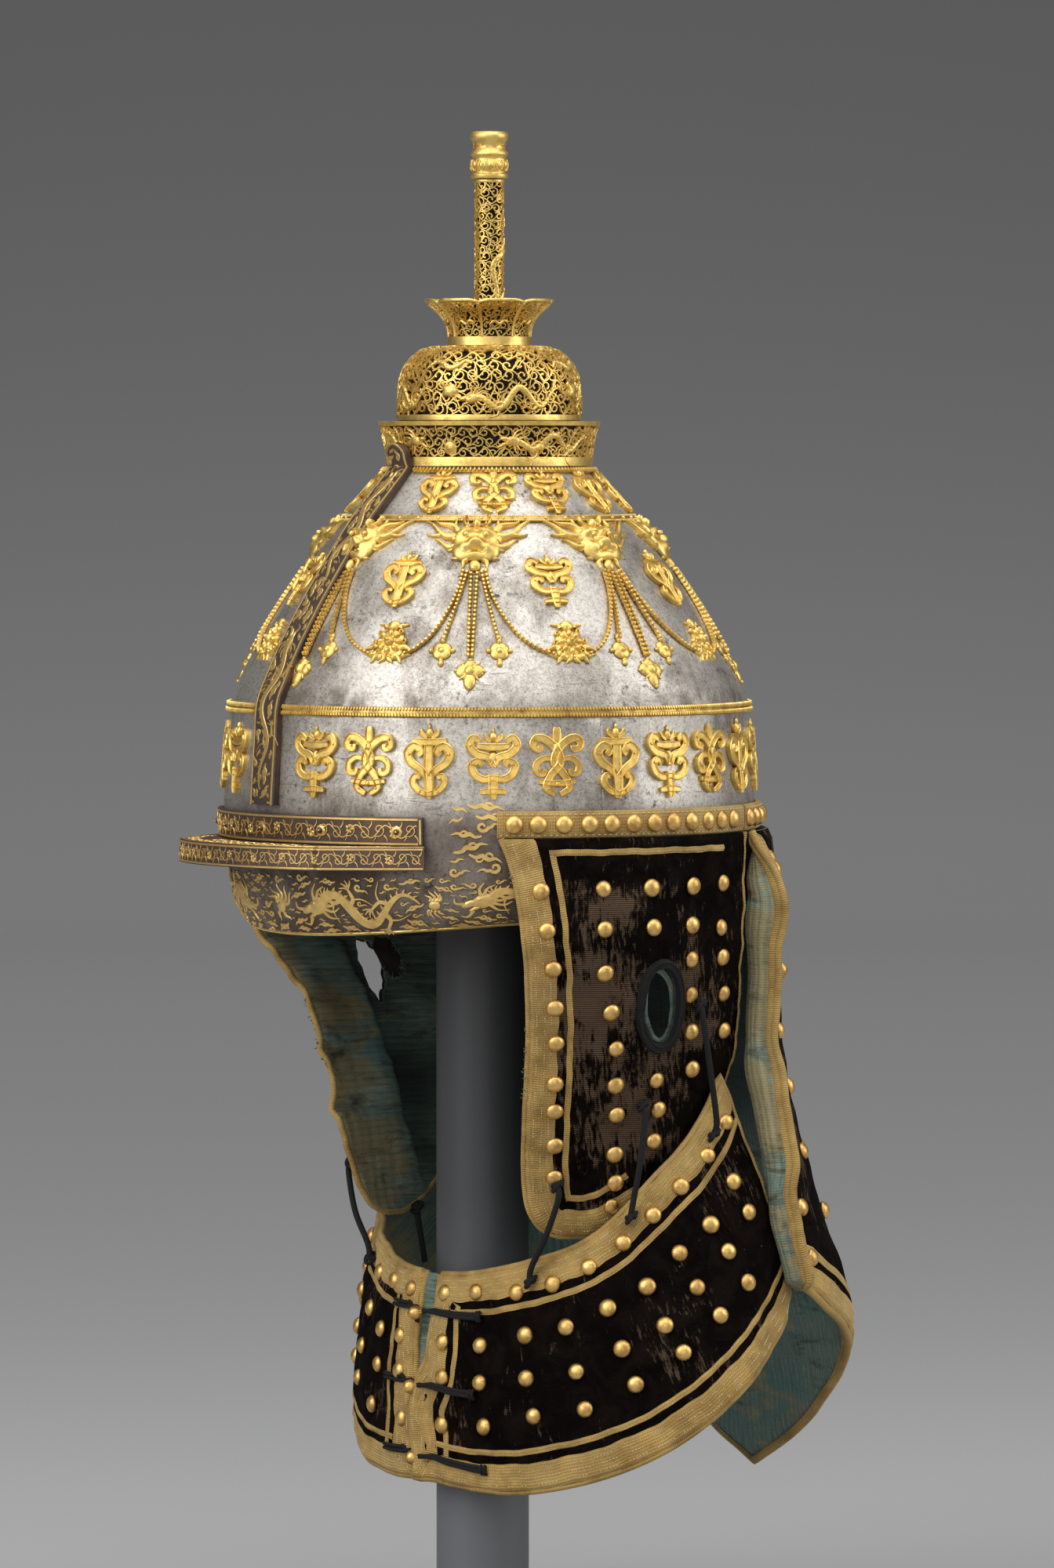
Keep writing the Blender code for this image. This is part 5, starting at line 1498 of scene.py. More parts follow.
def makeFinialCollar():
    surface = TurnedSurface(finialRows["collar"])
    pile = Pile()
    lathe(pile, [(209.6, 45.6), (209.5, 46.0), (207.9, 45.7), (207.6, 44.6), (207.9, 44.0), (209.4, 44.4)])
    lathe(pile, [(195.0, 42.9), (194.8, 43.1), (192.0, 42.8), (191.3, 42.9), (191.1, 42.4), (191.2, 41.4),
                 (194.8, 41.7)])
    place, length = bandMap(surface, 201.2)[:2]
    for k, start in enumerate((122.0, 148.0, 292.0, 318.0)):
        flip = 1.0 if k % 2 else -1.0
        at = flatMap(surface.hoop(start, 200.6), flip=flip)
        dragon(pile, at, 48.0, 3.3, 2.9, 2.0, height=1.0, base=0.15)
        boss(pile, surface.hoop(start + 38.0 * flip, 199.0), (0.0, 0.0), 2.2, 2.2)
    scrollField(pile, place, length, -6.3, 6.2, 4.4, 0.86, 0.85, seed=11, base=-0.3)
    # near-black liner behind the openwork, painted shade for the hollow inside
    lathe(pile, [(208.6, 42.9), (195.0, 40.6), (195.0, 40.2), (208.6, 42.5)], "shade", 96)
    rosette = surface.hoop(33.7, 198.6)
    for reach, high in ((2.9, 0.8), (2.0, 1.3), (1.1, 1.9)):
        boss(pile, rosette, (0.0, 0.0), reach, high, rings=4, sectors=20)
    pile.make("finialCollar", "gilt", ["finial_collar"], sharp=55)


def makeFinialDome():
    surface = TurnedSurface(finialRows["dome"])
    pile = Pile()
    lathe(pile, [(212.4, 37.3), (212.3, 38.0), (210.8, 38.3), (209.9, 38.2), (209.9, 37.0), (212.4, 36.4)])
    lathe(pile, [(241.2, 17.4), (240.9, 18.2), (240.1, 18.0), (239.6, 14.0), (241.0, 14.0)])
    lathe(pile, [(209.9, 37.0), (192.6, 36.8), (192.6, 35.9), (210.6, 36.2)], "iron")
    place, length, around = bandMap(surface, 216.0)
    foot = surface.runAt(212.0)
    top = foot - surface.runAt(240.4)
    for start in (64.0, 154.0, 244.0, 334.0):
        at = flatMap(surface.hoop(start + 44.0, 220.5), turn=4.0, flip=-1.0)
        dragon(pile, at, 49.0, 4.4, 3.0, 2.1, height=1.1, base=0.15)
        lotus = surface.patch(start - 34.0, 222.0)
        boss(pile, lotus, (0.0, 0.0), (4.0, 3.2), 1.5, rings=5, sectors=24,
             edge=lambda turn: 0.80 + 0.20 * np.abs(np.cos(2.5 * turn)), base=0.1)
        for side in (-1, 1):
            stroke(pile, flatMap(lotus, flip=side), spiral((3.4, 2.6), 1.6, 0.5, 200, 1.1, 14), 0.9, 1.0)
        upper = surface.patch(start - 36.0, 232.6)
        worm = through([(-10, -1.5), (-7, 1.2), (-3.4, 0.6), (0, -1.4), (3.8, -0.6), (6.6, 1.8), (9.8, 0.6)], 5)
        scaledBody(pile, upper, worm, 2.7 * taper(31, 0.25, 0.5), 1.2, base=0.15)
    scrollField(pile, place, length, -3.3, top - 4.2, 5.15, 0.98, 0.9, seed=5, base=-0.3, around=around)
    # near-black liner behind the openwork, painted shade for the hollow inside
    lathe(pile, [(240.0, 15.0), (238.6, 25.0), (235.0, 30.6), (230.6, 33.6), (225.6, 34.8), (212.0, 35.1),
                 (212.0, 34.6), (225.6, 34.3), (230.4, 33.1), (234.6, 30.1), (238.2, 24.6), (239.5, 15.0)],
          "shade", 96)
    pile.make("finialDome", "gilt", ["finial_dome"], sharp=55)


def makeFinialCup():
    surface = TurnedSurface(finialRows["cup"])
    pile = Pile()
    lathe(pile, [(244.6, 16.7), (244.6, 17.1), (243.6, 17.3), (242.2, 17.3), (241.1, 17.6), (241.1, 14.4),
                 (244.6, 15.8)])
    lobes = 8
    turn = np.linspace(0.0, 360.0, 241)[:-1]
    wave = np.abs(np.sin(np.radians(turn) * lobes / 2)) ** 0.6
    run = surface.runAt(259.6)
    lip = surface.place(turn, run - 2.2 * (wave - 0.75), 0.15)
    tube(pile, lip, 0.74 * mm, "gilt", sides=8, closedRound=True)
    for k in range(lobes):
        rib = surface.hoop(360.0 / lobes * k, 251.0)
        low, high = surface.runAt(251.0) - surface.runAt(244.6), surface.runAt(251.0) - surface.runAt(258.6)
        route = np.stack([np.zeros(12), np.linspace(low, high, 12)], 1)
        stroke(pile, rib, route, 1.35, 1.3)
    place, length, around = bandMap(surface, 248.0)
    high = surface.runAt(248.0) - surface.runAt(259.4)
    scrollField(pile, place, length, -3.2, high, 3.5, 0.72, 0.75, seed=23, base=-0.3, around=around)
    for k in range(lobes):
        panel = surface.hoop(360.0 / lobes * (k + 0.5), 250.4)
        worm = through([(-3.6, -1.0), (-1.8, 1.0), (0.4, -0.6), (2.2, 1.2), (3.8, 0.4)], 5)
        scaledBody(pile, panel, worm, 1.7 * taper(21, 0.25, 0.6), 0.9, base=0.4, scale=0.9)
    # near-black liner behind the openwork, painted shade for the hollow inside
    lathe(pile, [(257.6, 22.4), (255.0, 19.6), (251.6, 16.9), (248.6, 15.8), (243.4, 15.2), (243.4, 14.8),
                 (248.6, 15.4), (251.6, 16.5), (255.0, 19.2), (257.6, 22.0)], "shade", 96)
    lathe(pile, [(242.3, 5.9), (242.3, 16.0), (241.3, 16.0), (241.3, 5.9)], "gilt")
    pile.make("finialCup", "gilt", ["finial_cup"], sharp=55)


def makePlumeTube():
    surface = TurnedSurface(finialRows["tube"])
    pile = Pile()
    place, length = bandMap(surface, 276.0)[:2]
    scrollField(pile, place, length, -33.4, 33.2, 3.8, 0.78, 0.75, seed=37, base=-0.2)
    coil = flatMap(surface.hoop(0.0, 276.0), -2.0, -31.0, 66.0)
    dragon(pile, coil, 64.0, 3.6, 2.7, 1.9, height=0.9, base=0.15)
    for level in (243.2, 308.8):
        lathe(pile, [(level + 0.6, 6.2), (level, 6.5), (level - 0.6, 6.2), (level - 0.6, 5.1),
                     (level + 0.6, 5.1)], columns=60)
    # near-black core inside the tube, painted shade for its hollow
    lathe(pile, [(309.2, 3.9), (242.6, 3.9), (242.6, 3.4), (309.2, 3.4)], "shade", 48)
    pile.make("plumeTube", "gilt", ["plume_tube"], sharp=55)


def makeTubeCap():
    # turned cap: lotus bulge, ring, engraved neck, rounded knob
    pile = Pile()
    profile = [(309.9, 3.2), (309.9, 7.4), (310.5, 7.8), (311.5, 7.7), (312.0, 7.0), (312.6, 6.8)]
    for share in np.linspace(0, 1, 9):
        profile.append((312.8 + 5.0 * share, 6.85 + 0.85 * math.sin(math.pi * share)))
    profile += [(318.4, 6.9), (319.0, 7.3), (319.9, 7.9), (320.8, 7.7), (321.6, 6.8), (322.6, 6.3),
                (324.2, 6.5), (325.4, 7.2), (326.2, 7.8), (327.6, 7.95), (328.7, 7.5), (329.3, 6.4),
                (329.45, 4.6), (329.0, 3.4), (327.5, 3.1)]
    lathe(pile, profile, "gilt", 96)
    bulge = TurnedSurface([(318.0, 7.0), (315.3, 7.75), (312.6, 6.95)])
    for k in range(12):
        petal = bulge.hoop(30.0 * k, 315.3)
        outline = through([(-1.5, 2.4), (-1.7, 0.4), (-1.1, -1.5), (0, -2.4), (1.1, -1.5), (1.7, 0.4),
                           (1.5, 2.4)], 4)
        stroke(pile, petal, outline, 0.42, 0.42)
        boss(pile, petal, (0.0, 0.3), (1.05, 1.7), 0.40, rings=3, sectors=10)
    neck = TurnedSurface([(324.6, 6.6), (322.8, 6.3), (321.4, 6.9)])
    vine(pile, neck.hoop(0.0, 323.0), 2 * math.pi * 6.35, 2.6, 3.3, 0.35, "gilt", 0.28, flower=False)
    pile.make("tubeCap", "gilt", ["tube_cap"], sharp=40)


# combs, brow plate and shelf

iron = {"combWidth": 16.0, "combTopWidth": 13.0, "combThick": 3.4, "combFoot": 53.4, "combTop": 201.0,
        "combRound": 6.0,            # length of the rounded top end
        "edgeLine": 1.0, "lineIn": 0.75,
        "browHalf": 41.5, "browFoot": 38.6, "browHeight": 11.6, "browThick": 2.5,
        "browRosettes": (-36.0, -18.0, 0.0, 18.0, 36.0),
        "shelfTop": 38.2, "shelfDepth": 9.4, "shelfWall": 1.8, "shelfSeat": 110.6}


def makeComb(name, node, angle):
    # russet iron strap with a rounded top end, gold lines at its edges and a gold dragon in flames
    foot, top = combSurface.runAt(iron["combFoot"]), combSurface.runAt(iron["combTop"])
    length = foot - top
    place = combSurface.patch(angle, iron["combFoot"])
    pile = Pile()
    share, curve = np.linspace(0.0, 1.0, 90), iron["combRound"]
    straight = length - curve
    up = np.concatenate([share[:-1] * straight, straight + curve * np.sin(np.linspace(0, math.pi / 2, 10))])
    half = 0.5 * (iron["combWidth"] + (iron["combTopWidth"] - iron["combWidth"]) * (up / length) ** 2)
    end = np.clip((up - straight) / curve, 0.0, 1.0)
    half = half * np.sqrt(1.001 - end ** 2)
    across, out = sectionRows([(-1.0, 0.05), (-1.0, 0.82), (-0.93, 1.0), (-0.45, 1.04),
                               (0.45, 1.04), (0.93, 1.0), (1.0, 0.82), (1.0, 0.05)])
    across = across * half[:, None]
    points = place(across, up[:, None] + 0.0 * across, out * iron["combThick"] + 0.0 * across)
    pile.add(points, barFaces(*across.shape, "iron"))
    lifted = iron["combThick"]
    edges = [np.stack([side * (half - iron["lineIn"]), up], 1) for side in (-1, 1)]
    endLine = np.vstack([edges[0][-9:-1], edges[1][-2:-10:-1]])
    footLine = [(-half[0] + 1, 1.0), (half[0] - 1, 1.0)]
    for line in (edges[0][:-3], edges[1][:-3], endLine, footLine):
        stroke(pile, place, line, iron["edgeLine"], 0.22, "inlay", "inlay", lifted)
    room = Room(place, (-7.0, 2.0), (7.0, length - 2.0))
    for edge in edges:
        room.mark(edge[:-3], 0.9)
    for start, reach, flip in ((6.0, 74.0, 1.0), (91.0, 68.0, -1.0)):
        if start + reach > length:
            reach = length - start - 8.0
        upwards = handed(flatMap(room.place, 0.0, start, 90.0), flip)
        dragon(pile, upwards, reach, 2.9, 3.2, 2.0, "inlay", 0.35, lifted, fine=False)

    def region(flat):
        return np.abs(flat[:, 0]) < np.interp(flat[:, 1], up, half) - 1.9

    fillRoom(pile, room, region, 7000, (2.5, 0.85), 3, lifted, 0.3, gap=0.10, steep=180.0, heavy=1.9)
    pile.make(name, "dark_iron", [node], sharp=40)


def makeBrowPlate():
    # upright flange: gold border lines, a running scroll and five rosette rivets
    foot = bowlSurface.runAt(iron["browFoot"])
    place = bowlSurface.hoop(0.0, iron["browFoot"])
    scale = float(bowlSurface.radiusAt(foot))
    half = math.radians(iron["browHalf"]) * scale
    pile = Pile()
    high = iron["browHeight"]
    lane = np.linspace(-half, half, 90)
    thick = iron["browThick"]
    y, lift = sectionRows([(0.0, 0.4), (0.0, 2.2), (0.35, thick), (high - 0.35, thick), (high, 2.2), (high, 0.4)])
    y, lift = y + 0.0 * lane[:, None], lift + 0.0 * lane[:, None]
    points = place(lane[:, None] + 0.0 * y, y, lift)
    pile.add(points, barFaces(*y.shape, "iron"))
    lines = [np.stack([lane[1:-1], lane[1:-1] * 0 + level], 1) for level in (1.0, high - 1.0)]
    lines += [[(side * (half - 0.9), 1.0), (side * (half - 0.9), high - 1.0)] for side in (-1, 1)]
    onFace = thick - 0.02
    for line in lines:
        stroke(pile, place, line, 0.95, 0.25, "inlay", "inlay", onFace)
    middle = flatMap(place, -half + 2.2, high * 0.5)
    vine(pile, middle, 2 * half - 4.4, high - 3.4, 6.4, 0.55, "inlay", 0.28, onFace)
    for angle in iron["browRosettes"]:
        at = flatMap(place, math.radians(angle) * scale, high * 0.5)
        boss(pile, at, (0.0, 0.0), 2.4, 0.5, "inlay", rings=2, sectors=24,
             edge=lambda turn: 0.80 + 0.20 * np.abs(np.cos(4 * turn)), base=thick)
        boss(pile, at, (0.0, 0.0), 1.25, 1.2, "iron", rings=4, sectors=14, base=2.8)
        boss(pile, at, (0.0, 0.0), 0.5, 0.6, "inlay", rings=3, sectors=10, base=3.7)
    pile.make("browPlate", "dark_iron", ["brow_plate"], sharp=40)


shelfRows = [(132.0, 0.0), (130.6, 18.0), (126.8, 34.0), (122.0, 46.5), (119.6, 48.6),
             (119.4, 51.4), (109.0, 60.0), (98.0, 68.2), (84.5, 76.5)]


def shelfEdge(inset, samples=10):
    # the shelf's outline from its left end to its right, rounded between two small nicks
    front = through(shelfRows[:4], samples)
    nick = np.array(shelfRows[3:6], float)
    flank = through(shelfRows[5:], samples)
    half = np.vstack([front, nick[1:2], flank])
    length = np.hypot(half[:, 0], half[:, 1])
    half = half * ((length - inset) / length)[:, None]
    right = np.stack([half[:, 1], -half[:, 0]], 1)
    left = right[1:][::-1] * np.array([-1.0, 1.0])
    return np.vstack([left, right])


def makeShelf():
    # flat peak with a turned-down edge, gold scrolls on its top and round its edge
    top, depth, wall = iron["shelfTop"], iron["shelfDepth"], iron["shelfWall"]
    outline = shelfEdge(0.0)
    count = len(outline)
    turn = np.arctan2(outline[:, 0], -outline[:, 1])
    seat = np.stack([np.sin(turn), -np.cos(turn)], 1) * iron["shelfSeat"]
    loops = [
        (outline, top - depth), (outline, top - 0.5), (shelfEdge(0.5), top), (seat, top),
        (seat, top - wall), (shelfEdge(wall), top - wall), (shelfEdge(wall), top - depth),
    ]
    points = [np.column_stack([flat, np.full(count, level)]) for flat, level in loops]
    pile = Pile()
    pile.add(toWorld(np.stack(points, 1)), barFaces(count, len(loops), "iron"))

    line = shelfEdge(0.0, 40)
    length = lengthsAlong(line)
    out = -headings(line)[1]

    def onEdge(x, y, lift):
        # x along the edge, y up it, lift outwards
        x, y, lift = np.broadcast_arrays(*(np.asarray(v, float) for v in (x, y, lift)))
        px = np.interp(x, length, line[:, 0]) + lift * np.interp(x, length, out[:, 0])
        py = np.interp(x, length, line[:, 1]) + lift * np.interp(x, length, out[:, 1])
        return toWorld(np.stack([px, py, top - depth + y], -1))

    def onTop(x, y, lift):
        # x along the edge, y inwards from it
        x, y, lift = np.broadcast_arrays(*(np.asarray(v, float) for v in (x, y, lift)))
        px, py = np.interp(x, length, line[:, 0]), np.interp(x, length, line[:, 1])
        size = np.hypot(px, py)
        return toWorld(np.stack([px * (1 - y / size), py * (1 - y / size), top + lift], -1))

    span = length[-1]
    walk = np.linspace(0.6, span - 0.6, 220)
    for level in (0.75, depth - 0.9):
        stroke(pile, onEdge, np.stack([walk, walk * 0 + level], 1), 0.85, 0.22, "inlay", "inlay")
    stroke(pile, onTop, np.stack([walk, walk * 0 + 1.3], 1), 0.9, 0.2, "inlay", "inlay")
    vine(pile, flatMap(onEdge, 1.5, depth * 0.5), span - 3.0, depth - 2.6, 5.2, 0.50, "inlay", 0.24)
    vine(pile, flatMap(onTop, 16.0, 5.2), span - 32.0, 5.6, 6.0, 0.55, "inlay", 0.2)
    vine(pile, flatMap(onTop, 60.0, 12.6), span - 120.0, 6.4, 7.0, 0.55, "inlay", 0.2)
    pile.make("peakShelf", "dark_iron", ["peak_shelf"], sharp=40)


def makeBrowInlay():
    # gold dragons chasing a flaming pearl under the peak, clouds round them and over the ears
    pile = Pile()
    radius = float(bowlSurface.radiusAt(bowlSurface.runAt(12.0)))
    wide, base, height = math.radians(76.0) * radius, 0.05, 0.4
    room = Room(bowlSurface.hoop(0.0, 0.0), (-wide, 1.6), (wide, 60.0))

    def flat(angle, level, side=1.0):
        return flatMap(room.place, math.radians(angle) * radius * side, level, flip=-side)

    for side in (-1, 1):
        for start, reach, level in ((37.6, 52.0, 14.0), (75.0, 52.0, 15.6)):
            dragon(pile, flat(start, level, side), reach, 8.2, 4.6, 1.28, "inlay", 0.5, base, fine=False)
        jewel = flat(40.6, 14.0, side)
        boss(pile, jewel, (0.0, 0.6), 2.3, 0.6, "inlay", rings=3, sectors=16)
        for x in (-3.0, -1.2, 1.2, 3.0):
            flame(pile, jewel, (x * 0.5, 2.8), (x, 9.4 - abs(x)), 0.22, 1.5, height, "inlay")
            flame(pile, jewel, (x * 0.6, -1.8), (x * 1.1, -7.8 + abs(x)), 0.22, 1.3, height, "inlay")
    pearl = flat(2.0, 14.0)
    boss(pile, pearl, (0.0, 0.0), 2.7, 0.7, "inlay", rings=3, sectors=18)
    for turn in (35, 60, 90, 120, 145, -60, -120):
        at = flatMap(pearl, turn=turn)
        flame(pile, at, (2.6, 0.0), (9.6 if turn > 0 else 7.0, 0.0), 0.25, 1.9, height, "inlay")

    def underPeak(spots):
        angle, level = np.degrees(np.abs(spots[:, 0]) / radius), spots[:, 1]
        return (level < 27.6) & (angle < 57.5)

    def besidePeak(spots):
        # the clouds climb between the peak and the ear band, and a little way over it
        angle, level = np.degrees(np.abs(spots[:, 0]) / radius), spots[:, 1]
        between = (angle > 43.4) & (angle < 74.0) & (level > 26.0) & (level < 59.0 - 0.10 * np.abs(angle - 50.0))
        return between & ((angle < 57.0) | (level > 55.6))

    fillRoom(pile, room, underPeak, 12000, (2.6, 0.95), 8, base, height, gap=0.2, heavy=1.22)
    fillRoom(pile, room, besidePeak, 5000, (3.8, 2.1), 5, base, height, gap=0.75, heavy=1.15)
    pile.make("browInlay", "gilt", sharp=40)
    print("combs, brow and peak made")


# textile panels

def edgeDistance(x, y, line):
    # distance in the flat from points to a closed line
    best = np.full(x.shape, 1e9)
    for a, b in zip(line, np.roll(line, -1, 0)):
        dx, dy = b[0] - a[0], b[1] - a[1]
        size = max(dx * dx + dy * dy, 1e-9)
        share = np.clip(((x - a[0]) * dx + (y - a[1]) * dy) / size, 0.0, 1.0)
        best = np.minimum(best, np.hypot(x - a[0] - share * dx, y - a[1] - share * dy))
    return best


def resample(line, spacing):
    line = np.asarray(line, float)
    length = lengthsAlong(line)
    count = max(2, int(round(length[-1] / spacing)) + 1)
    at = np.linspace(0.0, length[-1], count)
    return np.stack([np.interp(at, length, line[:, k]) for k in range(line.shape[1])], 1)


def inset(outline, distance):
    # the closed outline moved inwards, corner to corner; it runs with its inside on the left
    back, ahead = outline - np.roll(outline, 1, 0), np.roll(outline, -1, 0) - outline
    back, ahead = back / sizeOf(back), ahead / sizeOf(ahead)
    normalBack = np.stack([-back[:, 1], back[:, 0]], 1)
    normalAhead = np.stack([-ahead[:, 1], ahead[:, 0]], 1)
    middle = normalBack + normalAhead
    middle /= sizeOf(middle)
    stretch = np.clip((middle * normalAhead).sum(1, keepdims=True), 0.5, 1.0)
    moved = outline + middle / stretch * distance
    for step in range(40):
        lane = np.roll(moved, -1, 0) - moved
        folded = np.flatnonzero((lane * ahead).sum(1) < 0)
        if not len(folded):
            break
        for k in folded:
            after = (k + 1) % len(moved)
            moved[k] = moved[after] = 0.5 * (moved[k] + moved[after])
    return moved


def cleared(outline, corners, reach):
    # the outline without the points close to its corners, which would fold when it is moved inwards
    keep = np.ones(len(outline), bool)
    for corner in corners:
        keep &= (sizeOf(outline - outline[corner]).ravel() > reach) | (np.arange(len(outline)) == corner)
    return outline[keep], keep


def lanes(first, second, spacing=2.2):
    # two lines of as many points, both divided where the first one's steps are long
    one, two = [first[:1]], [second[:1]]
    for k in range(len(first) - 1):
        count = max(1, int(math.ceil(max(np.linalg.norm(first[k + 1] - first[k]),
                                         np.linalg.norm(second[k + 1] - second[k])) / spacing)))
        share = np.linspace(0, 1, count + 1)[1:, None]
        one.append(first[k] + (first[k + 1] - first[k]) * share)
        two.append(second[k] + (second[k + 1] - second[k]) * share)
    return np.vstack(one), np.vstack(two)


def topped(line, level):
    # a border's inner line kept below the top edge, and run up to it at its first point
    line = line.copy()
    line[:, 1] = np.minimum(line[:, 1], level)
    line[0, 1] = level
    return line


dimple = {"depth": 0.75, "spread": 26.0}      # drawn into the padding by every stud


class Panel:
    # a padded textile wall over flat coordinates in millimetres: x along it, y up, lift outwards
    def __init__(self, base, outline, thick, hand=1.0, folds=None, studs=(), roundness=1.9):
        self.base, self.outline, self.thick, self.hand = base, outline, thick, hand
        self.folds, self.studs, self.roundness = folds, np.array(studs, float).reshape(-1, 2), roundness

    def place(self, x, y, lift):
        x, y, lift = np.broadcast_arrays(*(np.asarray(v, float) for v in (x, y, lift)))
        step = 0.5
        here = self.base(x, y)
        out = np.cross(self.base(x + step, y) - here, self.base(x, y + step) - here)
        out *= self.hand / sizeOf(out)
        near = edgeDistance(x, y, self.outline)
        share = np.clip(1.0 - near / self.roundness, 0.0, 1.0)
        middle = 0.5 * self.thick
        lift = (lift + middle) * (0.25 + 0.75 * np.sqrt(1.0 - share ** 2)) - middle
        if self.folds:
            lift = lift + self.folds(x, y)
        for sx, sy in self.studs:
            lift = lift - dimple["depth"] * np.exp(-((x - sx) ** 2 + (y - sy) ** 2) / dimple["spread"])
        return here + out * lift[..., None] * mm

    def outward(self, x, y):
        out = self.place(x, y, 1.0) - self.place(x, y, 0.0)
        return out / sizeOf(out)


def oval(cx, cy, hx, hy, turn, torn=False):
    # an upright oval, leaning a little and ragged where it is torn
    ragged = 1.0 + torn * (0.13 * np.sin(3 * turn + 0.9) + 0.06 * np.sin(7 * turn)
                           + 0.05 * np.sin(13 * turn + 1.0))
    return np.column_stack([cx + ragged * (hx * np.cos(turn) + flaps["holeLean"] * hy * np.sin(turn)),
                            cy + ragged * hy * np.sin(turn)])


def clothBody(pile, panel, inside, columns, rows, wear, hole=None, swap=True, puff=None, fadeAndPaintedLight=None):
    # both faces of a padded wall and the edge between them; hole is (centre, half sizes, torn) of an oval
    u, v = np.meshgrid(np.linspace(0, 1, columns + 1), np.linspace(0, 1, rows + 1))
    x, y = inside(u.ravel(), v.ravel())
    faces = gridFaces(rows + 1, columns + 1)
    if hole is not None:
        (cx, cy), (hx, hy), torn = hole
        leaning = x - flaps["holeLean"] * (y - cy)
        reach = np.hypot((leaning[faces].mean(1) - cx) / hx, (y[faces].mean(1) - cy) / hy)
        faces = faces[reach > 1.0]
    edges = np.concatenate([faces[:, [k, (k + 1) % 4]] for k in range(4)])
    keys = {(a, b) for a, b in edges.tolist()}
    border = np.array([(a, b) for a, b in keys if (b, a) not in keys])
    if hole is not None:
        # the steps that the grid leaves round the hole are drawn on to its edge
        holed = np.unique(border)
        holed = holed[np.hypot((leaning[holed] - cx) / hx, (y[holed] - cy) / hy) < 1.6]
        onEdge = [np.isin(share.ravel()[holed], (0.0, 1.0)) for share in (u, v)]
        holed = holed[~onEdge[0] & ~onEdge[1]]
        turn = np.arctan2((y[holed] - cy) / hy, (leaning[holed] - cx) / hx)
        x[holed], y[holed] = oval(cx, cy, hx, hy, turn, torn).T
    outer = panel.place(x, y, 0.0)
    inner = panel.place(x, y, -panel.thick - (puff(x, y) if puff else 0.0))
    total = len(x)
    used = np.unique(faces)
    order = np.full(total, -1)
    order[used] = np.arange(len(used))
    faces = order[faces]
    border = order[border]
    count = len(used)
    side = np.column_stack([border[:, 1], border[:, 0], border[:, 0] + count, border[:, 1] + count])
    worn = wear(x, y)[used]
    flat = np.column_stack([x[used], y[used], worn])
    lined = flat[:, [1, 0, 2]] if swap else flat.copy()
    # the lining's third cloth value: fading with painted light and shade where given, else the wear
    if fadeAndPaintedLight:
        lined[:, 2] = fadeAndPaintedLight(x, y)[used]
    points = np.concatenate([outer[used], inner[used]])
    pile.add(points, [("velvet", faces), ("lining", faces[:, ::-1] + count), ("lining", side)],
             cloth=np.concatenate([flat, lined]))


def layRibbon(pile, panel, outer, inner, closed=False, height=0.55, finish="ribbon", base=-0.15):
    # a woven strip laid between two flat lines of as many points
    width = float(np.median(sizeOf(outer - inner)))
    wide = width > 6.0
    columns = max(3, int(math.ceil(width / 1.8)) + 1)
    share = np.linspace(0.0, 1.0, columns)
    bulge = height * np.clip(np.minimum(share, 1 - share) * width / 0.5 + 0.35, 0, 1)
    x = outer[:, :1] + (inner[:, :1] - outer[:, :1]) * share
    y = outer[:, 1:] + (inner[:, 1:] - outer[:, 1:]) * share
    length = lengthsAlong(0.5 * (outer + inner))
    sway = np.sin(length * 0.27 + width) + 0.7 * np.sin(length * 0.61 + 2.0 * width)
    sway = (0.26 if wide else 0.14) * sway
    if not closed:
        across = (inner - outer) / np.maximum(sizeOf(inner - outer), 1e-6)
        x, y = x + (across[:, 0] * sway)[:, None], y + (across[:, 1] * sway)[:, None]
    pucker = (np.sin(length[:, None] * 0.62 + share * 2.5)
              + 0.7 * np.sin(length[:, None] * 1.31 - share * 4.0 + width))
    pucker = (0.13 if wide else 0.05) * pucker * np.sin(math.pi * share) ** 0.5
    top = panel.place(x, y, bulge + pucker)
    low = panel.place(x[:, ::-1], y[:, ::-1], base + 0.0 * x)
    points = np.concatenate([top, low], 1)
    rows, total = points.shape[:2]
    cloth = np.zeros((rows, total, 3))
    cloth[..., 0] = np.concatenate([share * width, share[::-1] * width])[None, :]
    cloth[..., 1] = length[:, None]
    faces = loopFaces if closed else barFaces
    pile.add(points, faces(rows, total, finish), cloth=cloth)


sewing = {"group": 6, "dash": 1.3, "rest": 3.6, "lift": 0.42}      # stitches in short groups, and their rests


def dashes(panel, line, start=0.0):
    # stitch places along a flat line, as (places, outward directions, directions along)
    group, dash, lift = sewing["group"], sewing["dash"], sewing["lift"]
    line = resample(line, 0.5)
    length = lengthsAlong(line)
    at, spots = start, []
    while at < length[-1] - group * dash:
        spots += [at + k * dash for k in range(group)]
        at += group * dash + sewing["rest"]
    if not spots:
        return None
    x, y = np.interp(spots, length, line[:, 0]), np.interp(spots, length, line[:, 1])
    ahead = np.array(spots) + 0.6
    ax, ay = np.interp(ahead, length, line[:, 0]), np.interp(ahead, length, line[:, 1])
    here = panel.place(x, y, lift)
    along = panel.place(ax, ay, lift) - here
    return here, panel.outward(x, y), along / np.maximum(sizeOf(along), 1e-9)


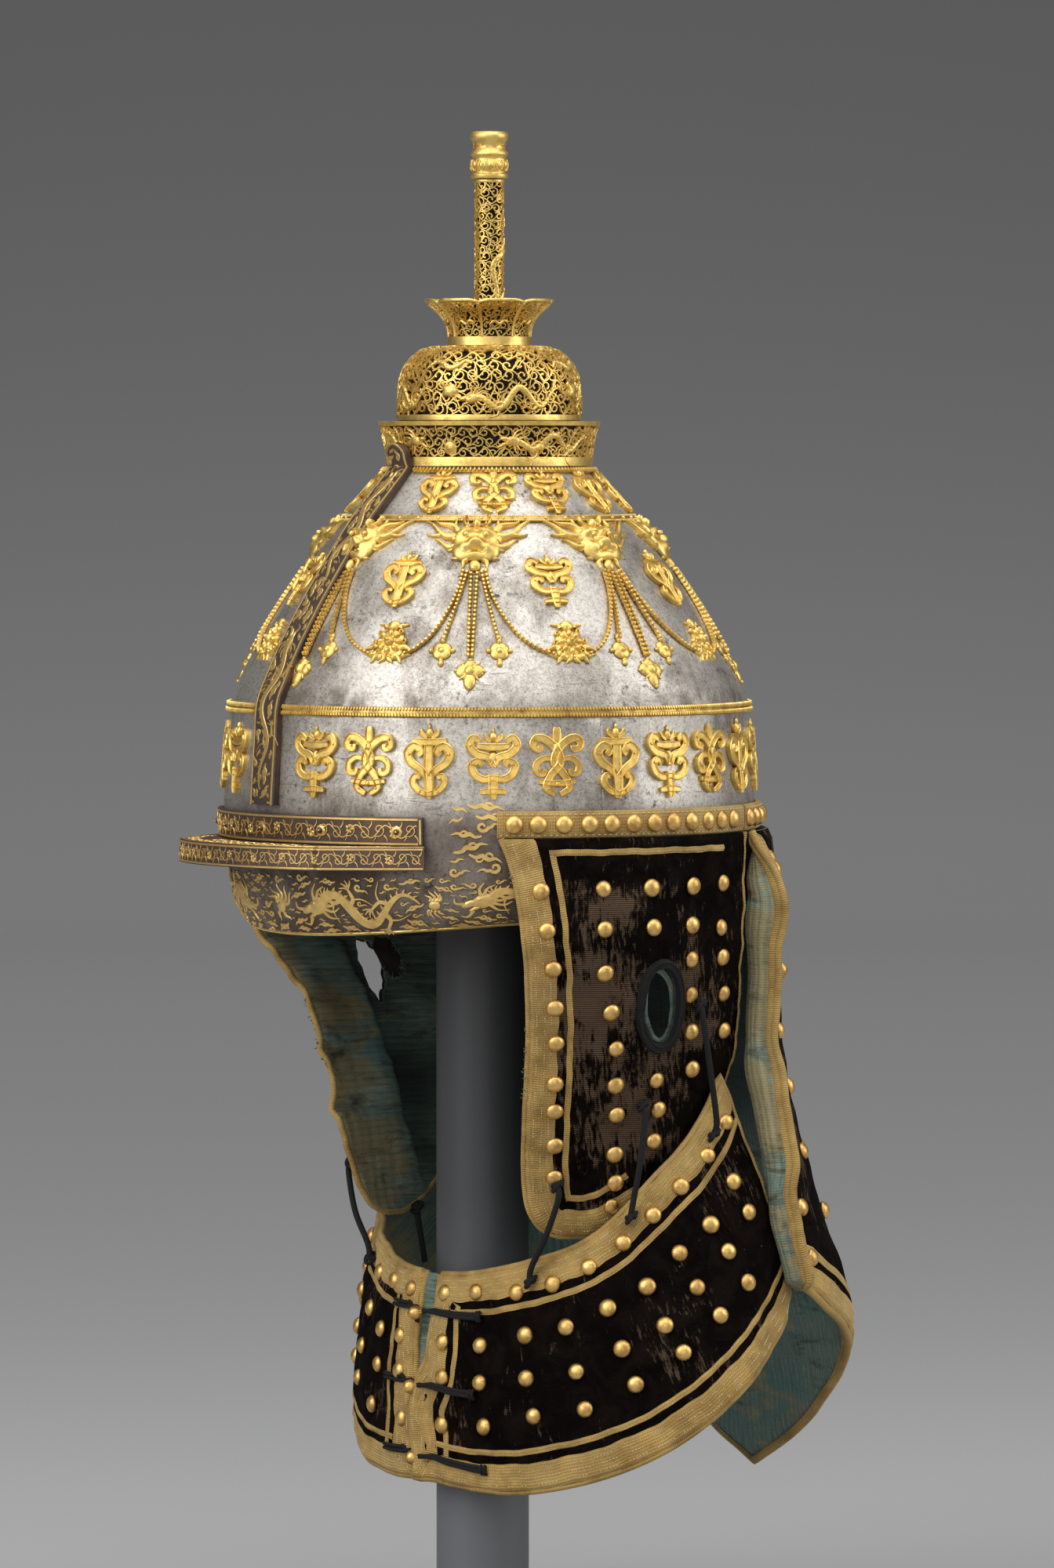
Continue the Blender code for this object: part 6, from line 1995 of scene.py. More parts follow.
def sewPanel(panel, name, stitches, studs):
    # the stitches and studs of one panel, sown by Geometry Nodes
    stitches = [row for row in stitches if row is not None]
    if stitches:
        mesh = sow(name + "Stitches", shapes["stitch"], "stitch", stitches, size=0.85)
        finishPiece(name + "Stitches", mesh)
    if len(studs):
        studs = np.array(studs, float)
        here = panel.place(studs[:, 0], studs[:, 1], 0.45)
        ahead = panel.place(studs[:, 0] + 0.5, studs[:, 1], 0.45) - here
        turns = random.Random(len(name) + len(studs))
        sizes = np.array([turns.uniform(0.93, 1.03) for row in studs])
        outs = panel.outward(studs[:, 0], studs[:, 1])
        outs = outs + np.array([[turns.uniform(-0.10, 0.10) for k in range(3)] for row in studs])
        mesh = sow(name + "Studs", shapes["stud"], "stud",
                   [(here, outs / sizeOf(outs), ahead / sizeOf(ahead), sizes)])
        finishPiece(name + "Studs", mesh)


def smoothTable(rows):
    table = through(rows, 10)
    return table[np.argsort(table[:, 0])]


# ear flaps

flaps = {
    "radius": 113.8, "length": 125.0, "inward": 38.0, "backward": 35.0, "thick": 3.0, "top": 41.6,
    "border": 12.0, "stripFrom": 15.8, "stripTo": 18.3, "topGap": 4.4,
    "stitches": ((3.2, 0.0), (6.4, 5.2), (9.2, 2.0)),      # distance from the edge, start of the first group
    "hole": (92.2, -27.8), "holeHalf": (9.2, 16.2), "tornHalf": (6.2, 13.6), "tornAside": (0.5, 5.6),
    "holeLean": 0.11, "holeCord": 3.7,
    "studs": [                              # angle, height
        (65.8, 20.6), (67.0, 4.6), (68.0, -11.0), (68.1, -27.6), (67.9, -42.2), (67.1, -58.8), (66.7, -70.2),
        (66.3, -84.4), (65.8, -97.6),
        (79.3, 21.1), (79.8, 4.8), (79.2, -13.2), (79.9, -29.2), (80.6, -44.4), (80.3, -60.2), (80.1, -72.4),
        (79.2, -89.0), (79.0, -101.0), (77.7, -110.6),
        (90.5, 21.0), (91.0, 5.0), (89.9, -58.4), (89.9, -70.6), (88.3, -83.6),
        (101.7, 21.1), (101.6, 5.2), (101.2, -9.0), (100.7, -23.8), (100.3, -39.2), (99.8, -54.8),
        (112.0, 21.5), (111.8, 3.4), (111.6, -9.0), (111.0, -24.0), (110.2, -39.4),
    ],
}
# height, front angle, rear angle: the flap's outline
flapRows = [
    (41.6, 57.8, 123.2), (33.0, 59.6, 122.8), (20.0, 61.2, 122.0), (7.0, 62.2, 121.2),
    (-8.0, 62.8, 120.2), (-22.0, 62.7, 119.0), (-36.0, 62.5, 117.2), (-50.0, 61.9, 114.4),
    (-66.0, 61.0, 109.6), (-80.0, 60.3, 104.0), (-93.0, 59.8, 98.0), (-104.0, 59.8, 92.2),
    (-112.0, 60.3, 86.8), (-118.5, 61.8, 81.2), (-122.0, 63.8, 76.8), (-124.0, 66.4, 72.8),
]


def frayHole(pile, panel, middle):
    # the lining is torn away behind the hole: bare brown velvet backing with frayed threads along it
    def inwards(x, y, lift):
        return panel.place(x, y, -panel.thick - np.asarray(lift, float))

    def ragged(around):
        return 0.88 + 0.08 * np.sin(3 * around) + 0.06 * np.sin(7 * around + 1.0)

    boss(pile, inwards, middle, (6.4, 10.4), 0.5, "shade", rings=4, sectors=26, edge=ragged)
    chance = random.Random(9)
    for k in range(46):
        around = math.radians(chance.uniform(-150, 62))
        root = np.array([middle[0] + 5.9 * math.cos(around), middle[1] + 9.8 * math.sin(around)])
        tip = root + np.array([chance.uniform(-2.4, 0.8), chance.uniform(-1.6, 2.2)])
        thread = through([root, (root + tip) / 2 + (chance.uniform(-0.5, 0.5), 0.3), tip], 3)
        lift = np.linspace(0.3, 1.4, len(thread))
        tube(pile, inwards(*thread.T, lift), chance.uniform(0.14, 0.34) * mm, "lining", sides=5)


def frayFront(pile, panel, rows, perDegree):
    # short threads that stand off the worn places of the front edge
    chance = random.Random(21)
    for k in range(60):
        level = chance.choice((chance.uniform(20.0, 38.0), chance.uniform(-66.0, -34.0),
                               chance.uniform(-66.0, -34.0)))
        x = float(np.interp(-level, -rows[:, 0], rows[:, 1])) * perDegree
        root = np.array([x + 0.6, level])
        tip = root + np.array([chance.uniform(-3.0, -0.6), chance.uniform(-1.8, 1.8)])
        thread = through([root, (root + tip) / 2 + (0.0, chance.uniform(-0.6, 0.6)), tip], 2)
        lift = np.linspace(-0.8, chance.uniform(-2.0, 0.6), len(thread))
        thick = chance.uniform(0.12, 0.26) * mm
        finish = "lining" if chance.random() < 0.5 else "ribbon"
        tube(pile, panel.place(*thread.T, lift), thick, finish, sides=4)


def makeHoleCord(side, panel, middle, half, torn):
    # flat black cord sewn round the ear hole, braided at both edges
    pile, wide = Pile(), flaps["holeCord"]
    cx, cy = middle
    hx, hy = half
    turn = np.linspace(0, 2 * math.pi, 56, endpoint=False)

    def grown(by):
        return oval(cx, cy, hx + by, hy + by, turn, torn)

    layRibbon(pile, panel, grown(-0.6), grown(wide), closed=True, height=1.5, finish="cord", base=-0.3)
    for by in (0.5, wide - 1.0):
        braid = panel.place(*grown(by).T, 1.25)
        tube(pile, braid, 0.55 * mm, "cord", sides=6, closedRound=True)
    if not torn:
        # the lining rolled into the hole
        edge = 1.0 + 0.03 * np.sin(3 * turn + 1.0)
        rolled = panel.place(cx + 0.6 + (hx - 1.4) * np.cos(turn) * edge,
                             cy + (hy - 1.4) * np.sin(turn) * edge, -2.6)
        tube(pile, rolled, (1.2 + 0.35 * np.sin(turn - 0.8)) * mm, "lining", sides=8, closedRound=True)
    word = sideNames[side]
    pile.make("earHoleCord" + word.capitalize(), "cord", ["ear_hole_cord_" + word], sharp=60)


def makeFlap(side):
    perDegree = math.radians(flaps["radius"])
    rows = through(flapRows, 8)
    torn = side < 0
    hx, hy = flaps["tornHalf"] if torn else flaps["holeHalf"]
    aside = flaps["tornAside"] if torn else (0.0, 0.0)
    cx, cy = flaps["hole"][0] * perDegree + aside[0], flaps["hole"][1] + aside[1]

    def base(x, y):
        drop = np.clip(-y, 0, None) / flaps["length"]
        turn = x / flaps["radius"]
        px = flaps["radius"] * np.sin(turn) - flaps["inward"] * drop
        py = -flaps["radius"] * np.cos(turn) + flaps["backward"] * drop
        return toWorld(np.stack([side * px, py, y], -1))

    def folds(x, y):
        angle = x / perDegree
        low = np.clip((30.0 - y) / 30.0, 0, 1)
        lift = 0.9 * np.sin(x * 0.11 + 0.5 * np.sin(y * 0.05)) * np.sin(y * 0.07 + 1.0) * low
        lift += 0.45 * np.sin(y * 0.34 + 0.6 * np.sin(x * 0.16)) * np.sin(x * 0.09 + y * 0.03 + 2.0)
        lift += 0.25 * np.sin(x * 0.7 + y * 0.25) * np.sin(y * 0.53 - 0.2 * x)
        if torn:
            # this flap is creased down from its ear hole: the front part leans in
            share = np.clip((angle - 85.0 - 0.04 * (y + 28)) / 2.4, 0, 1)
            crease = share * share * (3 - 2 * share)
            lift += -9.5 * (1 - crease) * np.clip((-8.0 - y) / 26.0, 0, 1) * np.clip((y + 124) / 60.0, 0.15, 1)
            lift += 1.7 * np.exp(-((y - 8.0 * np.sin(x * 0.03) + 52.0) / 4.0) ** 2)
            lift += 1.4 * np.exp(-((y - 5.0 * np.sin(x * 0.05 + 1.0) + 84.0) / 3.6) ** 2)
            lift += 1.1 * np.exp(-((y + 0.12 * x + 66.0) / 4.0) ** 2)
            lift -= 0.9 * np.exp(-((y + 8.0 + 0.05 * x) / 4.5) ** 2)
            lift += 0.6 * np.sin(y * 0.62 + 0.4 * np.sin(x * 0.1)) * np.exp(-((angle - 76) / 14.0) ** 2)
        return lift

    def inside(u, v):
        at = v * (len(rows) - 1)
        index = np.arange(len(rows))
        height, front, rear = (np.interp(at, index, rows[:, k]) for k in range(3))
        return (front + u * (rear - front)) * perDegree, height

    def wear(x, y):
        angle = x / perDegree
        worn = 0.06 + 0.40 * np.exp(-((angle - 76) / 8.5) ** 2 - ((y + 26) / 30.0) ** 2)
        worn += 0.34 * np.exp(-((angle - 84) / 14.0) ** 2 - ((y + 80) / 22.0) ** 2)
        worn += 0.30 * np.exp(-((angle - 80) / 10.0) ** 2 - ((y - 12) / 9.0) ** 2)
        worn += 0.28 * np.exp(-((angle - 106) / 8.0) ** 2 - ((y + 24) / 30.0) ** 2)
        worn += 0.26 * np.exp(-edgeDistance(x, y, ring) / 6.0)
        return worn

    def fadeAndPaintedLight(x, y):
        angle = x / perDegree
        # paler towards the front edge, as yellowing and painted light on the lit front part; darker past 79
        # degrees as painted shade on the rear part, behind the torn flap's crease; varying in bands up the flap
        worn = 0.60 * np.exp(-((angle - 62.5) / 5.0) ** 2) + 0.42 * np.exp(-((angle - 72) / 9.0) ** 2)
        worn = worn - 0.42 * np.clip((angle - 79) / 8.0, 0, 1)
        return worn * np.clip(0.75 + 0.5 * np.sin(y * 0.11) * np.sin(y * 0.043 + 1.0), 0, 1.2)

    turn = np.linspace(0, 2 * math.pi, 40, endpoint=False)
    ring = oval(cx, cy, hx, hy, turn, torn)
    front = resample(np.column_stack([rows[:, 1] * perDegree, rows[:, 0]]), 2.0)
    foot = resample(np.column_stack([[rows[-1, 1] * perDegree, rows[-1, 2] * perDegree], [rows[-1, 0]] * 2]), 2.0)
    rear = resample(np.column_stack([rows[:, 2] * perDegree, rows[:, 0]])[::-1], 2.0)
    bordered = np.vstack([front, foot[1:-1], rear])
    topEdge = resample(np.array([rear[-1], front[0]]), 2.0)[1:-1]
    outline = np.vstack([bordered, topEdge])
    studs = [(angle * perDegree, height) for angle, height in flaps["studs"]]
    panel = Panel(base, outline, flaps["thick"], side, folds, studs)
    name = "earFlap" + sideNames[side].capitalize()
    body = Pile()
    clothBody(body, panel, inside, 48, 68, wear, ((cx, cy), (hx, hy), torn), fadeAndPaintedLight=fadeAndPaintedLight)
    edge = panel.place(bordered[:, 0], bordered[:, 1], -0.5 * flaps["thick"])
    tube(body, edge, 1.35 * mm, "ribbon", sides=8)
    # the border runs down the front and round the foot, as far as the collar covers
    border = len(front) + len(foot) + 14
    raised = outline.copy()
    raised[raised[:, 1] > flaps["top"] - 0.5, 1] += 30.0
    layRibbon(body, panel, *(topped(inset(raised, distance)[:border], flaps["top"])
                             for distance in (0.25, flaps["border"])))
    lowered = outline.copy()
    atTop = lowered[:, 1] > flaps["top"] - 0.5
    lowered[atTop, 1] = flaps["top"] + flaps["stripFrom"] - flaps["topGap"]
    clean, keep = cleared(lowered, (0, len(bordered) - 1), 21.0)
    start, stop = int(keep[:len(bordered)].sum()), int(keep[:border].sum())
    strips = [inset(clean, flaps[edge]) for edge in ("stripFrom", "stripTo")]
    strips = [np.vstack([line[start:], line[:stop]]) for line in strips]
    layRibbon(body, panel, *lanes(*strips), height=0.5)
    if torn:
        frayHole(body, panel, (cx + 9.6, cy + 3.6))
    frayFront(body, panel, rows, perDegree)
    piece = body.make(name, "velvet", ["ear_flap_" + sideNames[side]], sharp=70)
    stitches = [dashes(panel, inset(outline, distance)[2:border - 2], start=start)
                for distance, start in flaps["stitches"]]
    sewPanel(panel, name, stitches, studs)
    makeHoleCord(side, panel, (cx, cy), (hx, hy), torn)
    print(name, "made")


# bands under the bowl's edge

bands = {"foot": 42.0, "height": 10.4, "thick": 2.4,
         "side": (57.0, 123.6), "nape": (124.4, 235.6),
         "sideStuds": (60.4, 65.4, 70.9, 76.4, 81.4, 86.6, 91.8, 96.8, 102.2, 107.6, 112.6, 117.6),
         "napeStuds": (126.6, 131.4, 136.8, 142.0, 147.4, 152.6, 158.0, 163.4, 168.8, 174.4, 180.0)}


def makeBand(name, node, low, high, studs):
    # folded ribbon with a round top edge, held to the bowl by a row of domed studs
    surface = bowlSurface
    foot = surface.runAt(bands["foot"])
    radius = float(surface.radiusAt(foot - 0.5 * bands["height"]))
    count = int((high - low) * 1.6)
    turn = np.linspace(low, high, count)
    up, lift = sectionRows([(0.0, 0.5), (0.0, 1.9), (0.7, 2.5), (3.0, 2.7), (7.4, 2.7), (9.8, 2.5),
                            (10.6, 1.8), (10.7, 0.5)])
    wave = 0.22 * np.sin(turn * 0.9) + 0.12 * np.sin(turn * 2.3 + 1.0)
    points = surface.place(turn[:, None], foot - up, lift + (lift > 1.0) * wave[:, None] * 0.6)
    total = up.shape[1]
    pile = Pile()
    cloth = np.zeros((count, total, 3))
    cloth[..., 0], cloth[..., 1] = up, (np.radians(turn) * radius)[:, None]
    pile.add(points, barFaces(count, total, "ribbon"), cloth=cloth)
    pile.make(name, "ribbon", [node], sharp=50)
    turns = np.array(studs)
    here = surface.place(turns, foot - 5.3, 2.5)
    outs = surface.place(turns, foot - 5.3, 3.5) - here
    mesh = sow(name + "Studs", shapes["stud"], "stud", [(here, outs / mm, np.array([0.0, 0.0, 1.0]), 1.04)])
    finishPiece(name + "Studs", mesh)
    rows = []
    for up in (1.2, 9.3):
        spots = np.arange(low + 0.8, high - 0.8, 1.3)
        here = surface.place(spots, foot - up, 2.65)
        ahead = surface.place(spots + 0.2, foot - up, 2.65) - here
        outs = surface.place(spots, foot - up, 3.65) - here
        rows.append((here, outs / mm, ahead / sizeOf(ahead)))
    finishPiece(name + "Stitches", sow(name + "Stitches", shapes["stitch"], "stitch", rows))


def makeBands():
    for side, word in sideNames.items():
        low, high = bands["side"]
        studs = bands["sideStuds"]
        angles = (low, high) if side > 0 else (360 - high, 360 - low)
        spots = studs if side > 0 else tuple(360 - s for s in studs)
        makeBand("earBand" + word.capitalize(), "ear_band_" + word, *angles, spots)
    studs = bands["napeStuds"]
    makeBand("napeBand", "nape_band", *bands["nape"], studs + tuple(360 - s for s in studs[:-1]))
    print("bands made")


# nape guard

nape = {"perDegree": 2.1, "top": 41.6, "thick": 5.0, "edge": 52.4, "lip": 14.0,
        "lipTurn": 2.8, "lipReach": 8.8, "side": 34.6, "border": 10.5, "stripFrom": 14.0, "stripTo": 17.4,
        "turnedOver": 4.2, "stitches": ((2.8, 0.0), (5.6, 5.0), (8.4, 2.0)),
        "studRows": (24.0, 4.0, -18.0, -42.0, -66.0, -92.0, -118.0, -144.0, -168.0), "studStep": 11.6,
        "studLimits": (44.0, -130.0, 30.0),      # degrees from the centre back, and fewer below this height
        "studAboveHem": 24.0, "edgeStuds": (30.0, -136.0, -20.5), "edgeStudIn": 6.5}
# share of the drop, then the outer radius at the edge, at the side and at the centre back
napeRows = [
    (0.00, 117.2, 117.0, 117.0), (0.05, 119.2, 117.8, 117.4), (0.12, 120.6, 119.6, 119.0),
    (0.24, 119.4, 121.6, 120.6), (0.38, 119.6, 120.6, 120.4), (0.52, 120.4, 124.6, 122.8),
    (0.66, 125.0, 132.0, 128.0), (0.78, 129.4, 139.0, 132.4), (0.90, 134.0, 148.4, 135.8),
    (1.00, 139.0, 152.0, 137.4),
]
# angle from the centre back, height: the lower edge, which comes to a point
napeHemRows = [(0.0, -231.0), (8.0, -221.0), (18.0, -205.0), (27.0, -187.0), (34.6, -171.0),
               (43.0, -159.0), (52.0, -146.0), (60.0, -137.0)]


def makeNapeGuard():
    radii = smoothTable(napeRows)
    hem = smoothTable(napeHemRows)
    main = nape["edge"] * nape["perDegree"]
    reach = main + nape["lip"]

    def base(x, y):
        # x runs from the centre back towards the wearer's left
        far = np.abs(x)
        share = np.clip((far - main) / nape["lip"], 0.0, 1.2)
        away = np.minimum(far, main) / nape["perDegree"] + nape["lipTurn"] * share
        drop = np.clip((nape["top"] - y) / (nape["top"] - np.interp(away, hem[:, 0], hem[:, 1])), 0.0, 1.05)
        edge, side, back = (np.interp(drop, radii[:, 0], radii[:, k]) for k in (1, 2, 3))
        inner = 0.5 - 0.5 * np.cos(np.pi * np.clip(away / nape["side"], 0, 1))
        outer = np.clip((away - nape["side"]) / (nape["edge"] - nape["side"]), 0, 1)
        radius = back + (side - back) * inner
        radius = radius + (edge - side) * outer
        fade = np.sin(0.5 * np.pi * np.clip(drop / 0.16, 0, 1))
        fade = fade * (1.0 - 0.45 * np.clip((drop - 0.75) / 0.25, 0, 1))
        fade = fade * (1.0 + 0.13 * np.sin(y * 0.075 + 1.0) + 0.07 * np.sin(y * 0.19))
        radius = radius + nape["lipReach"] * fade * share ** 1.25
        turn = np.pi - np.sign(x) * np.radians(away)
        return toWorld(np.stack([radius * np.sin(turn), -radius * np.cos(turn), y], -1))

    def folds(x, y):
        drop = np.clip((36.0 - y) / 60.0, 0, 1)
        lift = 1.5 * np.sin(x * 0.052 + 1.1) * np.sin(y * 0.023 + 0.7) * drop
        lift += 0.8 * np.sin(x * 0.13 + 0.02 * y) * np.sin(y * 0.045 + 0.03 * x) * drop
        lift += 0.35 * np.sin(y * 0.31 + 0.3 * np.sin(x * 0.2)) * np.sin(x * 0.11)
        lift += 1.2 * np.exp(-((np.abs(x) - 58) / 9.0) ** 2) * np.sin(y * 0.035) * drop
        return lift

    def hemAt(x):
        far = np.abs(x)
        away = np.minimum(far, main) / nape["perDegree"] + np.clip(far - main, 0, None) * 0.19
        return np.interp(away, hem[:, 0], hem[:, 1])

    def inside(u, v):
        x = (2 * u - 1) * reach
        return x, nape["top"] + v * (hemAt(x) - nape["top"])

    def wear(x, y):
        worn = 0.26 * np.exp(-((np.abs(x) - 95) / 14.0) ** 2) + 0.14 * np.sin(x * 0.045) * np.sin(y * 0.03)
        return worn + 0.12 * np.exp(-((y + 20) / 40.0) ** 2)

    down = np.linspace(nape["top"], float(hemAt(np.array(reach))), 90)
    hemX = np.linspace(reach, -reach, 141)
    nearEdge = np.column_stack([np.full(90, reach), down])
    farEdge = np.column_stack([np.full(90, -reach), down[::-1]])
    hemLine = np.column_stack([hemX, hemAt(hemX)])
    bordered = resample(np.vstack([nearEdge, hemLine[1:-1], farEdge]), 2.4)
    topEdge = resample(np.array([farEdge[-1], nearEdge[0]]), 2.4)[1:-1]
    outline = np.vstack([bordered, topEdge])
    # the outline runs clockwise seen with x to the right, so it is turned round for the insets
    turned = outline[::-1]
    studs = []
    wideLimit, narrowBelow, narrowLimit = nape["studLimits"]
    for row, height in enumerate(nape["studRows"]):
        limit = wideLimit if height > narrowBelow else narrowLimit
        for k in range(-4, 5):
            away = (k + (0.5 if row % 2 else 0.0)) * nape["studStep"]
            x = away * nape["perDegree"]
            if abs(away) < limit and height > float(hemAt(np.array(x))) + nape["studAboveHem"]:
                studs.append((x, height))
    for sign in (-1, 1):
        for height in np.arange(*nape["edgeStuds"]):
            studs.append((sign * (main - nape["edgeStudIn"]), height))
    panel = Panel(base, outline, nape["thick"], -1.0, folds, studs, roundness=2.6)

    def puff(x, y):
        # the lining rolls out beside each long edge
        share = np.clip(np.abs(np.abs(x) - (reach - 10.6)) / 7.8, 0, 1)
        swell = 5.3 + 0.8 * np.sin(y * 0.09) + 0.5 * np.sin(y * 0.21 + 1.0)
        return swell * np.sqrt(1 - share ** 2) * np.clip((36.0 - y) / 14.0, 0, 1)

    def fadeAndPaintedLight(x, y):
        # paler along the rolled edges; darker in the middle, away from them, as painted shade inside the guard
        lip = np.exp(-((np.abs(x) - (reach - 8.0)) / 9.0) ** 2) * np.clip((y + 130) / 60, 0.25, 1)
        return 0.58 * lip - 0.5 * np.clip((main - 4.0 - np.abs(x)) / 10.0, 0, 1) * np.clip((y + 110) / 40, 0, 1)

    body = Pile()
    clothBody(body, panel, inside, 92, 54, wear, swap=False, puff=puff, fadeAndPaintedLight=fadeAndPaintedLight)
    edgeLine = panel.place(bordered[:, 0], bordered[:, 1], -0.5 * nape["thick"])
    tube(body, edgeLine, 1.7 * mm, "ribbon", sides=8)
    count = len(bordered)

    def borderLine(distance):
        moved = inset(turned, distance)[::-1][:count]
        moved[:, 1] = np.minimum(moved[:, 1], nape["top"])
        return moved

    layRibbon(body, panel, borderLine(0.3), borderLine(nape["border"]))
    layRibbon(body, panel, borderLine(nape["stripFrom"]), borderLine(nape["stripTo"]), height=0.5)
    # ribbon turned over the edge on to the lining
    outerLine, innerLine = borderLine(0.3), borderLine(nape["turnedOver"])
    upright = np.clip((np.abs(bordered[:, 0]) - main + 6.0) / 8.0, 0.16, 1.0)[:, None]
    layBack(body, panel, outerLine, outerLine + (innerLine - outerLine) * upright)
    piece = body.make("napeGuard", "velvet", ["nape_guard"], sharp=70)
    stitches = [dashes(panel, borderLine(distance)[2:-2], start=start) for distance, start in nape["stitches"]]
    sewPanel(panel, "napeGuard", stitches, studs)
    print("nape guard made")


def layBack(pile, panel, outer, inner):
    # a narrow strip of ribbon on the lining's side of an edge
    height, cover = 0.5, 3.0
    share = np.linspace(0.0, 1.0, 4)
    x = outer[:, :1] + (inner[:, :1] - outer[:, :1]) * share
    y = outer[:, 1:] + (inner[:, 1:] - outer[:, 1:]) * share
    low = panel.place(x, y, -panel.thick - height + 0.0 * x)
    top = panel.place(x[:, ::-1], y[:, ::-1], -panel.thick + 0.3 + 0.0 * x)
    points = np.concatenate([low, top], 1)
    rows, total = points.shape[:2]
    cloth = np.zeros((rows, total, 3))
    cloth[..., 0] = np.concatenate([share * cover, share[::-1] * cover])[None, :]
    cloth[..., 1] = lengthsAlong(outer)[:, None]
    pile.add(points, barFaces(rows, total, "ribbon"), cloth=cloth)


# collar

collar = {"thick": 3.6, "centre": 38.0, "topReach": (96.0, 68.0), "hemCentre": 43.0, "hemReach": (117.0, 78.0),
          "frontAngles": (3.4, -2.4), "swell": 3.4, "wide": 188.0, "tall": 92.0,
          "border": 11.8, "stripFrom": 15.2, "stripTo": 17.8, "stitches": ((2.8, 0.0), (5.8, 5.0), (8.8, 2.0)),
          "studs": [                     # share of the way round, share of the way down
              (0.040, 0.09), (0.140, 0.085), (0.255, 0.115), (0.357, 0.12), (0.462, 0.11), (0.565, 0.105),
              (0.660, 0.11), (0.755, 0.11), (0.858, 0.115), (0.950, 0.12),
              (0.048, 0.32), (0.046, 0.49), (0.038, 0.72),
              (0.152, 0.33), (0.265, 0.31), (0.370, 0.32), (0.477, 0.31), (0.583, 0.33), (0.684, 0.32),
              (0.785, 0.33), (0.895, 0.30),
              (0.145, 0.50), (0.258, 0.50), (0.370, 0.52), (0.480, 0.50), (0.590, 0.52), (0.693, 0.49),
              (0.800, 0.48), (0.905, 0.46),
              (0.150, 0.70), (0.262, 0.67), (0.370, 0.69), (0.485, 0.67), (0.608, 0.67), (0.720, 0.66),
              (0.828, 0.67)]}
# share of the way round, top angle, top height, hem angle, hem height
collarRows = [
    (0.00, 0.0, -142.0, 0.0, -226.5), (0.10, 10.5, -141.0, 13.0, -228.4),
    (0.20, 21.0, -138.2, 26.0, -228.0), (0.30, 32.0, -134.0, 39.0, -224.0),
    (0.40, 42.5, -129.4, 52.0, -217.6), (0.50, 52.5, -122.4, 65.0, -208.8),
    (0.60, 62.0, -111.6, 77.0, -198.4), (0.70, 72.0, -98.8, 89.0, -186.6),
    (0.80, 82.0, -87.6, 101.0, -173.6), (0.90, 92.0, -74.0, 111.0, -161.6),
    (1.00, 101.5, -58.0, 119.0, -148.0),
]


def collarPanel(side):
    table = smoothTable(collarRows)
    front = collar["frontAngles"][0] if side > 0 else -collar["frontAngles"][1]

    def base(x, y):
        around, down = x / collar["wide"], -y / collar["tall"]
        topAngle, topLevel, hemAngle, hemLevel = (np.interp(around, table[:, 0], table[:, k])
                                                  for k in (1, 2, 3, 4))
        if side < 0:
            # the far half is drawn up at the cheek
            hemLevel = hemLevel + 11.0 * np.clip(around / 0.34, 0, 1) ** 1.6
        past = np.clip(around - 1.0, 0, None) + np.clip(around, None, 0)
        topTurn = np.radians(front * (1 - around) + topAngle + past * 95)
        hemTurn = np.radians(front * (1 - around) + hemAngle + past * 95)
        top = np.stack([collar["topReach"][0] * np.sin(topTurn),
                        collar["centre"] - collar["topReach"][1] * np.cos(topTurn), topLevel], -1)
        hem = np.stack([collar["hemReach"][0] * np.sin(hemTurn),
                        collar["hemCentre"] - collar["hemReach"][1] * np.cos(hemTurn), hemLevel], -1)
        point = top + (hem - top) * down[..., None]
        middle = 0.5 * (topTurn + hemTurn)
        swell = collar["swell"] * np.sin(np.pi * np.clip(down, 0, 1))
        point = point + np.stack([swell * np.sin(middle), -swell * np.cos(middle), 0 * swell], -1)
        return toWorld(point * np.array([side, 1.0, 1.0]))

    def folds(x, y):
        lift = 0.9 * np.sin(x * 0.085 + 0.9) * np.sin(-y * 0.06 + 0.4)
        lift += 0.55 * np.sin(x * 0.21 - y * 0.10 + 0.5) * np.sin(y * 0.09 + 0.02 * x)
        lift += 0.30 * np.sin(x * 0.47 + y * 0.22) * np.sin(y * 0.31 - 0.1 * x + 1.0)
        ridge = np.exp(-((y + 0.16 * (x - 60) + 24) / 2.6) ** 2) * np.exp(-((x - 66) / 20.0) ** 2)
        ridge += np.exp(-((y + 0.22 * (x - 118) + 30) / 2.6) ** 2) * np.exp(-((x - 120) / 18.0) ** 2)
        ridge += np.exp(-((y + 0.18 * (x - 96) + 56) / 2.6) ** 2) * np.exp(-((x - 98) / 22.0) ** 2)
        ridge += 0.7 * np.exp(-((y + 0.1 * (x - 40) + 64) / 2.4) ** 2) * np.exp(-((x - 42) / 14.0) ** 2)
        return lift + 0.9 * ridge

    def creases(x, y):
        # the near half's front edge laps over the far one lower down
        lap = np.clip((-x - 0.5) / 3.0, 0, 1) if side > 0 else 0.0
        return folds(x, y) + 3.4 * lap

    return base, creases


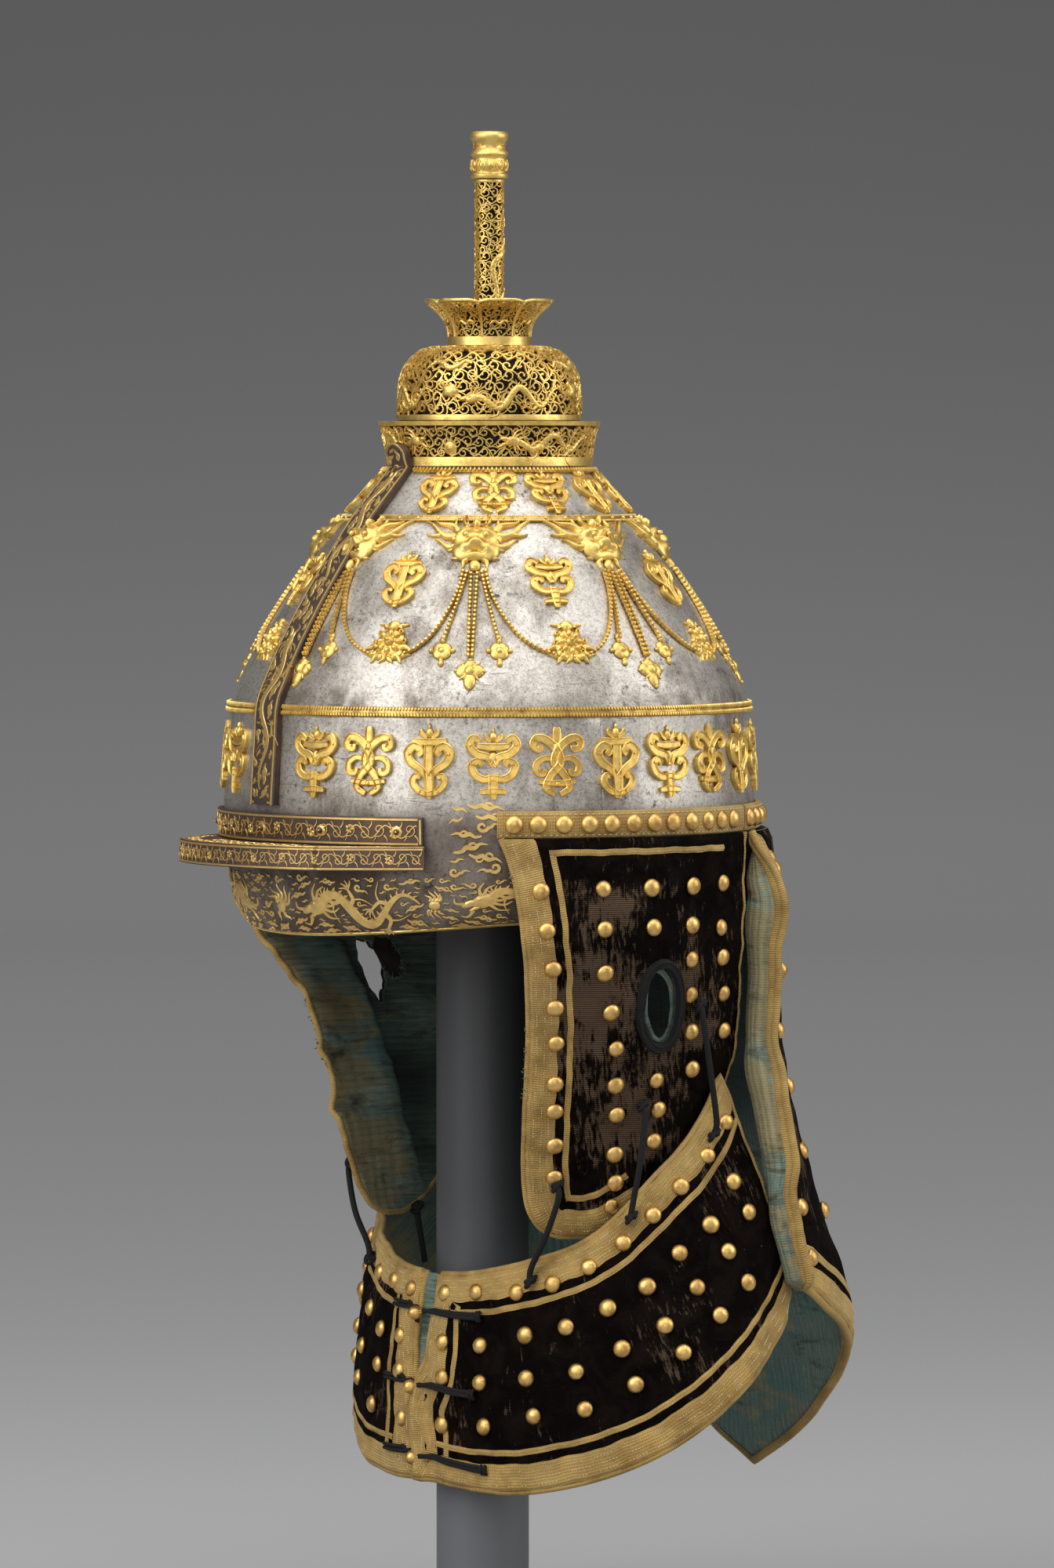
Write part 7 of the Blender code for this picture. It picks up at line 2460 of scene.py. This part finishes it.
def addSliver(pile, panel):
    # the lining's torn edge, which shows between the two halves
    down = np.linspace(0.0, 0.80, 44)[:, None]
    across = np.linspace(0.0, 1.0, 7)[None, :]
    width = 8.6 * (1.0 - down ** 2.2) + 0.7 * np.sin(down * 31.0) + 0.4 * np.sin(down * 83.0)
    x = 1.6 - across * (width + 1.6)
    y = -collar["tall"] * down + 0.0 * x
    lift = -1.9 + 1.0 * np.sin(across * 3.0) * np.sin(down * 12.0 + 1.0) - 0.8 * across
    top, low = panel.place(x, y, lift), panel.place(x[:, ::-1], y[:, ::-1], lift[:, ::-1] - 0.5)
    points = np.concatenate([top, low], 1)
    rows, total = points.shape[:2]
    cloth = np.zeros((rows, total, 3))
    cloth[..., 0] = np.concatenate([-y, -y], 1)
    cloth[..., 1] = np.concatenate([x, x[:, ::-1]], 1)
    pile.add(points, barFaces(rows, total, "lining"), cloth=cloth)


def makeCollar(side):
    base, folds = collarPanel(side)
    wide, tall = collar["wide"], collar["tall"]

    def frontAt(down):
        if side < 0:
            return 0.5 * np.sin(down * 9.0)
        lap = np.clip((down - 0.28) / 0.42, 0, 1)
        return -8.5 * lap * lap * (3 - 2 * lap) + 0.7 * np.sin(down * 17.0)

    steps, rise = int(wide / 2.4), int(tall / 2.4)
    fall = np.linspace(0, 1, rise)
    front = np.column_stack([frontAt(fall), -tall * fall])
    top = np.column_stack([np.linspace(front[0, 0], wide, steps), np.zeros(steps)])
    hem = np.column_stack([np.linspace(front[-1, 0], wide, steps), np.full(steps, -tall)])
    rear = np.column_stack([np.full(rise, wide), np.linspace(-tall, 0, rise)])
    # down the front, along the hem, up the rear, back along the top
    outline = np.vstack([front, hem[1:-1], rear, top[1:-1][::-1]])
    studs = [(wide * u, -tall * v) for u, v in collar["studs"]]
    panel = Panel(base, outline, collar["thick"], side, folds, studs)
    name = "collar" + sideNames[side].capitalize()
    body = Pile()

    def wear(x, y):
        return 0.03 + 0.08 * np.sin(x * 0.06 + 1.0) * np.sin(y * 0.08)

    def inside(u, v):
        return frontAt(v) + u * (wide - frontAt(v)), -v * tall

    clothBody(body, panel, inside, 68, 34, wear)
    edge = panel.place(outline[:, 0], outline[:, 1], -0.5 * collar["thick"])
    tube(body, edge, 1.45 * mm, "ribbon", sides=8, closedRound=True)
    first = rise + steps - 2 + rise
    last = rise + steps - 1

    def borderLine(distance):
        # along the top, down the front and along the hem; the rear edge is bound only
        wider = outline.copy()
        wider[:, 0] = np.where(wider[:, 0] > wide - 0.01, wide + distance, wider[:, 0])
        line = inset(wider, distance)
        line = np.vstack([line[first - 1:], line[:last]])
        line[:, 0] = np.minimum(line[:, 0], wide)
        return line

    layRibbon(body, panel, borderLine(0.3), borderLine(collar["border"]))
    layRibbon(body, panel, borderLine(collar["stripFrom"]), borderLine(collar["stripTo"]), height=0.5)
    if side < 0:
        addSliver(body, panel)
    piece = body.make(name, "velvet", ["collar_" + sideNames[side]], sharp=70)
    stitches = [dashes(panel, borderLine(distance)[3:-3], start=start) for distance, start in collar["stitches"]]
    sewPanel(panel, name, stitches, studs)
    print(name, "made")
    return panel


# closures, ties and stand

closures = {
    # name, share of the collar's height down, share of the way round that the loop reaches
    "levels": (("top", 0.20, 0.155), ("middle", 0.555, 0.130), ("bottom", 0.90, 0.142)),
    "button": 2.95, "wire": 0.32, "loop": 0.86, "wrap": 0.75, "band": 0.85,      # half thicknesses
}


def makeClosures(leftPanel, rightPanel):
    # ball buttons wired to short flat cords on the left half, held by loops from the right one
    wide, tall = collar["wide"], collar["tall"]
    size = closures["button"]
    turn = np.linspace(0, 2 * math.pi, 24, endpoint=False)
    for name, down, reach in closures["levels"]:
        level = -down * tall
        middle = rightPanel.place(np.array(-3.4), np.array(level), size + 0.4)
        out = rightPanel.outward(np.array(0.5), np.array(level))
        near = leftPanel.place(np.array(1.0), np.array(level + 2.4), 2.6)
        side = near - middle
        side /= np.linalg.norm(side)
        up = np.cross(side, out)
        pile = Pile()
        rings = []
        for share in np.linspace(-1.0, 1.0, 15)[1:-1]:
            high = math.sin(share * math.pi / 2)
            radius = math.sqrt(max(0.0, 1 - high * high))
            flute = 1.0 + 0.02 * np.cos(8 * turn)
            rings.append(middle + (side * high * size + size * (radius * flute)[:, None] *
                                   (np.cos(turn)[:, None] * out + np.sin(turn)[:, None] * up)) * mm)
        points = np.concatenate(rings)
        pile.add(points, barFaces(len(rings), len(turn), "stud"))
        for apart in (-0.45, 0.45):
            wire = middle + side * np.linspace(size * 0.95, size + 2.8, 6)[:, None] * mm + up * apart * mm
            tube(pile, wire, closures["wire"] * mm, "gilt", sides=6)
        pile.make("collarButton" + name.capitalize(), "gilt", ["collar_button_" + name], sharp=60)
        loop = Pile()
        start = middle + side * (size + 1.8) * mm
        for apart, lift in ((-0.0105, 1.5), (0.0105, 1.5), (0.0, 1.3)):
            u = np.linspace(0.018, reach, 16)
            height = level + tall * apart * (0.6 + 0.4 * u / reach) + 2.0 * (1 - u / reach)
            run = leftPanel.place(u * wide, height, lift)
            if apart:
                run = np.vstack([start + up * apart * 40 * mm, run])
            tube(loop, through(run, 2), closures["loop"] * mm, "cord", sides=8)
        for u in (reach - 0.006, reach + 0.002):
            wrap = leftPanel.place(np.full(9, u * wide), level + tall * np.linspace(-0.021, 0.021, 9),
                                   1.3 + 1.3 * np.sin(np.linspace(0, math.pi, 9)))
            tube(loop, wrap, closures["wrap"] * mm, "cord", sides=8)
        for apart in (-0.010, 0.010):
            u = np.linspace(0.088, 0.022, 10)
            run = rightPanel.place(u * wide, level + 3.0 + tall * apart, 1.5)
            around = [run[k] for k in range(10)]
            for angle in (70, 35, 0):
                a = math.radians(angle) * (1 if apart > 0 else -1)
                around.append(middle + (side * (math.cos(a) * 1.1 - 1.2) + up * math.sin(a) * (size + 0.4)
                                        - out * 1.6) * mm)
            tube(loop, through(np.array(around), 3), closures["band"] * mm, "cord", sides=8)
        loop.make("buttonLoop" + name.capitalize(), "cord", ["button_loop_" + name], sharp=60)
    print("closures made")


ties = {"diameter": 2.6, "innerEnd": (77.3, -121.5),
        "ends": (("front", (65.5, -101.0), (0.305, 0.09)), ("middle", (85.5, -68.2), (0.61, 0.05)),
                 ("rear", (102.2, -28.0), (0.893, 0.08)))}


def flapOuter(side, angle, height):
    drop = max(0.0, -height) / flaps["length"]
    turn = math.radians(angle)
    x = flaps["radius"] * math.sin(turn) - flaps["inward"] * drop
    y = -flaps["radius"] * math.cos(turn) + flaps["backward"] * drop
    return toWorld(np.array([side * x, y, height]))


def makeKnot(pile, centre, side):
    # three turns of cord drawn tight
    for k, (dx, dz) in enumerate(((0.0, 0.0), (0.9, 0.7), (-0.8, -0.8))):
        turn = np.linspace(0, 2 * math.pi, 14, endpoint=False)
        tilt = 0.5 * k
        across = np.array([0.0, math.cos(tilt), math.sin(tilt)])
        lengthwise = np.array([side * 0.9, -0.3 * math.sin(tilt), 0.35])
        lengthwise /= np.linalg.norm(lengthwise)
        coil = (centre + np.array([0, dx, dz]) * mm
                + 1.75 * mm * (np.cos(turn)[:, None] * across + np.sin(turn)[:, None] * lengthwise))
        tube(pile, coil, 0.95 * mm, "cord", sides=8, closedRound=True)


def makeTies(side, collarSide):
    # slack flat-braided cords, knotted where they leave the flap and where they meet the collar
    gap = 0.4
    word = sideNames[side]
    for name, (angle, height), (around, down) in ties["ends"]:
        lift = 0.5 * ties["diameter"] + 2 * gap
        start = flapOuter(side, angle, height) + np.array([side * (lift + gap) * mm, 0, 0])
        x, y = np.array(around * collar["wide"]), np.array(-down * collar["tall"])
        end = collarSide.base(x, y)
        ahead, above = collarSide.base(x + 1, y) - end, collarSide.base(x, y + 1) - end
        out = np.cross(ahead, above) * side
        out /= np.linalg.norm(out)
        end = end + out * (lift + 0.6) * mm
        first = start + np.array([side * 1.6, 0, -5.0]) * mm
        middle = 0.5 * (start + end) + np.array([side * 3.0, -0.6, -1.0]) * mm
        last = end + np.array([side * 1.6, 0, 6.0]) * mm
        route = through(np.array([start, first, middle, last, end]), 9)
        pile, knots = Pile(), Pile()
        tube(pile, route, 0.5 * ties["diameter"] * mm, "cord", sides=10)
        for spot in (0, -1):
            makeKnot(knots, route[spot] - out * 0.4 * mm, side)
        if side < 0 and name == "middle":
            # the loose inner end of the same cord, knotted on the lining
            turn = math.radians(ties["innerEnd"][0])
            inwards = np.array([-side * math.sin(turn), math.cos(turn), 0])
            root = flapOuter(side, *ties["innerEnd"]) + inwards * 5.4 * mm
            drop = np.array([[0, 0, 0], [0.8, 0.3, -6.0], [1.2, 1.6, -14.0], [2.4, 2.6, -23.5]]) * mm
            tube(knots, through(root + drop, 6), 0.5 * ties["diameter"] * mm, "cord", sides=10)
            makeKnot(knots, root, side)
        node = "tie_%s_%s" % (word, name)
        knotPiece = knots.make("knots" + word.capitalize() + name.capitalize(), "cord", sharp=70)
        piece = pile.make("tie" + word.capitalize() + name.capitalize(), "cord", [node], sharp=70)
        length = float(sizeOf(np.diff(route, axis=0)).sum())
    print("ties", word, "made")


stand = {"post": 19.2, "aside": (-1.6, -2.3), "postTop": 191.2,
         "floor": -300.0, "base": 115.0, "thick": 12.0, "edge": 1.5}


def makeStand():
    # round post and disc in smooth grey paint
    post = Pile()
    floor, r = stand["floor"], stand["post"]
    top, low = stand["postTop"], floor + stand["thick"] + 0.4
    rows = [(low, 0.2), (low, r - 0.4), (low + 0.4, r), (low + 60, r), (0.0, r), (top - 1.0, r),
            (top - 0.3, r - 0.3), (top, r - 1.0), (top, 0.2)]
    lathe(post, rows, "stand", 128, stand["aside"])
    post.make("standPost", "stand_paint", ["stand_post"], sharp=40)
    disc = Pile()
    b, t, e = stand["base"], stand["thick"], stand["edge"]
    rows = [(floor, 0.2), (floor, b - e)]
    rows += [(floor + e - e * math.cos(a), b - e + e * math.sin(a)) for a in np.linspace(0.2, math.pi / 2, 5)]
    rows += [(floor + t - e + e * math.sin(a), b - e + e * math.cos(a)) for a in np.linspace(0.0, math.pi / 2, 6)]
    rows += [(floor + t, 0.2)]
    lathe(disc, rows, "stand", 160, stand["aside"])
    disc.make("standBase", "stand_paint", ["stand_base"], sharp=40)
    print("stand made")


# put together

makeFinishes()
addCamera()
addLamps()
addStage()
makeShapes()
makeBowl()
for kind in mouldings:
    makeMoulding(kind)
makeScrollMounts()
makeMaskRow()
makeFinialCollar()
makeFinialDome()
makeFinialCup()
makePlumeTube()
makeTubeCap()
print("finial made")
makeComb("frontComb", "front_comb", 0.0)
makeComb("rearComb", "rear_comb", 180.0)
makeBrowPlate()
makeShelf()
makeBrowInlay()
makeBands()
for side in sideNames:
    makeFlap(side)
makeNapeGuard()
collars = {side: makeCollar(side) for side in sideNames}
makeClosures(collars[1], collars[-1])
for side in sideNames:
    makeTies(side, collars[side])
makeStand()
dropShapes()
